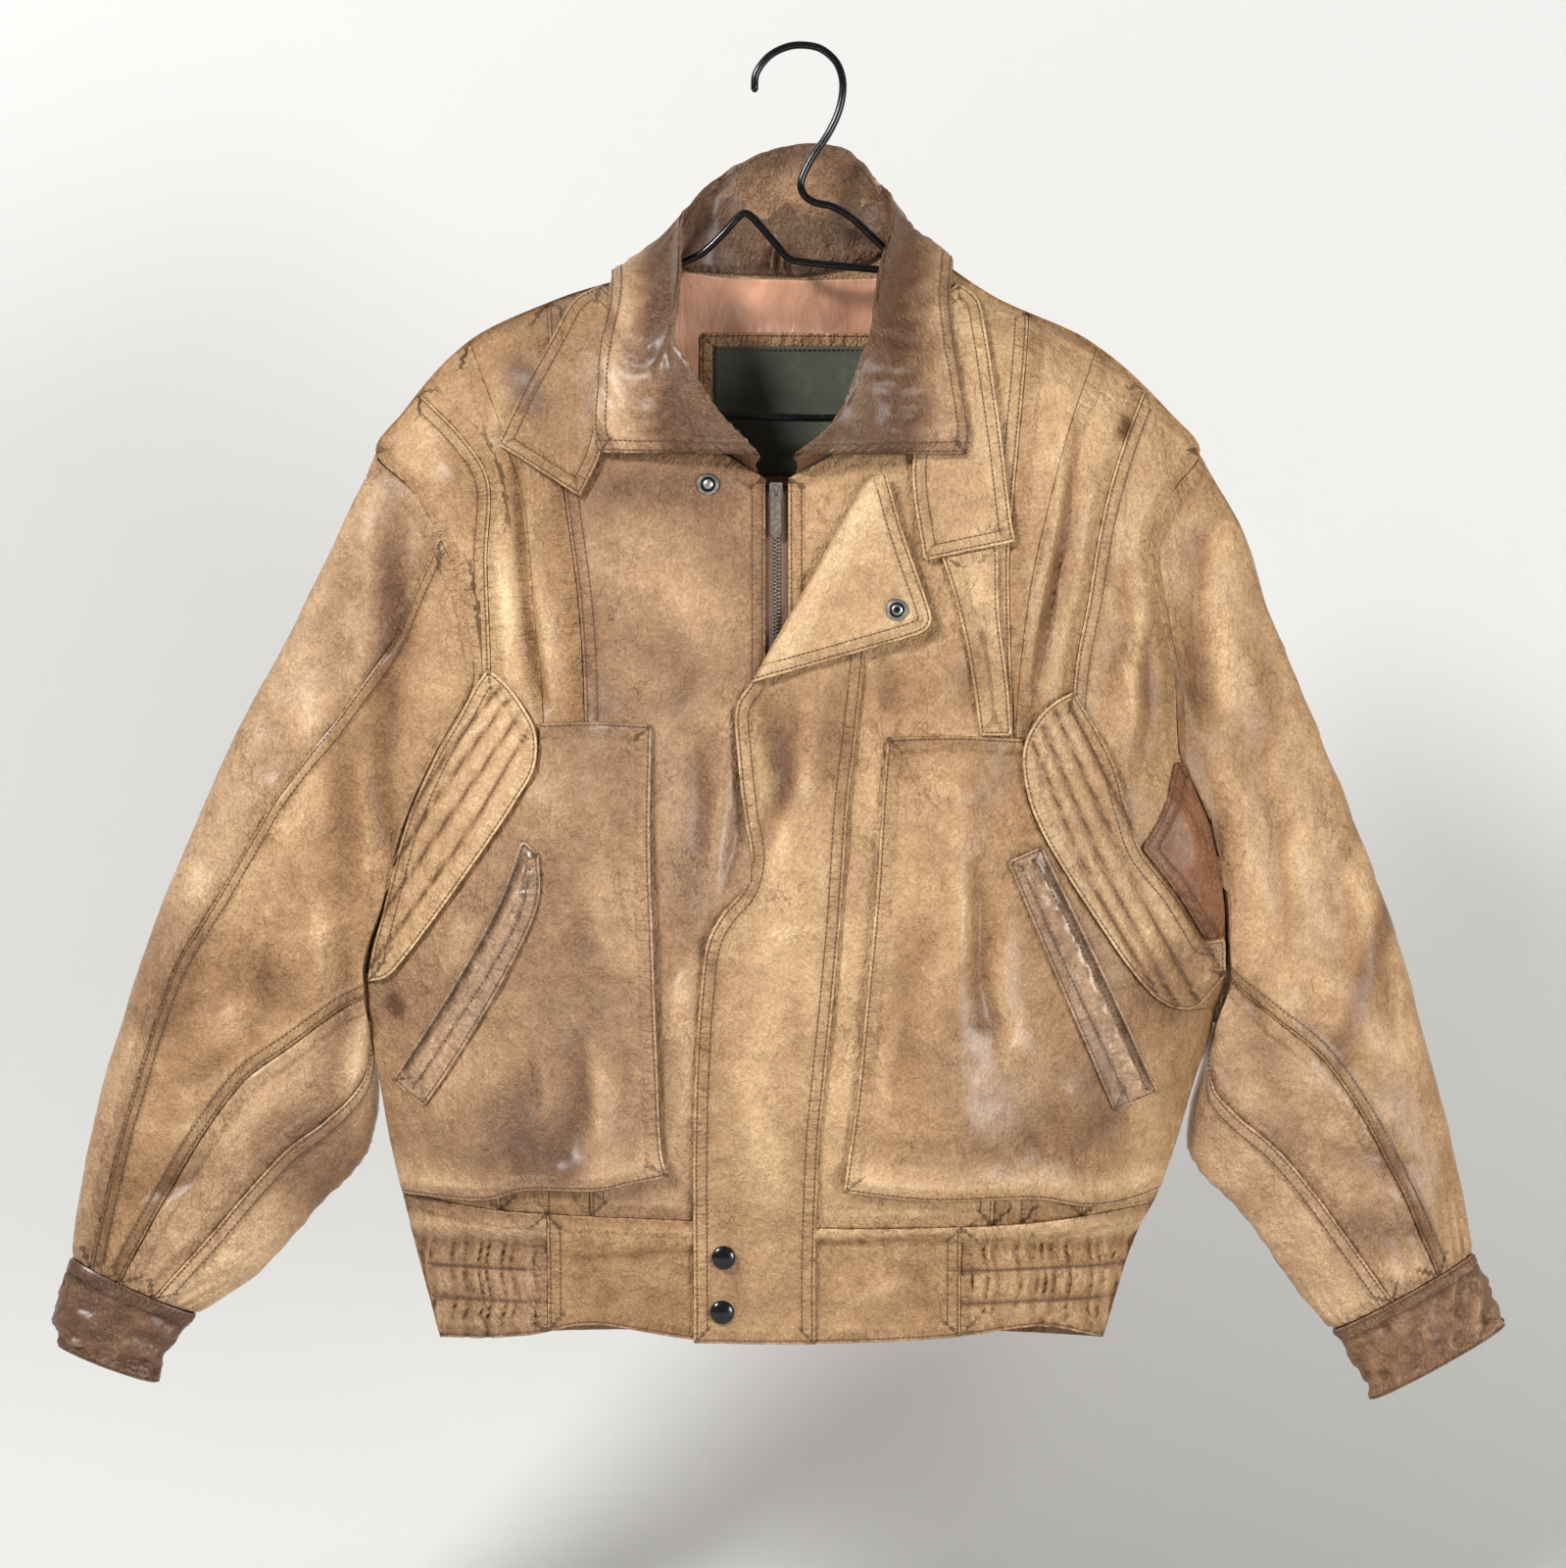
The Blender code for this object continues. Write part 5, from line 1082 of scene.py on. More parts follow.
# The back is less handled: broad fading over the shoulders and soil low down.
BACK_STAINS = (
    (0, -220, 180, 60, 0, 0.35, 0.05), (-150, -380, 90, 90, 20, 0.15, 0.0),
    (120, -460, 110, 90, -20, 0.2, 0.1),
    (0, -600, 160, 70, 0, -0.2, 0.3), (-170, -680, 60, 60, 0, -0.35, 0.2), (160, -690, 60, 50, 0, -0.3, 0.2),
    (-40, -480, 50, 110, 8, 0.1, 0.3), (60, -360, 60, 60, 0, -0.25, 0.1), (-210, -520, 30, 90, 8, -0.4, 0.1),
    (210, -560, 30, 90, -8, -0.4, 0.1), (0, -740, 180, 22, 0, -0.4, 0.1),
)
BACK_CREASES = (
    (-180, -330, -120, -480, 14, 15, 2.4), (-120, -350, -90, -520, 10, 13, -2.2),
    (170, -330, 110, -500, -14, 15, 2.4),
    (120, -350, 84, -520, -10, 12, -2.0), (-30, -360, -44, -600, 8, 18, 1.6),
    (40, -380, 50, -620, -8, 17, -1.7),
    (-200, -560, -120, -720, 12, 15, -2.6), (-150, -600, -70, -735, 8, 14, 2.6),
    (200, -560, 120, -720, -12, 15, -2.6),
    (150, -610, 80, -735, -8, 14, 2.4), (-20, -640, -30, -742, 5, 12, 2.2),
    (30, -650, 40, -742, -4, 12, -2.0),
    (-220, -480, -150, -560, 10, 12, 1.8), (225, -480, 160, -570, -10, 12, 1.8),
    (-90, -190, 80, -196, 8, 10, -1.2),
    (-160, -230, -80, -290, 6, 12, 1.2), (160, -230, 90, -290, -6, 12, 1.2),
    (-60, -430, 60, -446, 10, 12, -1.1),
    (-236, -420, -190, -474, 6, 9, 1.8), (236, -430, 186, -486, -6, 9, 1.8),
    (-100, -560, -60, -700, 8, 9, 1.8),
    (96, -570, 64, -700, -8, 9, -1.8), (-44, -330, -62, -430, 5, 8, -1.7), (64, -330, 54, -440, -5, 8, 1.6),
    (-232, -640, -176, -722, 8, 8, 2.2), (226, -640, 180, -726, -8, 8, 2.2),
    (-190, -248, -134, -304, 7, 8, 1.7),
    (186, -250, 130, -304, -7, 8, 1.7), (-56, -212, -88, -300, 5, 10, 1.3),
    (64, -214, 80, -304, -5, 10, -1.3),
)


def level(tone, shine, spots):
    """A piece's own tone, with the spots that cross it."""
    return ((0, -450, 5000, 5000, 0, tone, shine),) + tuple(spots)


def seam_line(name):
    """A seam of the front, from the shoulder ridge to the waist."""
    side = name[-1]
    stations = list(SEAMS[name])
    waist = WAIST_R if side == "r" else WAIST_L
    top, second = np.array(stations[0], float), np.array(stations[1], float)
    back = top + (top - second) / np.linalg.norm(top - second) * np.linspace(-12, 26, 300)[:, None]
    edge = column("x" + side, back[:, 1])
    out = back[:, 0] < edge if side == "r" else back[:, 0] > edge
    start = back[np.flatnonzero(out)[0]] if out.any() else top
    foot = SEAM_FOOT[name]
    last = (foot, level_at(waist, foot))
    return curve([tuple(start)] + stations[1:] + [last])


def level_at(line, x):
    line = sorted(line)
    return float(np.interp(x, [p[0] for p in line], [p[1] for p in line]))


def between(line, x_from, x_to):
    """The part of a smooth line between two x values, from the first to the second."""
    line = curve(line)
    if (line[-1, 0] - line[0, 0]) * (x_to - x_from) < 0:
        line = line[::-1]
    run = np.linspace(x_from, x_to, max(3, int(abs(x_to - x_from) / 2)))
    order = np.argsort(line[:, 0])
    return np.stack((run, np.interp(run, line[order, 0], line[order, 1])), axis=1)


def front_cuts():
    """The four panels of each front, from the shoulder to the waist."""
    cuts = {}
    for side in "rl":
        yoke, pleat, chest = (seam_line(f"{n}_{side}") for n in ("yoke", "pleat", "chest"))
        waist = WAIST_R if side == "r" else WAIST_L
        edge = curve(EDGE_R if side == "r" else EDGE_L)
        neck = curve(NECK_R if side == "r" else NECK_L)
        side_foot = waist[0] if side == "r" else waist[-1]
        outer = rim_line(side, SHOULDER_Z, side_foot[1])

        def panel(inner, outside, outer_style):
            foot = between(waist, outside[-1, 0], inner[-1, 0])
            top = rim_line(side, inner[0, 1], outside[0, 1])
            return Cut([(outside, outer_style), (foot, "seamed"), (inner[::-1], "seamed"), (top, "seamed")])

        top = np.concatenate((neck[:1], rim_line(side, neck[0, 1] - 1.0, chest[0, 1])))
        cuts["front_centre_" + side] = Cut([
            (chest, "topstitched"), (between(waist, chest[-1, 0], edge[-1, 0]), "seamed"),
            (edge[::-1], "topstitched"), (neck[::-1], "seamed"), (top, "seamed")])
        cuts["front_pleat_" + side] = panel(chest, pleat, "turned")
        cuts["front_princess_" + side] = panel(pleat, yoke, "seamed")
        armhole = [p for p in outer if p[1] > UNDERARM_Z - 10]
        rest = armhole[-1:] + [p for p in outer if p[1] <= UNDERARM_Z - 10]
        foot = between(waist, outer[-1, 0], yoke[-1, 0])
        ridge = rim_line(side, yoke[0, 1], SHOULDER_Z)
        cuts["front_side_" + side] = Cut([
            (np.array(armhole), "seamed"), (np.array(rest), "turned"), (foot, "seamed"),
            (yoke[::-1], "topstitched"), (ridge, "seamed")])
    return cuts


# ---------------------------------------------------------------- forms of the laid pieces

QUILT_R = (((-192, -412), (-226, -455), (-257, -503)), ((-186, -420), (-222, -468), (-262, -527)),
           ((-179, -430), (-220, -489), (-274, -565)), ((-174, -442), (-214, -507), (-277, -592)))
QUILT_L = (((168, -424), (208, -501), (266, -590)), ((159, -428), (203, -524), (253, -616)),
           ((150, -436), (193, -534), (238, -616)), ((144, -448), (182, -537), (224, -606)))


def quilted(lines, raised):
    """Padding between stitched lines; the free edge, side number raised, stands off."""
    drawn = [curve(line) for line in lines]

    def form(at, gaps):
        near = np.min([away_from(at, line)[0] for line in drawn], axis=0)
        channel = 1.3 * (1 - np.exp(-(near / 2.8) ** 2)) - 0.6 * bump_at(near, 0, 0.9)
        across = waves(at, 21, (14, 9, 6), 1.1) * (1 - np.exp(-(near / 4) ** 2))
        return channel + across + 2.0 * np.exp(-gaps[raised][0] / 13)
    return form


def pocket_form(seed):
    """A loose pocket: its inner edge, side 1, stands away, its foot, side 2, blouses over the waist."""
    def form(at, gaps):
        edge, run = gaps[1][0], gaps[1][1]
        share = run / lengths_of(gaps[1])
        open_edge = 3.4 * np.exp(-edge / 10) * (0.35 + 0.65 * np.sin(math.pi * np.clip(share, 0, 1)))
        top, foot = gaps[0][0], gaps[2][0]
        gathered = 0.45 * np.sin(gaps[0][1] * 1.5 + np.sin(gaps[0][1] * 0.5) * 1.6) * np.exp(-top / 9)
        gathered *= soft_step(top, 2, 5)
        overhang = 4.2 * np.exp(-((foot - 8) / 11) ** 2)
        return open_edge + gathered + overhang + waves(at, seed, (60, 26, 12), 0.6)
    return form


def lengths_of(gap):
    return max(float(gap[1].max()), 1.0)


def slit_share(gap):
    """How far points lie in a pocket's slit, from their distance to its mouth and their place along it."""
    ends = soft_step(gap[1], 4, 14) * soft_step(lengths_of(gap) - gap[1], 4, 14)
    return ends * bump_at(gap[0], 3.8, 1.3)


def welt_form(mouth):
    """A padded welt: cross puckers, rows of stitches, and the slit of the pocket beside side mouth."""
    def form(at, gaps):
        slit, run = gaps[mouth][0], gaps[mouth][1]
        uneven = np.sin(run * 1.1 + 2.2 * np.sin(run * 0.31) + slit * 0.35)
        pad = 1.5 * bump_at(slit, 9.5, 4.6) + 0.6 * bump_at(slit, 17, 3)
        return (pad + 1.1 * uneven * bump_at(slit, 12, 6.5) - 2.4 * slit_share(gaps[mouth])
                + 0.5 * np.exp(-slit / 1.6))
    return form


FLAP_CREASES = (
    (-2, -418, -37, -548, 5, 6.5, -5.6), (10, -405, -22, -548, 5, 9, 3.4), (26, -400, -2, -500, 6, 7, -1.8),
    (40, -430, 8, -548, 8, 9, 1.8), (2, -560, -46, -600, -5, 9, 1.8), (-6, -560, 14, -680, 6, 11, 1.8),
    (-30, -600, -20, -760, -6, 12, 1.8), (-12, -600, -4, -740, 4, 9, -1.8),
    (-34, -690, -14, -720, 4, 7, 1.4), (-20, -610, 12, -616, 3, 6, -1.2),
)
BAND_CREASES = (
    (-150, -770, -120, -812, 5, 8, -1.6), (-118, -764, -80, -800, -5, 9, 1.5),
    (-104, -790, -70, -814, 3, 6, -1.3),
    (-60, -770, -34, -812, 3, 8, 1.2), (24, -764, 60, -800, 5, 9, 1.4), (66, -770, 92, -812, -4, 8, -1.5),
    (34, -806, 74, -790, 3, 7, 1.2), (-140, -816, -110, -770, 4, 7, 1.4),
)


def flap_form(at, gaps):
    """The flap swings out in a slow wave below its turned corner, with one deep slanting fold."""
    free = gaps[0][0]
    fold = crease_relief(at, FLAP_CREASES)
    wave = 5.0 * bump_at(at[:, 1], -478, 44) * np.exp(-free / 15)
    swing = 3.6 * bump_at(at[:, 1], -572, 20) * np.exp(-free / 14)
    dip = -2.4 * bump_at(at[:, 1], -534, 14) * np.exp(-free / 10)
    low = 1.2 * bump_at(at[:, 1], -760, 50) * np.exp(-free / 16)
    return fold + wave + swing + dip + low + waves(at, 31, (46, 20), 0.5)


def turned_form(at, gaps):
    """The corner folded back: a round loop along the fold, side 0, and a lifted tip."""
    fold = gaps[0][0]
    round_off = 1 - np.sqrt(np.clip(1 - (1 - np.clip(fold / 4, 0, 1)) ** 2, 0, 1))
    loop = 2.6 * bump_at(fold, 9, 9) - 3.4 * round_off
    tip = 2.4 * np.exp(-np.hypot(at[:, 0] - 80, at[:, 1] + 374) / 16)
    return loop + tip + waves(at, 37, (50, 22), 0.7)


def lifted(side, height, reach, seed):
    def form(at, gaps):
        return height * np.exp(-gaps[side][0] / reach) + waves(at, seed, (40, 18), 0.5)
    return form


ELASTIC_ROWS = (-782, -803)


def pinched(z, top):
    """1 where elastic lets the cloth stand, less along its rows of stitches and at the top."""
    pinch = np.ones(len(z))
    for row in ELASTIC_ROWS:
        pinch -= 0.7 * bump_at(z, row, 3.2)
    return pinch * (0.35 + 0.65 * soft_step(top - z, -1, 5))


def elastic_form(sign):
    """Cloth gathered by elastic: uneven upright ripples pinched by rows of stitches, puffed at the top."""
    def form(at, gaps):
        x, z = at[:, 0] + 1.6 * np.sin(at[:, 1] * 0.16 + sign), at[:, 1]
        phase = x / 9.0 + 0.3 * np.sin(x * 0.13 + sign) + 0.2 * np.sin(x * 0.37)
        ripple = np.abs(np.sin(math.pi * phase)) ** 0.7 - 0.6
        small = 0.5 * np.sin(x * 1.3 + 1.7 * np.sin(z * 0.22) + sign)
        body = (ripple * 4.2 + small) * pinched(z, -764) * soft_step(gaps[1][0], 1, 8)
        puff = 4.2 * bump_at(z, -756, 8) - 1.6 * bump_at(z, -768, 4) + 0.9 * bump_at(z, -792, 9)
        return body + puff + 0.8 * bump_at(z, -816, 9)
    return form


def back_elastic(at, gaps):
    """The same across the back, in wider ripples."""
    x, z = at[:, 0] + 1.6 * np.sin(at[:, 1] * 0.16), at[:, 1]
    phase = x / 9.4 + 0.5 * np.sin(x * 0.11) + 0.24 * np.sin(x * 0.41)
    ripple = np.abs(np.sin(math.pi * phase)) ** 0.7 - 0.6
    return ripple * 3.8 * pinched(z, -762) + 4.0 * bump_at(z, -757, 7) - 1.4 * bump_at(z, -768, 4)


def plain_band_form(at, gaps):
    x, z = at[:, 0], at[:, 1]
    soft = crease_relief(at, BAND_CREASES)
    seam_tuck = -1.8 * bump_at(z, -766 + 0.06 * x, 2.6) + 2.6 * bump_at(z, -758, 5)
    puckers = 0.5 * np.sin(x * 0.75 + np.sin(x * 0.21) * 2) * bump_at(z, -764, 9)
    return soft + seam_tuck + puckers + waves(at, 41, (30, 14), 0.6)


def drawn(*pairs):
    """Sides of a cut: smooth lines with their styles."""
    return [(curve(line), style) for line, style in pairs]


def laid_cuts():
    """Every piece sewn over the front, from the bottom layer up, with the layer of its outer face."""
    one = bpy.context.scene.blouson_sizes.layer / MM
    outlines = {
        "pocket_panel_r": (PANEL_R_TOP, PANEL_R_INNER, PANEL_R_FOOT, PANEL_R_SIDE, PANEL_R_LEAF),
        "pocket_panel_l": (PANEL_L_TOP, PANEL_L_INNER, PANEL_L_FOOT, PANEL_L_SIDE, PANEL_L_LEAF),
        "leaf_r": (LEAF_R_OUTER, LEAF_R_BULGE), "leaf_l": (LEAF_L_OUTER, LEAF_L_BULGE),
        "gusset_l": (GUSSET_L_EDGE, GUSSET_L_ARM),
        "welt_r": (WELT_R_MOUTH, WELT_R_HEAD, WELT_R_LONG, WELT_R_FOOT),
        "welt_l": (WELT_L_MOUTH, WELT_L_HEAD, WELT_L_LONG, WELT_L_FOOT),
        "under_collar_r": (LOWER_R,), "under_collar_l": (LOWER_L,), "collar_strap": (STRAP,),
    }
    panel = ("single", "single", "piped", "turned", "hidden")
    leaf, welt = ("topstitched", "single"), ("single",) * 4
    kinds = {
        "pocket_panel_r": (panel, one, dict(form=pocket_form(51))),
        "pocket_panel_l": (panel, one, dict(form=pocket_form(52))),
        "leaf_r": (leaf, one + 0.8, dict(form=quilted(QUILT_R, 1), step=2.4)),
        "leaf_l": (leaf, one + 0.8, dict(form=quilted(QUILT_L, 1), step=2.4)),
        "gusset_l": (("laid", "turned"), one + 0.4, dict(form=lifted(1, 0.0, 9.0, 61))),
        "welt_r": (welt, 2 * one, dict(form=welt_form(0), step=1.8, slit=0)),
        "welt_l": (welt, 2 * one, dict(form=welt_form(0), step=1.8, slit=0)),
        "under_collar_r": (("laid",), one + 0.6, dict(form=lifted(0, 1.8, 9.0, 71))),
        "under_collar_l": (("laid",), one + 0.6, dict(form=lifted(0, 1.8, 9.0, 72))),
        "collar_strap": (("single",), one + 0.3, dict(form=lifted(0, 0.6, 8.0, 73))),
    }
    return {name: Cut(drawn(*zip(outlines[name], styles)), near, **more)
            for name, (styles, near, more) in kinds.items()}


def flap_cuts():
    """The storm flap, and its top corner turned back over it."""
    one = bpy.context.scene.blouson_sizes.layer / MM
    main = Cut(drawn((FLAP_FREE, "laid"), (FLAP_HEM, "single"), (FLAP_SEAM, "laid"), (FLAP_FOLD, "turned")),
               one, form=flap_form, step=2.8)
    corner = Cut(drawn((FLAP_FOLD, "turned"), (TURN_EDGE, "laid"), (TURN_TOP, "turned")), 2 * one + 1.4,
                 form=turned_form, step=2.8)
    return main, corner


# ---------------------------------------------------------------- lofted pieces


def smooth_rows(table, columns, count):
    """Columns of a table at evenly numbered stations along it, without overshoot."""
    at = np.linspace(0, len(table) - 1, count)
    index = np.arange(len(table))
    return {name: steady(at, index, [row[k] for row in table]) for k, name in enumerate(columns)}


def grid_normals(grid, closed):
    """Unit normals of a grid of points; a closed one joins its last column to its first."""
    down = np.gradient(grid, axis=0)
    if closed:
        across = np.roll(grid, -1, axis=1) - np.roll(grid, 1, axis=1)
    else:
        across = np.gradient(grid, axis=1)
    normal = np.cross(across, down)
    return normal / np.maximum(np.linalg.norm(normal, axis=2, keepdims=True), 1e-9)


def run_across(grid):
    """Distance across each row of a grid from its first point."""
    gaps = np.linalg.norm(np.diff(grid, axis=1), axis=2)
    return np.concatenate((np.zeros((len(grid), 1)), np.cumsum(gaps, axis=1)), axis=1)


def run_down(grid):
    return run_across(grid.transpose(1, 0, 2)).T


def lowest_near(values, reach, closed):
    """The least value within a few cells of each cell of a grid, and never above zero."""
    found = np.minimum(values, 0)
    for axis in (0, 1):
        lowest = found.copy()
        for shift in range(-reach, reach + 1):
            moved = np.roll(found, shift, axis)
            if axis == 0 or not closed:
                edge = [slice(None), slice(None)]
                edge[axis] = slice(0, shift) if shift > 0 else slice(shift or None, None)
                if shift:
                    moved[tuple(edge)] = 0
            lowest = np.minimum(lowest, moved)
        found = lowest
    return found


class Loft:
    """A sheet over a grid of points, from the first row to the last; left, right, top and foot are its
    edge styles."""

    def __init__(self, grid, left="seamed", right="seamed", top="seamed", foot="seamed", closed=False):
        self.grid, self.closed = grid, closed
        self.normals = grid_normals(grid, closed)
        self.across, self.down = run_across(grid), run_down(grid)
        self.edges = []
        if not closed:
            self.edges += [("left", left, self.across, self.down),
                           ("right", right, self.across[:, -1:] - self.across, self.down)]
        self.edges += [("top", top, self.down, self.across),
                       ("foot", foot, self.down[-1:] - self.down, self.across)]

    def face(self, form=None):
        out = np.zeros(self.grid.shape[:2])
        for _, style, dist, _ in self.edges:
            if style != "hidden":
                out += edge_relief(dist.ravel(), style).reshape(out.shape)
        if form is not None:
            out += form(self.grid, self.across, self.down)
        return self.grid + self.normals * out[..., None]

    def facts(self):
        best, run = np.full(self.grid.shape[:2], NO_SEAM), np.zeros(self.grid.shape[:2])
        sewn = np.zeros(best.shape)
        for _, style, dist, along in self.edges:
            if style in ("hidden", "turned"):
                continue
            closer = dist < best
            best, run = np.where(closer, dist, best), np.where(closer, along, run)
            sewn = np.where(closer, len(EDGES[style]["rows"]), sewn)
        return best, run, sewn

    def build(self, name, wall=2.0, form=None, skip=4, tone=None, shine=None):
        """The sheet with its inner face on every few rows and columns."""
        face = self.face(form)
        rows, cols = face.shape[:2]
        relief = form(self.grid, self.across, self.down) if form else np.zeros((rows, cols))
        under = self.grid + self.normals * (lowest_near(relief, skip, self.closed) - wall)[..., None]
        keep_r = sorted({*range(0, rows, skip), rows - 1})
        keep_c = sorted({*range(0, cols, skip)} | (set() if self.closed else {cols - 1}))
        place = {}
        points = [face.reshape(-1, 3)]
        for n, (i, j) in enumerate((i, j) for i in keep_r for j in keep_c):
            place[i, j] = rows * cols + n
        points.append(under[np.ix_(keep_r, keep_c)].reshape(-1, 3))
        faces = []
        for i in range(rows - 1):
            for j in range(cols if self.closed else cols - 1):
                m = (j + 1) % cols
                faces.append((i * cols + j, i * cols + m, (i + 1) * cols + m, (i + 1) * cols + j))
        pairs_c = list(zip(keep_c, keep_c[1:])) + ([(keep_c[-1], keep_c[0])] if self.closed else [])
        for a, b in zip(keep_r, keep_r[1:]):
            for c, d in pairs_c:
                faces.append((place[a, c], place[b, c], place[b, d], place[a, d]))
        for c, d in pairs_c:
            span = list(range(c, d + 1)) if d > c else list(range(c, cols)) + [0]
            faces.append((*[j for j in reversed(span)], place[0, c], place[0, d]))
            last = (rows - 1) * cols
            faces.append((*[last + j for j in span], place[rows - 1, d], place[rows - 1, c]))
        if not self.closed:
            for a, b in zip(keep_r, keep_r[1:]):
                span = range(a, b + 1)
                faces.append((*[i * cols for i in span], place[b, 0], place[a, 0]))
                faces.append((*[i * cols + cols - 1 for i in reversed(span)], place[a, cols - 1],
                              place[b, cols - 1]))
        seam, run, sewn = self.facts()
        more = len(points[1])
        fill = lambda values, rest: np.concatenate((values.ravel(), np.full(more, rest)))
        both = lambda values: np.concatenate((values.ravel(), values[np.ix_(keep_r, keep_c)].ravel()))
        # tone follows the relief: wear, with painted light on the ridges and painted shade in the hollows
        tone = worn_and_shaded(relief) + (0 if tone is None else tone)
        shine = np.zeros((rows, cols)) if shine is None else shine
        facts = {"seam": fill(seam, NO_SEAM), "run": fill(run, 0.0), "sewn": fill(sewn, 0.0),
                 "tone": both(tone), "shine": both(shine)}
        obj = cloth(name, np.concatenate(points), faces, facts)
        quads = face[1:, 1:] - face[:-1, :-1], face[1:, :-1] - face[:-1, 1:]
        obj["outer"] = float(0.5 * np.linalg.norm(np.cross(*quads), axis=2).sum() * 1e-6)
        return obj

    def rows(self, form=None):
        """Rows of stitches beside the edges, on the finished face."""
        face = self.face(form)
        found = []
        for side, style, dist, _ in self.edges:
            for distance in EDGES[style]["rows"]:
                found.append(row_beside(face, side, distance))
        return [row for row in found if len(row) > 3]


def row_beside(face, side, distance):
    """A line on a grid at a distance from one of its edges."""
    if side in ("top", "foot"):
        face = face.transpose(1, 0, 2)
    if side in ("right", "foot"):
        face = face[:, ::-1]
    run = run_across(face)
    found = []
    for points, at in zip(face, run):
        if at[-1] > distance * 1.6:
            found.append([np.interp(distance, at, points[:, k]) for k in range(3)])
    return spaced(np.array(found), 1.8) if len(found) > 3 else np.zeros((0, 3))


# Sleeves, one row per section from armhole to cuff: fold point, inner point, half depth, and the share
# of the front at which the main seam and the wedge seam cross.
SLEEVE_COLUMNS = ("ox", "oz", "ix", "iz", "y", "half", "main", "wedge", "outer", "follow")
SLEEVE_R = (
    (-276.5, -259.5, -278.6, -628, 0, 26, 0.9133, 0.965, 0.16, 1),
    (-305, -322, -275.2, -655, 2, 26, 0.84, 0.95, 0.15, 1),
    (-336, -385, -274.5, -682, 4, 27, 0.76, 0.92, 0.15, 0.7),
    (-366, -440, -279, -706, 5, 28, 0.68, 0.88, 0.15, 0.4),
    (-396, -508, -291, -726, 5, 28, 0.61, 0.84, 0.15, 0.2),
    (-422, -572, -309, -744, 4, 27, 0.55, 0.80, 0.15, 0),
    (-444, -640, -330, -768, 4, 25, 0.50, 0.76, 0.16, 0),
    (-461, -705, -352, -791, 3, 23, 0.46, 0.72, 0.17, 0),
    (-473, -779, -390, -817, 2, 19, 0.42, 0.68, 0.18, 0),
)
SLEEVE_L = (
    (257.5, -259.5, 264.6, -628, 0, 26, 0.87, 0.955, -0.10, 1),
    (285, -312, 259.5, -650, 2, 26, 0.80, 0.93, -0.10, 1),
    (306, -373, 250.5, -682, 4, 27, 0.71, 0.90, -0.10, 0.7),
    (334, -440, 248, -706, 5, 28, 0.62, 0.86, -0.10, 0.4),
    (360, -506, 256, -724, 5, 28, 0.54, 0.82, -0.10, 0.2),
    (385, -576, 276, -744, 4, 27, 0.46, 0.77, -0.10, 0),
    (404, -646, 296, -768, 4, 25, 0.39, 0.72, -0.10, 0),
    (421, -712, 314, -795, 3, 23, 0.33, 0.66, -0.10, 0),
    (434, -776, 341, -827, 2, 19, 0.28, 0.60, -0.10, 0),
)
SLEEVE_BACK_SEAM = -0.86
SLEEVE_CLEAR = 2.0        # gap to the body, kept down to this height
SLEEVE_FREE = -700
SLEEVE_ROWS = 150
SLEEVE_STEPS = {"back": 84, "main": 80, "wedge": 30, "under": 40}
SLEEVE_DEPTH = 1.4
CUFF_COLUMNS = ("ox", "oz", "ix", "iz", "y", "half")
CUFF_R = ((-472.7, -779.6, -390.9, -817.2, 2, 18), (-484, -818, -412, -846, 2, 18),
          (-479, -838, -417, -861, 2, 16))
CUFF_L = ((433.6, -776.7, 341.4, -827.5, 2, 18), (448, -809, 359, -854, 2, 18),
          (453, -825, 368, -872, 2, 16))

# Creases of the sleeves, as on the body: the long valleys of each sleeve and the folds towards its cuff.
SLEEVE_CREASES_R = (
    (-262, -292, -268, -400, 4, 7, -3.4), (-280, -300, -286, -420, 5, 9, 3.0),
    (-296, -310, -306, -420, 5, 8, -1.8),
    (-264, -400, -258, -540, -5, 7, -3.6), (-274, -430, -276, -560, -5, 8, 2.4),
    (-300, -420, -296, -560, 6, 10, -2.2),
    (-318, -400, -322, -520, 6, 12, 2.2), (-340, -470, -350, -600, 8, 11, 2.0),
    (-292, -560, -306, -680, 6, 9, -3.0),
    (-310, -540, -326, -650, 6, 9, 2.8), (-330, -560, -350, -660, -6, 8, -2.4),
    (-276, -600, -300, -690, 5, 8, 2.2),
    (-352, -600, -388, -640, 6, 9, 2.0), (-360, -640, -420, -670, 8, 8, -2.4),
    (-330, -660, -400, -712, 8, 10, 2.4),
    (-360, -680, -440, -700, 6, 9, 1.8), (-372, -712, -446, -742, 7, 7, -2.2),
    (-390, -730, -450, -770, 5, 8, 1.8),
    (-378, -760, -430, -800, 4, 6, -1.6), (-392, -520, -404, -600, 4, 9, 1.4),
    (-380, -560, -396, -640, -4, 7, -1.6),
    (-350, -420, -330, -470, 4, 9, -1.4), (-318, -350, -294, -380, 4, 8, 1.2),
)
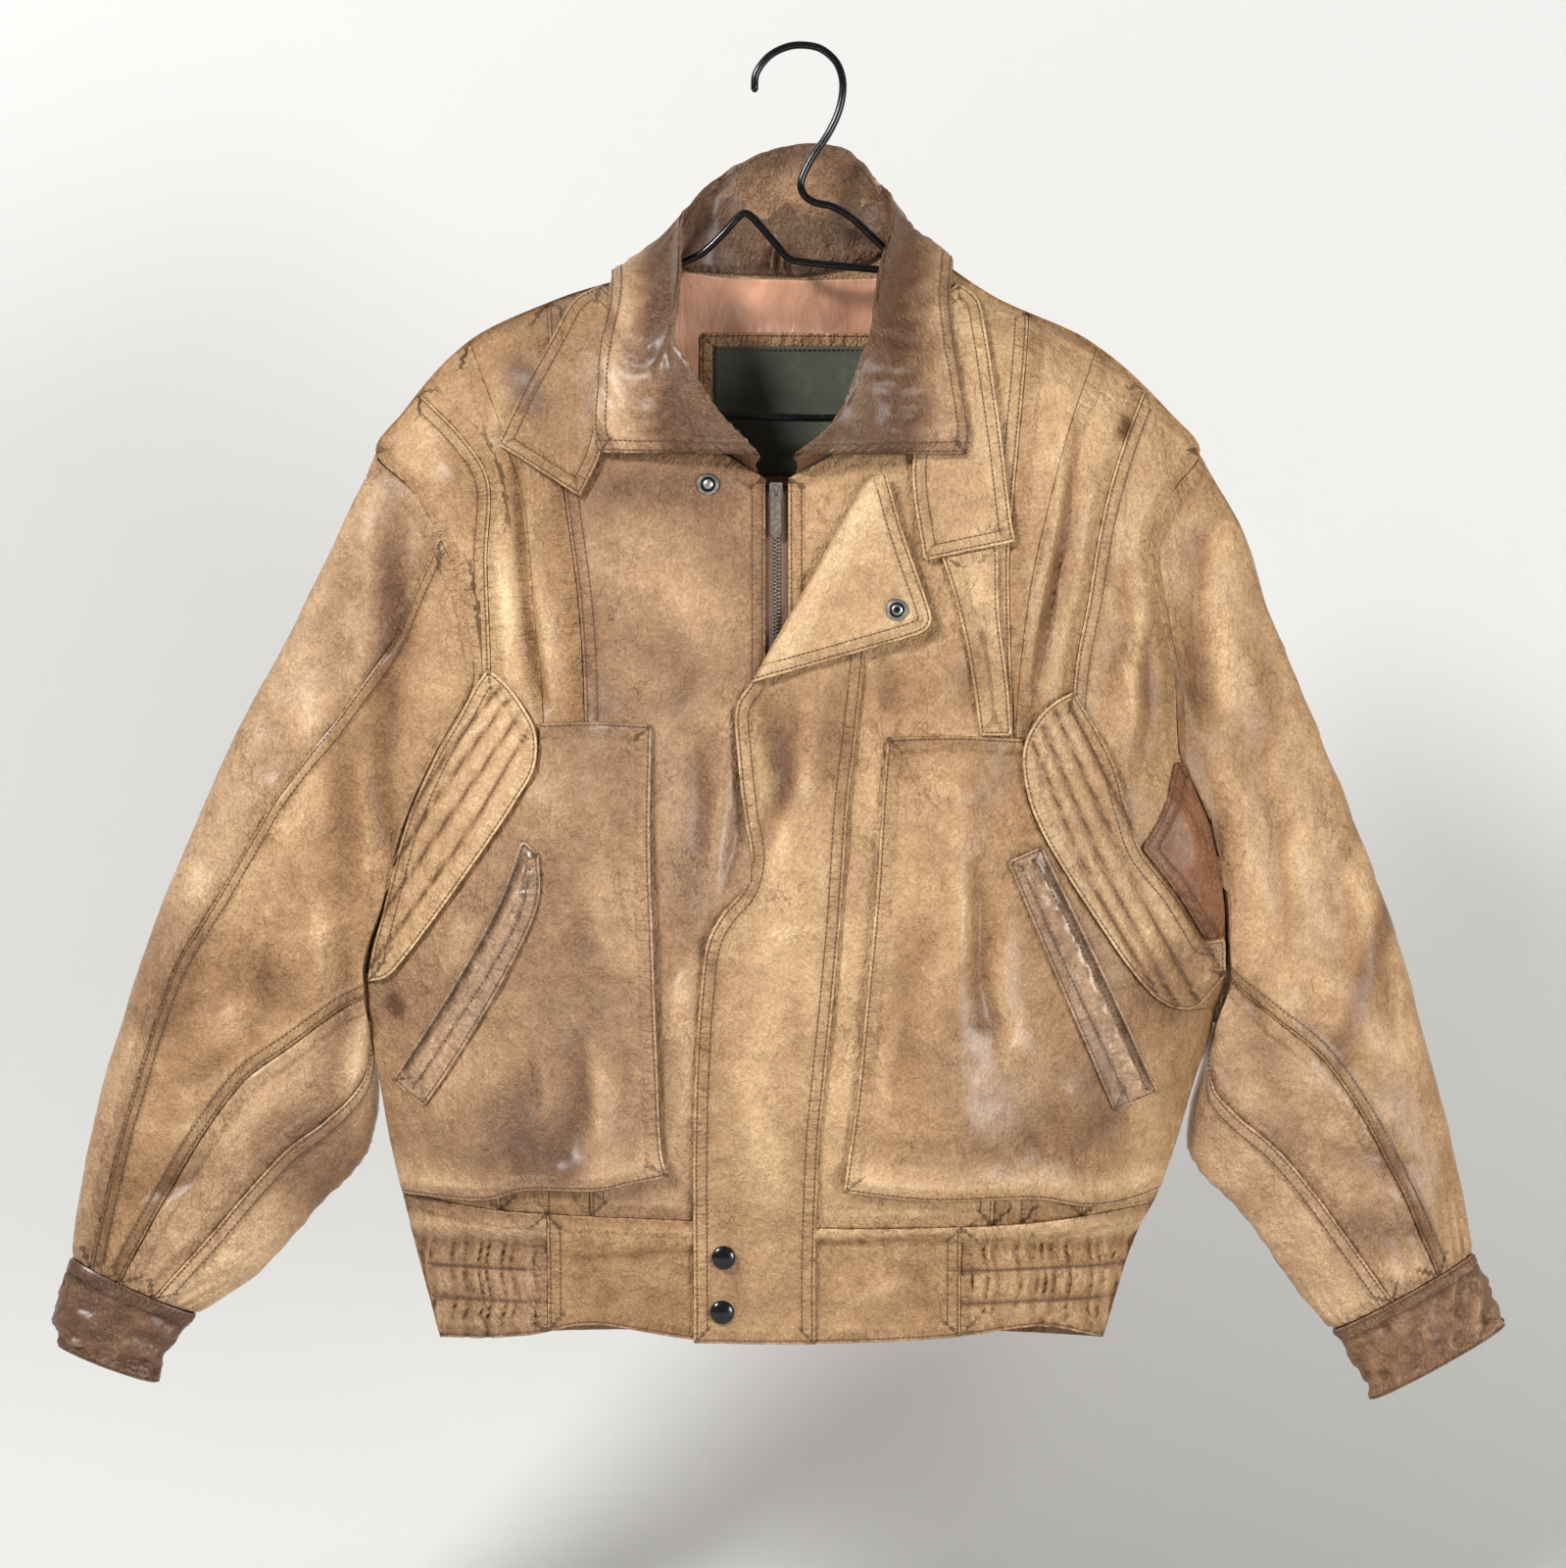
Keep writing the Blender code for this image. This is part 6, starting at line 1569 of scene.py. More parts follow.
SLEEVE_CREASES_L = (
    (258, -300, 262, -440, -4, 6, -3.2), (272, -300, 276, -440, -5, 9, 2.8),
    (290, -330, 300, -450, 6, 9, -1.8),
    (256, -450, 268, -580, 5, 7, -3.2), (272, -460, 290, -590, 6, 9, 2.4), (300, -450, 318, -570, 8, 11, 2.0),
    (294, -470, 310, -560, 4, 6, -2.0), (330, -500, 350, -600, 6, 10, -2.0),
    (350, -520, 366, -600, 4, 9, 1.8),
    (276, -590, 300, -680, 6, 8, -2.8), (296, -590, 322, -680, 6, 9, 2.4), (260, -640, 290, -720, 5, 9, 2.0),
    (318, -620, 360, -650, -6, 8, -2.0), (320, -660, 388, -690, -7, 9, 2.2),
    (330, -700, 400, -716, -6, 7, -2.2),
    (322, -720, 398, -744, -6, 9, 2.0), (346, -752, 410, -764, -5, 6, -1.8),
    (350, -780, 404, -790, -4, 6, 1.4),
    (384, -600, 396, -680, -4, 8, 1.6), (370, -580, 380, -650, 4, 7, -1.5), (316, -380, 300, -420, 4, 9, 1.2),
)
# Soft spots of tone on the sleeves, in the columns of the front's table. The long dark strip beside the body
# on each sleeve, where the sleeve passes behind it, is partly darker leather and partly painted shade.
SLEEVE_STAINS_AND_SHADE_R = (
    (-306, -374, 30, 36, 0, 0.15, 0.0), (-265, -374, 16, 75, 0, -0.7, 0.1), (-365, -537, 25, 38, 0, 0.2, 0.1),
    (-325, -606, 25, 19, 0, -0.35, 0.3), (-400, -600, 40, 50, 0, -0.45, 0.2),
    (-306, -712, 44, 44, 0, -0.7, 0.2),
    (-330, -460, 26, 50, 10, 0.1, 0.3), (-288, -500, 22, 60, 0, -0.35, 0.1),
    (-345, -660, 36, 26, 20, 0.15, 0.4),
    (-410, -700, 40, 30, 0, -0.25, 0.3), (-440, -760, 36, 36, 0, -0.3, 0.2),
    (-286, -300, 20, 30, 0, 0.3, 0.0),
)
SLEEVE_STAINS_AND_SHADE_L = (
    (282, -362, 38, 62, 0, 0.1, 0.0), (247, -424, 12, 50, 0, -0.7, 0.1), (300, -537, 50, 62, 0, 0.05, 0.1),
    (372, -570, 8, 92, -19, -0.8, 0.2), (352, -508, 7, 40, -20, -0.3, 0.0), (250, -662, 25, 38, 0, -0.7, 0.8),
    (294, -700, 31, 19, 0, -0.45, 0.4),
    (363, -756, 19, 31, 0, -0.3, 0.2), (330, -640, 30, 30, 0, -0.1, 0.4), (380, -700, 30, 40, 0, -0.15, 0.3),
    (400, -740, 30, 30, 0, -0.3, 0.2), (290, -450, 20, 40, 0, -0.2, 0.2), (340, -560, 20, 40, -16, 0.3, 0.1),
)


def sleeve_points(rows, q, side):
    """Points of a sleeve: rows of smooth section values against q, 0 at the outer fold and 1 at the inner
    fold over the front, below 0 over the back."""
    turned = np.where(q > 1, q - 2, q)
    v = np.abs(turned)
    sign = np.where(turned >= 0, -1.0, 1.0)
    col = {name: values[:, None] for name, values in rows.items()}
    x = col["ox"] + v * (col["ix"] - col["ox"])
    z = col["oz"] + v * (col["iz"] - col["oz"])
    y = col["y"] + sign * col["half"] * np.sin(np.arccos(np.clip(1 - 2 * v, -1, 1)))
    level_z = SHOULDER_Z - 0.5 + v * (UNDERARM_Z - SHOULDER_Z + 0.5)
    edge = column("x" + side, level_z)
    ends = column("x" + side, np.array((SHOULDER_Z - 0.5, UNDERARM_Z)))
    x = x + col["follow"] * (edge - ends[0] - v * (ends[1] - ends[0]))
    body = column("x" + side, np.clip(z, BODY_FOOT, BODY_TOP))
    low = (z < SHOULDER_Z) & (z > SLEEVE_FREE)
    if side == "r":
        x = np.where(low, np.minimum(x, body - SLEEVE_CLEAR), x)
    else:
        x = np.where(low, np.maximum(x, body + SLEEVE_CLEAR), x)
    points = np.stack((x, y, z), axis=2)
    flat = np.stack((edge.ravel(), level_z.ravel()), axis=1)
    front, back = body_y(flat).reshape(v.shape), body_y(flat, False).reshape(v.shape)
    middle = (front + back) / 2
    ring_y = np.where(sign < 0, front, back)
    ring_y = middle + (ring_y - middle) * np.minimum(1, np.minimum(v, 1 - v) / 0.02)
    out = -0.5 if side == "r" else 0.5
    ring = np.stack((edge + out, ring_y, level_z), axis=2)
    near = np.clip(1 - rows["at"], 0, 1)[:, None, None]
    blend = near * near * (3 - 2 * near)
    return points + (ring - points) * blend


def sleeve_form(side):
    creases = SLEEVE_CREASES_R if side == "r" else SLEEVE_CREASES_L

    def form(grid, across, down):
        flat = grid[..., [0, 2]].reshape(-1, 2)
        relief = crease_relief(flat, creases, SLEEVE_DEPTH).reshape(grid.shape[:2])
        behind = crease_relief(flat + np.array((0, 26.0)), creases, SLEEVE_DEPTH).reshape(grid.shape[:2])
        out = np.where(grid[..., 1] < 4, relief, behind * 0.8)
        out += waves(flat + grid[..., 1].reshape(-1, 1) * 0.7, 91, (52, 26, 13), 1.0).reshape(out.shape)
        ends = soft_step(down, 2, 22) * soft_step(down[-1:] - down, 1, 10)
        gathers = 1.1 * np.sin(across * 0.62 + 2 * np.sin(across * 0.17)) * np.exp(-(down[-1:] - down) / 16)
        return out * ends + gathers * soft_step(down[-1:] - down, 0, 6)
    return form


def sleeve_panels(side):
    """The four panels of one sleeve, each with the loft it hangs in."""
    table = SLEEVE_R if side == "r" else SLEEVE_L
    rows = smooth_rows(table, SLEEVE_COLUMNS, SLEEVE_ROWS)
    rows["at"] = np.linspace(0, len(table) - 1, SLEEVE_ROWS)
    ones = np.ones(SLEEVE_ROWS)
    lines = {"back": (SLEEVE_BACK_SEAM * ones, rows["outer"]), "main": (rows["outer"], rows["main"]),
             "wedge": (rows["main"], rows["wedge"]), "under": (rows["wedge"], (2 + SLEEVE_BACK_SEAM) * ones)}
    found = {}
    for part, (start, end) in lines.items():
        share = np.linspace(0, 1, SLEEVE_STEPS[part])[None, :]
        grid = sleeve_points(rows, start[:, None] + (end - start)[:, None] * share, side)
        style = "topstitched" if part in ("main", "under") else "seamed"
        found[part] = Loft(grid[:, ::-1] if side == "r" else grid, style, style)
    return found


def tone_of(grid, tone, spots, shine):
    flat = grid[..., [0, 2]].reshape(-1, 2)
    dark, gloss = stain_tone(flat, spots)
    front = (grid[..., 1].ravel() < 6)
    dark = np.where(front, dark, dark * 0.5)
    return (dark + tone).reshape(grid.shape[:2]), (gloss + shine).reshape(grid.shape[:2])


def cuff_form(seed):
    def form(grid, across, down):
        flat = np.stack((across.ravel(), down.ravel()), axis=1)
        crumple = waves(flat, seed, (19, 10, 6), 3.0).reshape(down.shape)
        crumple -= 1.3 * np.abs(waves(flat, seed + 1, (24, 11), 1.2)).reshape(down.shape)
        round_end = 1.2 * bump_at(down[-1:] - down, 3, 4)
        return crumple * soft_step(down, 1, 9) * soft_step(down[-1:] - down, 0, 7) + round_end
    return form


def cuff_loft(side):
    table = CUFF_R if side == "r" else CUFF_L
    rows = smooth_rows(table, CUFF_COLUMNS, 30)
    angle = np.linspace(0, 2 * math.pi, 120, endpoint=False)[None, :]
    if side == "l":
        angle = -angle
    col = {name: values[:, None] for name, values in rows.items()}
    share = np.cos(angle)
    x = (col["ox"] + col["ix"]) / 2 + (col["ox"] - col["ix"]) / 2 * share
    z = (col["oz"] + col["iz"]) / 2 + (col["oz"] - col["iz"]) / 2 * share
    y = col["y"] + col["half"] * np.sin(angle)
    return Loft(np.stack(np.broadcast_arrays(x, y, z), axis=2), top="laid", foot="single", closed=True)


# Collar, one row per section from the right front edge round the neck to the left: neck seam x and z,
# top of the roll x, y and z, edge of the fall x and z, and what the fall lies over.
COLLAR = (
    (-27, -276, -30, -66, -268, -128, -265, "front"),
    (-56, -255, -54, -70, -243, -133, -246, "front"),
    (-81, -227, -72, -68, -216, -132, -222, "front"),
    (-95, -196, -84, -58, -190, -129, -190, "front"),
    (-97, -165, -81, -40, -160, -124, -163, "front"),
    (-91, -137, -80, 0, -114, -124, -143, "ridge"),
    (-80, -139.5, -68, 13, -94, -112, -158, "back"),
    (-60, -141, -52, 22, -80, -92, -166, "back"),
    (-36, -142, -22, 27, -66, -46, -172, "back"),
    (-8, -142, 6, 28, -61, 0, -174, "back"),
    (18, -139, 30, 27, -66, 50, -170, "back"),
    (42, -133, 50, 22, -86, 84, -160, "back"),
    (56, -125.5, 58, 13, -94, 98, -148, "back"),
    (64, -119.5, 60, 0, -108, 98, -133, "ridge"),
    (67, -155, 50, -40, -156, 95, -166, "front"),
    (63, -191, 46, -58, -188, 98, -200, "front"),
    (54, -222, 37, -68, -214, 103, -232, "front"),
    (31, -252, 22, -70, -248, 106, -254, "front"),
    (-6, -276, -3, -66, -268, 103, -266, "front"),
)
COLLAR_OVER = 7.1
COLLAR_BEHIND = 5.2


COLLAR_SECTIONS = 190
COLLAR_STEPS = 56


def collar_grid():
    """Stand, roll and fall of the collar, from the neck seam over the roll to the edge."""
    controls = []
    for row in COLLAR:
        bx, bz, rx, ry, rz, ex, ez, over = row
        base, roll, edge = np.array((bx, 5.0, bz)), np.array((rx, ry, rz)), np.array((ex, 5.0, ez))
        if over == "front":
            base[1] = body_y(np.array(((bx, bz),)))[0] + 1.2
            edge[1] = body_y(np.array(((ex, ez),)))[0] - COLLAR_OVER
        if over == "back":
            base[1] = body_y(np.array(((bx, bz),)), False)[0] - 1.2
            edge[1] = body_y(np.array(((ex, ez),)), False)[0] + COLLAR_BEHIND
        turn = (roll - base) / np.linalg.norm(roll - base)
        fall = (edge - roll) / np.linalg.norm(edge - roll)
        crown = (turn - fall) / np.linalg.norm(turn - fall)
        top = roll + crown * 2.4
        before = base + (roll - base) * 0.55
        after = roll + fall * 6.4 + crown * 1.2
        controls.append([base, before, top - fall * 2.5 - turn * 1.5, top + fall * 1.5, after,
                         after + (edge - after) * 0.45, edge])
    controls = np.array(controls)
    at = np.linspace(0, len(COLLAR) - 1, COLLAR_SECTIONS)
    index = np.arange(len(COLLAR))
    round_neck = np.stack([np.stack([steady(at, index, controls[:, k, axis]) for axis in range(3)], axis=1)
                           for k in range(controls.shape[1])], axis=1)
    grid = []
    for line in round_neck:
        fine = np.array([catmull(line, t) for t in np.linspace(0, len(line) - 1, 90)])
        run = lengths(fine)
        even = np.linspace(0, run[-1], COLLAR_STEPS)
        grid.append(np.stack([np.interp(even, run, fine[:, k]) for k in range(3)], axis=1))
    return np.array(grid)


def catmull(points, t):
    """A point on the smooth curve through a few points."""
    k = min(int(t), len(points) - 2)
    u = t - k
    p1, p2 = points[k], points[k + 1]
    p0 = points[k - 1] if k > 0 else 2 * p1 - p2
    p3 = points[k + 2] if k + 2 < len(points) else 2 * p2 - p1
    return 0.5 * (2 * p1 + (p2 - p0) * u + (2 * p0 - 5 * p1 + 4 * p2 - p3) * u * u
                  + (3 * p1 - p0 - 3 * p2 + p3) * u ** 3)


def collar_form(grid, across, down):
    share = across / across[:, -1:]
    flat = np.stack((down.ravel(), across.ravel()), axis=1)
    soft = waves(flat, 17, (40, 18, 9), 1.3).reshape(share.shape)
    wrinkle = waves(flat * np.array((1.0, 0.4)), 18, (12, 7), 1.0).reshape(share.shape)
    folds = waves(flat * np.array((1.0, 0.3)), 23, (34, 17), 1.5).reshape(share.shape)
    wrinkle -= 1.2 * np.exp(-(folds / 0.3) ** 2)
    return (soft + wrinkle * bump_at(share, 0.62, 0.2)) * soft_step(across, 2, 12)

# ---------------------------------------------------------------- hard pieces

HARD_EDGE = 35            # degrees


def tube(name, path, radius, sides=16, step=2.0):
    """A round wire along a smooth path, closed and rounded at both ends."""
    path = [np.array(p, float) for p in path]
    line = [catmull(path, t) for t in np.linspace(0, len(path) - 1, 14 * len(path))]
    line = spaced(np.array(line), step)
    tangent = np.gradient(line, axis=0)
    tangent /= np.linalg.norm(tangent, axis=1, keepdims=True)
    side = np.cross(tangent[0], (0, 1, 0))
    rings = []
    radii = np.full(len(line), float(radius))
    ends = np.minimum(np.arange(len(line)), np.arange(len(line))[::-1]) * step
    radii *= np.sqrt(np.clip(1 - (1 - np.clip((ends + 0.25) / radius, 0, 1)) ** 2, 0.05, 1))
    for centre, along, size in zip(line, tangent, radii):
        side = side - along * np.dot(side, along)
        side /= np.linalg.norm(side)
        other = np.cross(along, side)
        angle = np.linspace(0, 2 * math.pi, sides, endpoint=False)[:, None]
        rings.append(centre + size * (np.cos(angle) * side + np.sin(angle) * other))
    faces = [(k * sides + n, k * sides + (n + 1) % sides, (k + 1) * sides + (n + 1) % sides,
              (k + 1) * sides + n) for k in range(len(line) - 1) for n in range(sides)]
    faces.append(tuple(range(sides))[::-1])
    faces.append(tuple(range((len(line) - 1) * sides, len(line) * sides)))
    return hard(name, np.concatenate(rings), faces)


def hard(name, verts, faces):
    """A mesh of a hard part, from points in millimetres, with its normals turned outward."""
    mesh = bpy.data.meshes.new(name)
    mesh.from_pydata((np.asarray(verts, float) * MM).tolist(), [], faces)
    return tidy_mesh(name, mesh)


def tidy_mesh(name, mesh):
    """An object of a mesh, its normals outward and its edges sharp where they turn far."""
    work = bmesh.new()
    work.from_mesh(mesh)
    bmesh.ops.recalc_face_normals(work, faces=work.faces)
    work.to_mesh(mesh)
    work.free()
    mesh.polygons.foreach_set("use_smooth", np.ones(len(mesh.polygons), bool))
    mesh.set_sharp_from_angle(angle=math.radians(HARD_EDGE))
    obj = bpy.data.objects.new("hard_" + name, mesh)
    bpy.context.scene.collection.objects.link(obj)
    return obj


def turned(name, x, y, z, profile, sides=48):
    """A part turned about an axis that points out of the front; profile rows are radius and height."""
    rings, faces = [], []
    for radius, height in profile:
        angle = np.linspace(0, 2 * math.pi, sides, endpoint=False)
        rings.append(np.stack((x + radius * np.cos(angle), np.full(sides, y - height),
                               z + radius * np.sin(angle)), axis=1))
    for k in range(len(profile) - 1):
        for n in range(sides):
            m = (n + 1) % sides
            faces.append((k * sides + n, k * sides + m, (k + 1) * sides + m, (k + 1) * sides + n))
    last = (len(profile) - 1) * sides
    faces.append(tuple(range(sides)))
    faces.append(tuple(range(last, last + sides)))
    return hard(name, np.concatenate(rings), faces)


def slab(name, outline, y, thickness, hole=None, bevel=0.3):
    """A flat part with eased edges, with one hole if asked for."""
    work = bmesh.new()
    if hole is None:
        ring = [work.verts.new((x, y, z)) for x, z in outline]
        faces = [work.faces.new(ring)]
    else:
        points = [Vector(p) for p in list(outline) + list(hole)]
        count = len(outline)
        edges = [(k, (k + 1) % count) for k in range(count)]
        edges += [(count + k, count + (k + 1) % len(hole)) for k in range(len(hole))]
        made = delaunay_2d_cdt(points, edges, [], 0, 1e-5)
        verts = [work.verts.new((p.x, y, p.y)) for p in made[0]]
        ring, gap = np.array(outline, float), np.array(hole, float)
        faces = []
        for tri in made[2]:
            middle = np.mean([(made[0][k].x, made[0][k].y) for k in tri], axis=0)[None]
            if inside(middle, ring)[0] and not inside(middle, gap)[0]:
                faces.append(work.faces.new([verts[k] for k in tri]))
    raised = bmesh.ops.extrude_face_region(work, geom=faces)["geom"]
    moved = [v for v in raised if isinstance(v, bmesh.types.BMVert)]
    bmesh.ops.translate(work, verts=moved, vec=(0, thickness, 0))
    bmesh.ops.recalc_face_normals(work, faces=work.faces)
    if bevel:
        sharp = [e for e in work.edges if e.calc_face_angle(0) > 0.9]
        bmesh.ops.bevel(work, geom=sharp, offset=bevel, segments=2, affect="EDGES", clamp_overlap=True)
    bmesh.ops.scale(work, vec=(MM, MM, MM), verts=work.verts)
    mesh = bpy.data.meshes.new(name)
    work.to_mesh(mesh)
    work.free()
    return tidy_mesh(name, mesh)


def merged(name, parts):
    """Several hard parts as one mesh."""
    work = bmesh.new()
    for part in parts:
        work.from_mesh(part.data)
    mesh = bpy.data.meshes.new(name)
    work.to_mesh(mesh)
    work.free()
    for part in parts:
        old = part.data
        bpy.data.objects.remove(part)
        bpy.data.meshes.remove(old)
    return tidy_mesh(name, mesh)


def rounded(points, radius, steps=4):
    """An outline with its corners rounded."""
    points = [np.array(p, float) for p in points]
    found = []
    for k, here in enumerate(points):
        before, after = points[k - 1] - here, points[(k + 1) % len(points)] - here
        reach = min(radius, np.linalg.norm(before) * 0.45, np.linalg.norm(after) * 0.45)
        a = here + before / np.linalg.norm(before) * reach
        b = here + after / np.linalg.norm(after) * reach
        for t in np.linspace(0, 1, steps):
            found.append(tuple((1 - t) ** 2 * a + 2 * t * (1 - t) * here + t * t * b))
    return found


HANGER_PATH = (
    (-31, 0, -28), (-30, 0, -16), (-22, 0, -5), (-11, 0, 1), (0, 0, 2.5), (12, 0, 0), (22, 0, -9),
    (26, 0, -22),
    (24, 0, -38), (17, 0, -54), (5, 0, -72), (-1, 0, -86), (1, 0, -94), (8, 0, -99), (20, 0, -102),
    (33, 0, -110), (48, 1, -124), (62, 2, -136), (80, 6.6, -137.5), (104, 5.6, -152.6), (128, 5, -165.5),
    (152, 5, -176.5), (176, 4.4, -190.5), (200, 4.4, -211.9), (210, 4, -222), (212, 3, -229), (206, 2, -235),
    (30, 2, -238), (-60, 2, -236), (-210, 2, -232), (-216, 3, -226), (-214, 4, -219), (-204, 4.4, -189.5),
    (-184.8, 5, -177.6), (-165.6, 5, -168.6), (-146.4, 5, -161.5), (-127.2, 5.4, -155.2), (-108, 5.9, -149.1),
    (-90, 4, -146), (-78, 3, -138), (-64, 2, -131), (-50, 0, -118), (-42, 0, -109), (-37, 0, -106),
    (-31, 0, -110), (-18, 0, -125), (-9, 0, -135), (4, 0, -138), (54, 0, -143),
)
ZIP_X = -17.0
PIVOT_Z = -288.4
BRIDGE_HALF = 2.9
BRIDGE_OUT = 3.4
PULL_WALL = 1.2
SNAPS_METAL = (("snap_stud", -60, -285), ("snap_socket", 59, -365))
SNAPS_BLACK = (("snap_cap_upper", -50, -773), ("snap_cap_lower", -51, -808))
LINING = ((-78, -142), (-40, -145), (0, -146), (46, -145), (64, -143), (84, -200), (80, -300), (-80, -300),
          (-104, -200), (-78, -142))
LABEL_FRAME = ((-67, -180), (55, -180), (55, -282), (-67, -282), (-67, -180))
LABEL = ((-58, -189), (47, -189), (47, -273), (-58, -273), (-58, -189))

# ---------------------------------------------------------------- finishes by name

# Leather of each kind: base shine, how crackled, how patchy.
LEATHERS = {"tan": (0.0, 1.0, 1.0), "mid": (0.05, 1.0, 1.0), "dark": (0.5, 0.7, 0.8),
            "red": (0.15, 0.9, 0.9), "light": (-0.1, 1.0, 0.8)}
FINISHES = {}
SHADES = 5


def shades(deep, pale):
    """Even steps from the soiled tone to the rubbed one."""
    deep, pale = np.array(deep), np.array(pale)
    return tuple(tuple(float(v) for v in deep * (pale / deep) ** (k / (SHADES - 1)) ** 0.85)
                 for k in range(SHADES))


# Every other finish: how it is made, its colour in the panel, its second colour as a multiple, and the rest.
OTHER_FINISHES = {
    "thread_brown": (thread, "thread", None, ()), "satin_salmon": (satin, "satin", 0.45, ()),
    "label_olive": (woven, "label", 2.6, (1500.0, 0.8)), "tape_brown": (woven, "tape", 1.8, (2100.0, 0.5)),
    "nickel": (metal, "metal", 0.45, ()), "bronze": (metal, "bronze", 0.7, (0.36,)),
    "enamel_black": (enamel, "black", None, (0.22,)), "wire_black": (enamel, "black", None, (0.2, 0.25)),
}


def finish_named(name):
    """Each finish is made once, from the colours in the panel."""
    if name not in FINISHES:
        dyes = bpy.context.scene.blouson_colours
        if name.startswith("leather_"):
            kind = name.split("_")[1]
            tones = shades(tuple(getattr(dyes, kind + "_deep")), tuple(getattr(dyes, kind + "_pale")))
            FINISHES[name] = leather(name, tones, *LEATHERS[kind])
        else:
            maker, dye_name, multiple, rest = OTHER_FINISHES[name]
            colour = tuple(getattr(dyes, dye_name))
            second = (tuple(c * multiple for c in colour),) if multiple else ()
            FINISHES[name] = maker(name, colour, *second, *rest)
    return FINISHES[name]


# ---------------------------------------------------------------- what each piece is made of

# Finish, own tone and own shine of each cloth piece; the shine also lays the painted sheen.
LOOKS = {
    "front_centre_r": ("mid", -0.05, 0.15), "front_centre_l": ("tan", 0.3, 0.0),
    "front_pleat_r": ("tan", -0.1, 0.1),
    "front_pleat_l": ("tan", 0.0, 0.0), "front_princess_r": ("tan", 0.1, 0.0),
    "front_princess_l": ("tan", 0.0, 0.0),
    "front_side_r": ("tan", 0.15, 0.05), "front_side_l": ("tan", 0.2, 0.0),
    "pocket_panel_r": ("mid", -0.05, 0.15),
    "pocket_panel_l": ("tan", -0.1, 0.15), "leaf_r": ("tan", 0.35, 0.1), "leaf_l": ("tan", 0.3, 0.1),
    "gusset_l": ("red", -0.5, 0.05), "welt_r": ("dark", 0.3, 0.9), "welt_l": ("dark", 0.3, 1.0),
    "under_collar_r": ("light", -0.1, 0.1), "under_collar_l": ("light", 0.35, 0.0),
    "collar_strap": ("light", 0.4, 0.0), "storm_flap": ("light", 0.0, 0.0),
    "band_front_r": ("tan", -0.15, 0.0),
    "band_front_l": ("tan", 0.05, 0.0), "band_side_r": ("mid", -0.1, 0.1), "band_side_l": ("tan", 0.0, 0.1),
    "band_back": ("mid", -0.25, 0.2), "back_body": ("mid", 0.15, 0.0), "back_yoke": ("tan", 0.0, 0.0),
    "collar": ("mid", -0.3, 0.1), "label_frame": ("tan", 0.0, 0.0), "locker_loop": ("dark", 0.0, 0.2),
    "sleeve_main": ("tan", 0.1, 0.0), "sleeve_back": ("mid", 0.25, 0.0), "sleeve_wedge": ("mid", 0.25, 0.1),
    "sleeve_under": ("mid", 0.5, 0.1), "cuff_r": ("dark", -0.45, 0.15), "cuff_l": ("mid", -0.55, 0.1),
}


def dressed(obj, name, look=None):
    """Finish, slot and node of a cloth piece."""
    kind = LOOKS[look or name][0]
    return finish_piece(obj, finish_named("leather_" + kind), name)


def own_level(name, spots):
    _, tone, shine = LOOKS[name]
    return level(tone, shine, spots)


GATHERED = ("band_back", "band_side_r", "band_side_l")


def sew_cuts(label, cuts, spots=STAINS, inner=None, held="hung"):
    """Builds cut pieces and sews their rows of stitches; inner gives the lines sewn across a piece."""
    rows = []
    for name, cut in cuts.items():
        lines = (inner or {}).get(name, ())
        obj = cut.build(name, own_level(name, spots), lines)
        dressed(obj, name)
        front = "front_centre_" + (name[-1] if name[-2] == "_" else "l")
        "gathered" if name in GATHERED else held
        rows += cut.rows()
        for line in lines:
            rows += cut.inner_row(curve(line))
    sew("stitches_" + label, rows)


# ---------------------------------------------------------------- outlines of the back and the bands


def drawn_in(at, gaps):
    """The back blouses over the waistband, in uneven puckers that fade upwards."""
    x, up = at[:, 0], np.maximum(at[:, 1] - WAIST_BACK_Z, 0)
    uneven = np.sin(x * 0.36 + 2.1 * np.sin(x * 0.083)) + 0.5 * np.sin(x * 0.79 + 1.3)
    return (1.7 * uneven * np.exp(-up / 26) + 2.4 * bump_at(up, 14, 13)) * soft_step(up, 1, 8)


def back_cuts():
    seam = curve(YOKE_BACK)
    neck = curve(NECK_BACK)
    right_up = rim_line("r", YOKE_BACK[0][1], neck[0, 1])
    left_down = rim_line("l", neck[-1, 1], YOKE_BACK[-1][1])
    yoke = Cut([(right_up, "seamed"), (neck, "seamed"), (left_down, "seamed"), (seam[::-1], "topstitched")],
               front=False, step=3.8)
    right = rim_line("r", YOKE_BACK[0][1], WAIST_BACK_Z)
    left = rim_line("l", WAIST_BACK_Z, YOKE_BACK[-1][1])
    waist = straight(right[-1], left[0])
    body = Cut([(right, "turned"), (waist, "seamed"), (left, "turned"), (seam[::-1], "seamed")],
               front=False, form=drawn_in, step=4.0)
    right = rim_line("r", WAIST_BACK_Z, -830)
    left = rim_line("l", -830, WAIST_BACK_Z)
    band = Cut([(right, "turned"), (straight(right[-1], left[0]), "single"), (left, "turned"),
                (waist[::-1], "seamed")], front=False, form=back_elastic, step=2.5)
    return {"back_yoke": yoke, "back_body": body, "band_back": band}


def straight(start, end):
    return np.linspace(np.asarray(start, float), np.asarray(end, float), 80)


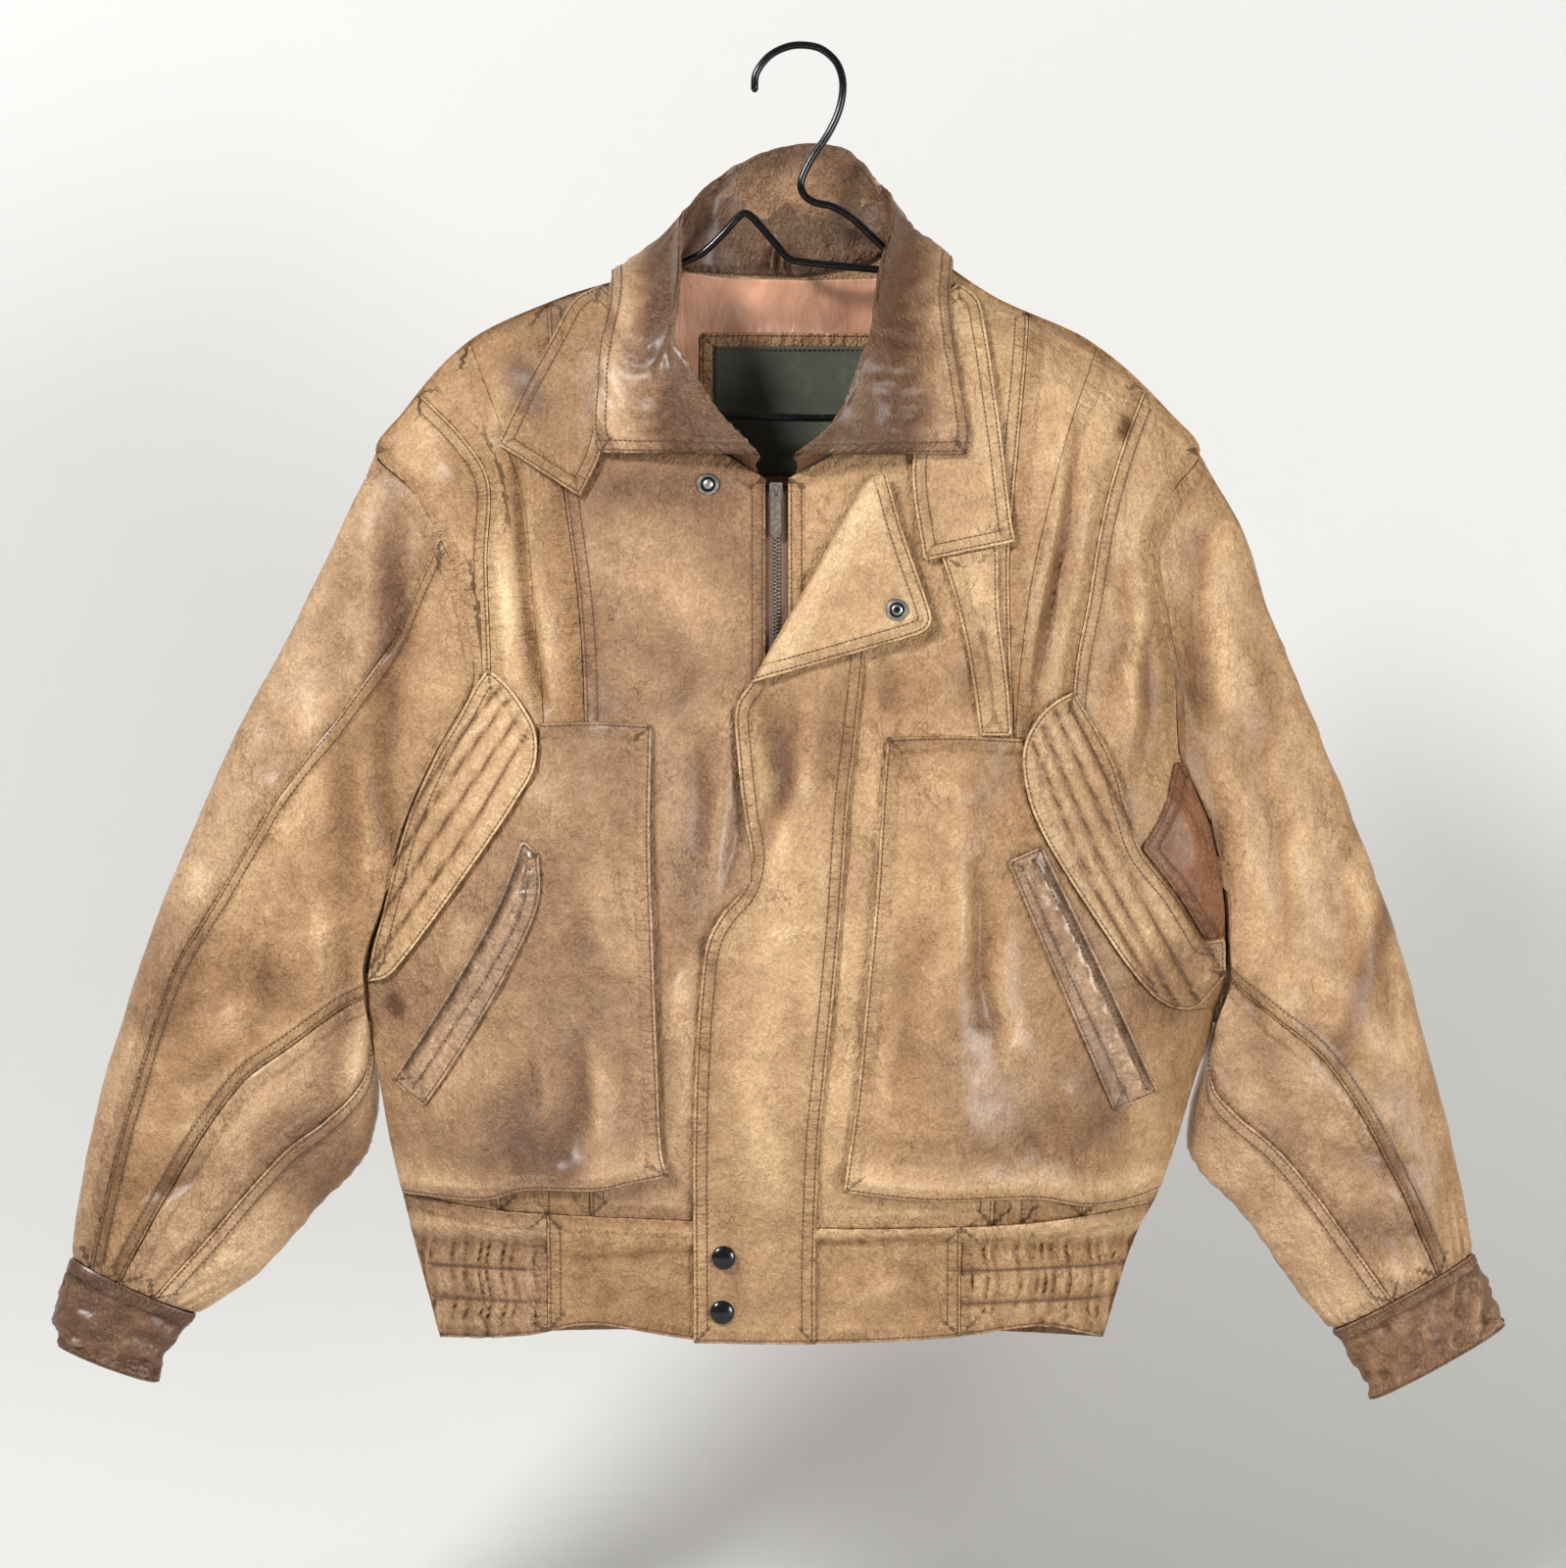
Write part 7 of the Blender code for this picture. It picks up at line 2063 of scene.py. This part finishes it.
def band_cuts():
    """The waistband of each front: a gathered side part and a plain part by the zip."""
    cuts = {}
    for side, waist, hem, seam_x, end_x in (("r", WAIST_R, HEM_R, BAND_SEAM_R, -24.5),
                                            ("l", WAIST_L, HEM_L, BAND_SEAM_L, -12.5)):
        outer = rim_line(side, (waist[0] if side == "r" else waist[-1])[1], -830)
        cross = straight((seam_x, level_at(waist, seam_x)), (seam_x, level_at(hem, seam_x)))
        front = straight((end_x, level_at(waist, end_x)), (end_x, level_at(hem, end_x)))
        cuts["band_side_" + side] = Cut([
            (between(waist, outer[0, 0], seam_x), "seamed"), (cross, "seamed"),
            (between(hem, seam_x, outer[-1, 0]), "single"), (outer[::-1], "turned")],
            form=elastic_form(1 if side == "r" else -1), step=1.9)
        cuts["band_front_" + side] = Cut([
            (between(waist, seam_x, end_x), "seamed"), (front, "single"),
            (between(hem, end_x, seam_x), "single"), (cross[::-1], "topstitched")], form=plain_band_form)
    return cuts


# ---------------------------------------------------------------- steps that build the pieces


WELT_ROWS_R = (((-184, -528), (-196, -556), (-224, -604), (-258, -655)),
               ((-172, -528), (-178, -556), (-205, -604), (-248, -668)))
WELT_ROWS_L = (((146, -522), (186, -600), (218, -668)), ((137, -526), (172, -604), (206, -674)))
GUSSET_ROWS = (((232, -542), (248, -548)), ((236, -550), (252, -556)), ((241, -558), (255, -563)))


def elastic_rows(x_from, x_to):
    return [((x_from, z), (x_to, z)) for z in ELASTIC_ROWS]


def build_fronts():
    sew_cuts("fronts", front_cuts())


def build_backs():
    sew_cuts("back", back_cuts(), BACK_STAINS, {"band_back": elastic_rows(-240, 205)})


def build_bands():
    sew_cuts("bands", band_cuts(), inner={"band_side_r": elastic_rows(-250, BAND_SEAM_R),
                                          "band_side_l": elastic_rows(BAND_SEAM_L, 225)})


def build_laid():
    sew_cuts("laid", laid_cuts(), held="laid",
             inner={"leaf_r": QUILT_R, "leaf_l": QUILT_L, "welt_r": WELT_ROWS_R, "welt_l": WELT_ROWS_L,
                    "gusset_l": GUSSET_ROWS})


def build_flap():
    main, corner = flap_cuts()
    obj = main.build("storm_flap", own_level("storm_flap", STAINS))
    dressed(obj, "storm_flap")
    fold = corner.build("storm_flap_turn", level(0.3, 0.0, ()))
    finish_piece(fold, finish_named("leather_light"), None)
    sew("stitches_flap", main.rows() + corner.rows())


def build_sleeves():
    for side in "rl":
        rows = []
        spots = SLEEVE_STAINS_AND_SHADE_R if side == "r" else SLEEVE_STAINS_AND_SHADE_L
        for part, loft in sleeve_panels(side).items():
            _, own, gloss = LOOKS["sleeve_" + part]
            tone, shine = tone_of(loft.grid, own, spots, gloss)
            form = sleeve_form(side)
            obj = loft.build(f"sleeve_{part}_{side}", 2.0, form, 4, tone, shine)
            dressed(obj, f"sleeve_{part}_{side}", "sleeve_" + part)
            rows += loft.rows(form)
        sew("stitches_sleeve_" + side, rows)


def build_cuffs():
    for side, seed in (("r", 81), ("l", 84)):
        loft = cuff_loft(side)
        name = "cuff_" + side
        _, own, gloss = LOOKS[name]
        tone, shine = tone_of(loft.grid, own, (), gloss)
        form = cuff_form(seed)
        obj = loft.build(name, 2.0, form, 3, tone, shine)
        dressed(obj, name)
        sew("stitches_" + name, loft.rows(form))


def build_collar():
    grid = collar_grid()[::-1]
    loft = Loft(grid, left="seamed", right="laid", top="laid", foot="laid")
    share = loft.across / loft.across[:, -1:]
    _, own, gloss = LOOKS["collar"]
    roll = bump_at(share, 0.5, 0.13)
    stand = 1 - soft_step(share, 0.36, 0.5)
    flat = np.stack((loft.down.ravel(), loft.across.ravel()), axis=1)
    patchy = waves(flat, 19, (46, 20, 9), 0.55).reshape(share.shape)
    place = loft.down / loft.down[-1:]
    nape_highlight = bump_at(place, 0.5, 0.17) * bump_at(share, 0.56, 0.09)
    # Tone of the collar: darker towards the wearer's left front end and along the roll; the stand below the
    # roll darker still, painted shade; a pale patch just past the roll at the nape, a painted highlight;
    # paler towards the edge of the fall; uneven patches over all.
    tone = (own - 0.3 * (1 - soft_step(place, 0.2, 0.4)) - 0.95 * roll - 1.8 * stand
            + 0.75 * soft_step(share, 0.6, 0.9) + 0.8 * nape_highlight + patchy)
    shine = gloss + 0.2 * roll + 0.3 * stand
    obj = loft.build("collar", 2.2, collar_form, 3, tone, shine)
    dressed(obj, "collar")
    sew("stitches_collar", loft.rows(collar_form))


# Behind the neck, from the back forward: outline, how far in front of the back, edge, finish and slot.
INSIDE = {
    "neck_lining": (LINING, 6.0, "turned", "satin_salmon", "satin"),
    "label_frame": (LABEL_FRAME, 7.6, "single", "leather_tan", "leather_tan"),
    "label": (LABEL, 8.9, "turned", "label_olive", "label_cloth"),
}
LABEL_MIDDLE = (-5.5, -231.0)
LABEL_ROW_SIZE = (0.96, 0.95)      # of the row of stitches inside the label's edge, against the label
LABEL_ROW_NEAR = 9.1
LOOP_TOP = (-16.5, -123.6)


def build_inside():
    rows = []
    for name, (outline, near, style, finish, slot) in INSIDE.items():
        sides = [(straight(a, b), style) for a, b in zip(outline, outline[1:])]
        form = (lambda at, gaps: waves(at, 44, (60, 26, 12), 1.2)) if name == "neck_lining" else None
        cut = Cut(sides, near, 1.0, True, form, step=4.0, base=lambda at: body_y(at, False))
        obj = cut.build(name, level(0.0, 0.0, ()))
        finish_piece(obj, finish_named(finish), name)
        rows += cut.rows()
    middle = np.array(LABEL_MIDDLE)
    for a, b in zip(LABEL, LABEL[1:]):
        row = straight(a, b)
        y = body_y(row, False) - LABEL_ROW_NEAR
        row = middle + (row - middle) * np.array(LABEL_ROW_SIZE)
        rows.append(np.stack((row[:, 0], y, row[:, 1]), axis=1))
    sew("stitches_label", [row - np.array((0, 0.3, 0)) for row in rows], lift=0.0)
    x, z = LOOP_TOP
    y = body_y(np.array(((-16.0, -142.0),)), False)[0] - 4.4
    loop = tube("locker_loop", ((-20, y, -139), (-19.6, y - 0.5, -129), (x, y - 0.5, z),
                                (-13.4, y - 0.5, -129), (-13, y, -139)), 1.4, 12, 1.0)
    finish_piece(loop, finish_named("leather_dark"), "locker_loop")


def build_hanger():
    wire = tube("hanger", HANGER_PATH, bpy.context.scene.blouson_sizes.wire / MM)
    finish_piece(wire, finish_named("wire_black"), "hanger")


SLIDER_FACE = -54.8
ZIP_TOP = -290.0
ZIP_FOOT = -822.0
TAPES = {"r": (-33.0, -17.15), "l": (-16.85, -1.5)}
TOOTH_ROWS = {"r": (ZIP_X - 1.1, -300.0), "l": (ZIP_X + 1.1, -301.1)}
TOOTH = {"Width": 0.0042, "Height": 0.0022, "Depth": 0.0013}
TEETH_BEHIND = 2.2
PLATE = 1.2               # thickness of the slider's plates, and from one to the other
PLATE_GAP = 3.4


def build_zip():
    sizes = bpy.context.scene.blouson_sizes
    for side, (x0, x1) in TAPES.items():
        corners = (x0, ZIP_TOP), (x0, ZIP_FOOT), (x1, ZIP_FOOT), (x1, ZIP_TOP), (x0, ZIP_TOP)
        sides = [(straight(a, b), "turned") for a, b in zip(corners, corners[1:])]
        cut = Cut(sides, -3.0, 1.2, step=5.0)
        obj = cut.build("zip_tape_" + side, level(0.0, 0.0, ()))
        finish_piece(obj, finish_named("tape_brown"), "zip_tape_" + side)
    for side, (x, start) in TOOTH_ROWS.items():
        z = np.arange(start, ZIP_FOOT, -1.0)
        at = np.stack((np.full(len(z), x), z), axis=1)
        line = np.stack((at[:, 0], body_y(at) + TEETH_BEHIND, z), axis=1)
        values = {"Pitch": sizes.teeth, **TOOTH}
        repeat("zip_teeth_" + side, [line], teeth_tree, values, finish_named("bronze"))
    face = SLIDER_FACE
    outline = rounded(((-4.2, -284), (4.2, -284), (4.2, -292), (2.4, -299), (-2.4, -299), (-4.2, -292)), 1.4)
    outline = [(ZIP_X + x, z) for x, z in outline]
    plates = [slab("slider_front", outline, face, PLATE, bevel=0.35),
              slab("slider_back", outline, face + PLATE_GAP, PLATE, bevel=0.35),
              slab("slider_core", [(ZIP_X - 1.2, -284.6), (ZIP_X + 1.2, -284.6), (ZIP_X, -291)], face + 0.8,
                   3.0, bevel=0.1)]
    top, foot, out = PIVOT_Z + BRIDGE_HALF, PIVOT_Z - BRIDGE_HALF, face - BRIDGE_OUT
    wire = tube("slider_bridge", ((ZIP_X, face + 0.4, top), (ZIP_X, out + 1.4, top - 0.2),
                                  (ZIP_X, out + 0.55, top - 1.2), (ZIP_X, out + 0.55, foot + 1.2),
                                  (ZIP_X, out + 1.4, foot + 0.2), (ZIP_X, face + 0.4, foot)),
                0.5, 10, 0.4)
    slider = merged("zip_slider", plates + [wire])
    finish_piece(slider, finish_named("bronze"), "zip_slider")
    pull = rounded(((-2.6, PIVOT_Z + 0.6), (2.6, PIVOT_Z + 0.6), (2.7, -293), (3.1, -300), (3.2, -316),
                    (1.8, -318.5), (-1.8, -318.5), (-3.2, -316), (-3.1, -300), (-2.7, -293)), 0.8, 3)
    eye = rounded(((-1.3, PIVOT_Z - 0.5), (1.3, PIVOT_Z - 0.5), (1.3, -293), (-1.3, -293)), 0.6, 4)
    y = face - 1.25 - PULL_WALL / 2
    tab = slab("zip_pull", [(ZIP_X + x, z) for x, z in pull], y, PULL_WALL,
               [(ZIP_X + x, z) for x, z in eye], 0.25)
    finish_piece(tab, finish_named("bronze"), "zip_pull", "zip_pull")


def seat(cut, x, z, radius=5.0):
    """The highest point of a face under a round part."""
    at = np.array([(x + dx, z + dz) for dx in (-radius, 0, radius) for dz in (-radius, 0, radius)])
    return float(cut.y(at).min())


# Profiles of the snaps' turned parts: radius and height.
SNAP_RING = ((7.1, 0.0), (7.1, 0.5), (6.7, 1.2), (5.9, 1.7), (5.1, 1.6), (4.6, 1.0), (4.4, 0.4))
SNAP_POSTS = {
    "snap_stud": ((3.0, 0.3), (3.0, 1.3), (2.4, 1.5), (2.2, 2.2), (2.3, 2.6), (1.6, 2.9), (0.6, 3.0)),
    "snap_socket": ((4.4, 0.35), (3.4, 0.5), (3.2, 1.4), (2.6, 1.6), (2.2, 1.2), (2.0, 0.6), (0.6, 0.5)),
}
SNAP_PAD = ((5.0, 0.0), (5.0, 0.55), (0.5, 0.6))
SNAP_DOME = ((6.6, 0.0), (7.3, 0.5), (7.5, 1.1), (7.3, 1.7), (6.7, 2.2), (5.4, 2.8), (3.6, 3.3), (1.8, 3.55),
             (0.4, 3.6))


def build_snaps():
    main, corner = flap_cuts()
    for name, x, z in SNAPS_METAL:
        y = seat(corner if name == "snap_socket" else front_cuts()["front_centre_r"], x, z) + 0.2
        ring = turned(name + "_ring", x, y, z, SNAP_RING)
        obj = merged(name, [ring, turned(name + "_post", x, y, z, SNAP_POSTS[name])])
        finish_piece(obj, finish_named("nickel"), name)
        pad = turned(name + "_pad", x, y, z, SNAP_PAD)
        finish_piece(pad, finish_named("enamel_black"), None)
    for name, x, z in SNAPS_BLACK:
        dome = turned(name, x, seat(main, x, z) + 0.3, z, SNAP_DOME)
        finish_piece(dome, finish_named("enamel_black"), name)


# ---------------------------------------------------------------- stage


# The backdrop curves up from the floor to a wall, in metres; the lamps' places and sizes; the camera.
STAGE_HALF = 3.4
FLOOR_FRONT = -2.4
FLOOR_Z = -1.12
WALL_Y = 0.6
WALL_TOP = 1.4
STAGE_BEND = 0.5
KEY_LAMP = ((-2.0, -2.2, 1.35), 0.8)
FILL_LAMP = ((2.2, -2.3, -0.35), 1.3)
LAMPS_AIM = (0, 0, -0.47)
CAMERA_PLACE = (-0.0126, -2.53, -0.4744)
CAMERA_LENS = 90.0
CAMERA_SENSOR = 36.0


def paper_finish():
    """Matt paper, clear from behind, so that the object also shows from the other side."""
    colour = tuple(bpy.context.scene.blouson_colours.backdrop)
    paper = Finish("backdrop_paper", Base_Color=(*colour, 1), Roughness=0.9)
    tree = paper.tree
    clear = tree.nodes.new("ShaderNodeBsdfTransparent")
    mixed = tree.nodes.new("ShaderNodeMixShader")
    facing = paper.node("ShaderNodeNewGeometry", out="Backfacing")
    tree.links.new(facing.socket, mixed.inputs[0])
    tree.links.new(paper.shader.outputs[0], mixed.inputs[1])
    tree.links.new(clear.outputs[0], mixed.inputs[2])
    tree.links.new(mixed.outputs[0], tree.nodes["Material Output"].inputs["Surface"])
    return paper.material


def set_stage():
    scene = bpy.context.scene
    sizes = scene.blouson_sizes
    foot_y, bend_z = WALL_Y - STAGE_BEND, FLOOR_Z + STAGE_BEND
    profile = [(FLOOR_FRONT, FLOOR_Z), (foot_y, FLOOR_Z)]
    profile += [(foot_y + STAGE_BEND * math.sin(a), bend_z - STAGE_BEND * math.cos(a))
                for a in np.linspace(0.15, math.pi / 2, 14)]
    profile += [(WALL_Y, WALL_TOP)]
    verts = [(side * STAGE_HALF, y, z) for y, z in profile for side in (-1, 1)]
    faces = [(2 * k, 2 * k + 1, 2 * k + 3, 2 * k + 2) for k in range(len(profile) - 1)]
    mesh = bpy.data.meshes.new("backdrop")
    mesh.from_pydata(verts, [], faces)
    mesh.polygons.foreach_set("use_smooth", np.ones(len(faces), bool))
    backdrop = bpy.data.objects.new("backdrop", mesh)
    scene.collection.objects.link(backdrop)
    mesh.materials.append(paper_finish())
    lamps = [soft_light("key", *KEY_LAMP, sizes.key), soft_light("fill", *FILL_LAMP, sizes.fill)]
    world = bpy.data.worlds.new("studio")
    world.use_nodes = True
    sky = world.node_tree.nodes["Background"].inputs
    sky["Color"].default_value = (1, 1, 1, 1)
    sky["Strength"].default_value = sizes.sky
    scene.world = world
    lens = bpy.data.cameras.new("view")
    lens.sensor_width = CAMERA_SENSOR
    lens.lens = CAMERA_LENS
    camera = bpy.data.objects.new("view", lens)
    camera.location = CAMERA_PLACE
    camera.rotation_euler = (math.radians(90), 0, 0)
    scene.collection.objects.link(camera)
    scene.camera = camera
    scene.view_settings.view_transform = "Standard"


def soft_light(name, place, size, power):
    lamp = bpy.data.lights.new(name, "AREA")
    lamp.shape = "DISK"
    lamp.size = size
    lamp.energy = power
    obj = bpy.data.objects.new(name, lamp)
    obj.location = place
    obj.rotation_euler = (Vector(LAMPS_AIM) - Vector(place)).to_track_quat("-Z", "Y").to_euler()
    bpy.context.scene.collection.objects.link(obj)
    return obj


# ---------------------------------------------------------------- panel


def length_value(name, description, value):
    return bpy.props.FloatProperty(name=name, description=description, default=value, min=0.0,
                                   precision=5, subtype="DISTANCE", unit="LENGTH")


def power_value(name, description, value):
    return bpy.props.FloatProperty(name=name, description=description, default=value, min=0.0)


def dye(name, description, value):
    return bpy.props.FloatVectorProperty(name=name, description=description, default=value, size=3, min=0.0,
                                         max=1.0, subtype="COLOR")


class BlousonSizes(bpy.types.PropertyGroup):
    """Sizes that all the pieces share."""
    stitch_pitch: length_value("Stitch pitch", "From one stitch to the next", 0.0031)
    stitch_length: length_value("Stitch length", "Length of the thread that shows", 0.0024)
    thread: length_value("Thread", "Thickness of the thread", 0.0011)
    layer: length_value("Layer", "From the front to the face of a piece laid on it", 0.0027)
    teeth: length_value("Teeth", "From one zip tooth to the next on a side", 0.0024)
    wire: length_value("Wire", "Radius of the hanger's wire", 0.0025)
    key: power_value("Key light", "Power of the light at the front left, in watts", 122.0)
    fill: power_value("Fill light", "Power of the light at the right, in watts", 64.0)
    sky: power_value("Sky", "Strength of the even light all round", 0.2)


class BlousonColours(bpy.types.PropertyGroup):
    """Dyes of the leathers, from soiled to rubbed, and of the other materials."""
    tan_deep: dye("Tan, soiled", "Most soiled tone of the tan leather", (0.13, 0.058, 0.022))
    tan_pale: dye("Tan, rubbed", "Palest rubbed tone of the tan leather", (0.87, 0.63, 0.37))
    mid_deep: dye("Brown, soiled", "Most soiled tone of the brown leather", (0.11, 0.050, 0.023))
    mid_pale: dye("Brown, rubbed", "Palest rubbed tone of the brown leather", (0.80, 0.57, 0.35))
    dark_deep: dye("Chocolate, soiled", "Most soiled tone of the dark leather", (0.055, 0.022, 0.010))
    dark_pale: dye("Chocolate, rubbed", "Palest rubbed tone of the dark leather", (0.58, 0.39, 0.24))
    red_deep: dye("Red brown, soiled", "Most soiled tone of the gusset", (0.13, 0.045, 0.017))
    red_pale: dye("Red brown, rubbed", "Palest rubbed tone of the gusset", (0.62, 0.34, 0.16))
    light_deep: dye("Light tan, soiled", "Most soiled tone of the light leather", (0.15, 0.07, 0.03))
    light_pale: dye("Light tan, rubbed", "Palest rubbed tone of the light leather", (0.93, 0.69, 0.40))
    thread: dye("Thread", "The sewing thread", (0.06, 0.026, 0.012))
    satin: dye("Lining", "The satin lining", (0.95, 0.48, 0.30))
    label: dye("Label", "The bare woven label", (0.055, 0.06, 0.042))
    tape: dye("Zip tape", "The zip's woven tape", (0.15, 0.085, 0.055))
    bronze: dye("Bronze", "Aged metal of the zip", (0.42, 0.36, 0.32))
    metal: dye("Metal", "Plated metal of the zip and snaps", (0.52, 0.50, 0.47))
    black: dye("Black", "Black enamel and coated wire", (0.003, 0.003, 0.004))
    backdrop: dye("Backdrop", "The paper behind the object", (0.66, 0.66, 0.65))


def step(name, label, text, work):
    """An operator that does one step of the build."""
    def execute(self, context):
        work()
        return {"FINISHED"}
    fields = {"bl_idname": "blouson." + name, "bl_label": label, "bl_options": {"REGISTER", "UNDO"},
              "__doc__": text, "execute": execute}
    return type("BLOUSON_OT_" + name, (bpy.types.Operator,), fields)


STEPS = (
    step("stage", "Stage", "Set the backdrop, the lights and the camera", set_stage),
    step("fronts", "Fronts", "Sew the four panels of each front", build_fronts),
    step("backs", "Back", "Sew the back yoke, back and back band", build_backs),
    step("bands", "Waistband", "Sew the plain and the gathered parts of the band", build_bands),
    step("laid", "Laid pieces", "Lay the pockets, leaves, welts, gusset and collar flaps", build_laid),
    step("flap", "Storm flap", "Hang the storm flap with its turned corner", build_flap),
    step("sleeves", "Sleeves", "Hang the four panels of each sleeve", build_sleeves),
    step("cuffs", "Cuffs", "Sew the two cuffs", build_cuffs),
    step("collar", "Collar", "Roll the collar round the neck", build_collar),
    step("inside", "Inside", "Line the neck and sew in the bare label", build_inside),
    step("hanger", "Hanger", "Bend the wire hanger", build_hanger),
    step("zip", "Zip", "Fit the zip's tapes, teeth, slider and pull", build_zip),
    step("snaps", "Snaps", "Set the snaps", build_snaps),
)


class BLOUSON_PT_panel(bpy.types.Panel):
    """Lists the steps of the build."""
    bl_label = "Leather blouson"
    bl_idname = "BLOUSON_PT_panel"
    bl_space_type = "VIEW_3D"
    bl_region_type = "UI"
    bl_category = "Blouson"

    def draw(self, context):
        column_of_rows = self.layout.column()
        for one in STEPS:
            column_of_rows.operator(one.bl_idname)
        for group in (context.scene.blouson_sizes, context.scene.blouson_colours):
            for key in type(group).__annotations__:
                column_of_rows.prop(group, key)


CLASSES = (BlousonSizes, BlousonColours, *STEPS, BLOUSON_PT_panel)


def register():
    for one in CLASSES:
        bpy.utils.register_class(one)
    bpy.types.Scene.blouson_sizes = bpy.props.PointerProperty(type=BlousonSizes)
    bpy.types.Scene.blouson_colours = bpy.props.PointerProperty(type=BlousonColours)


def unregister():
    del bpy.types.Scene.blouson_sizes
    del bpy.types.Scene.blouson_colours
    for one in reversed(CLASSES):
        bpy.utils.unregister_class(one)


def main():
    register()
    for one in STEPS:
        getattr(bpy.ops.blouson, one.bl_idname.split(".")[1])()
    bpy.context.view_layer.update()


if __name__ == "__main__":
    main()
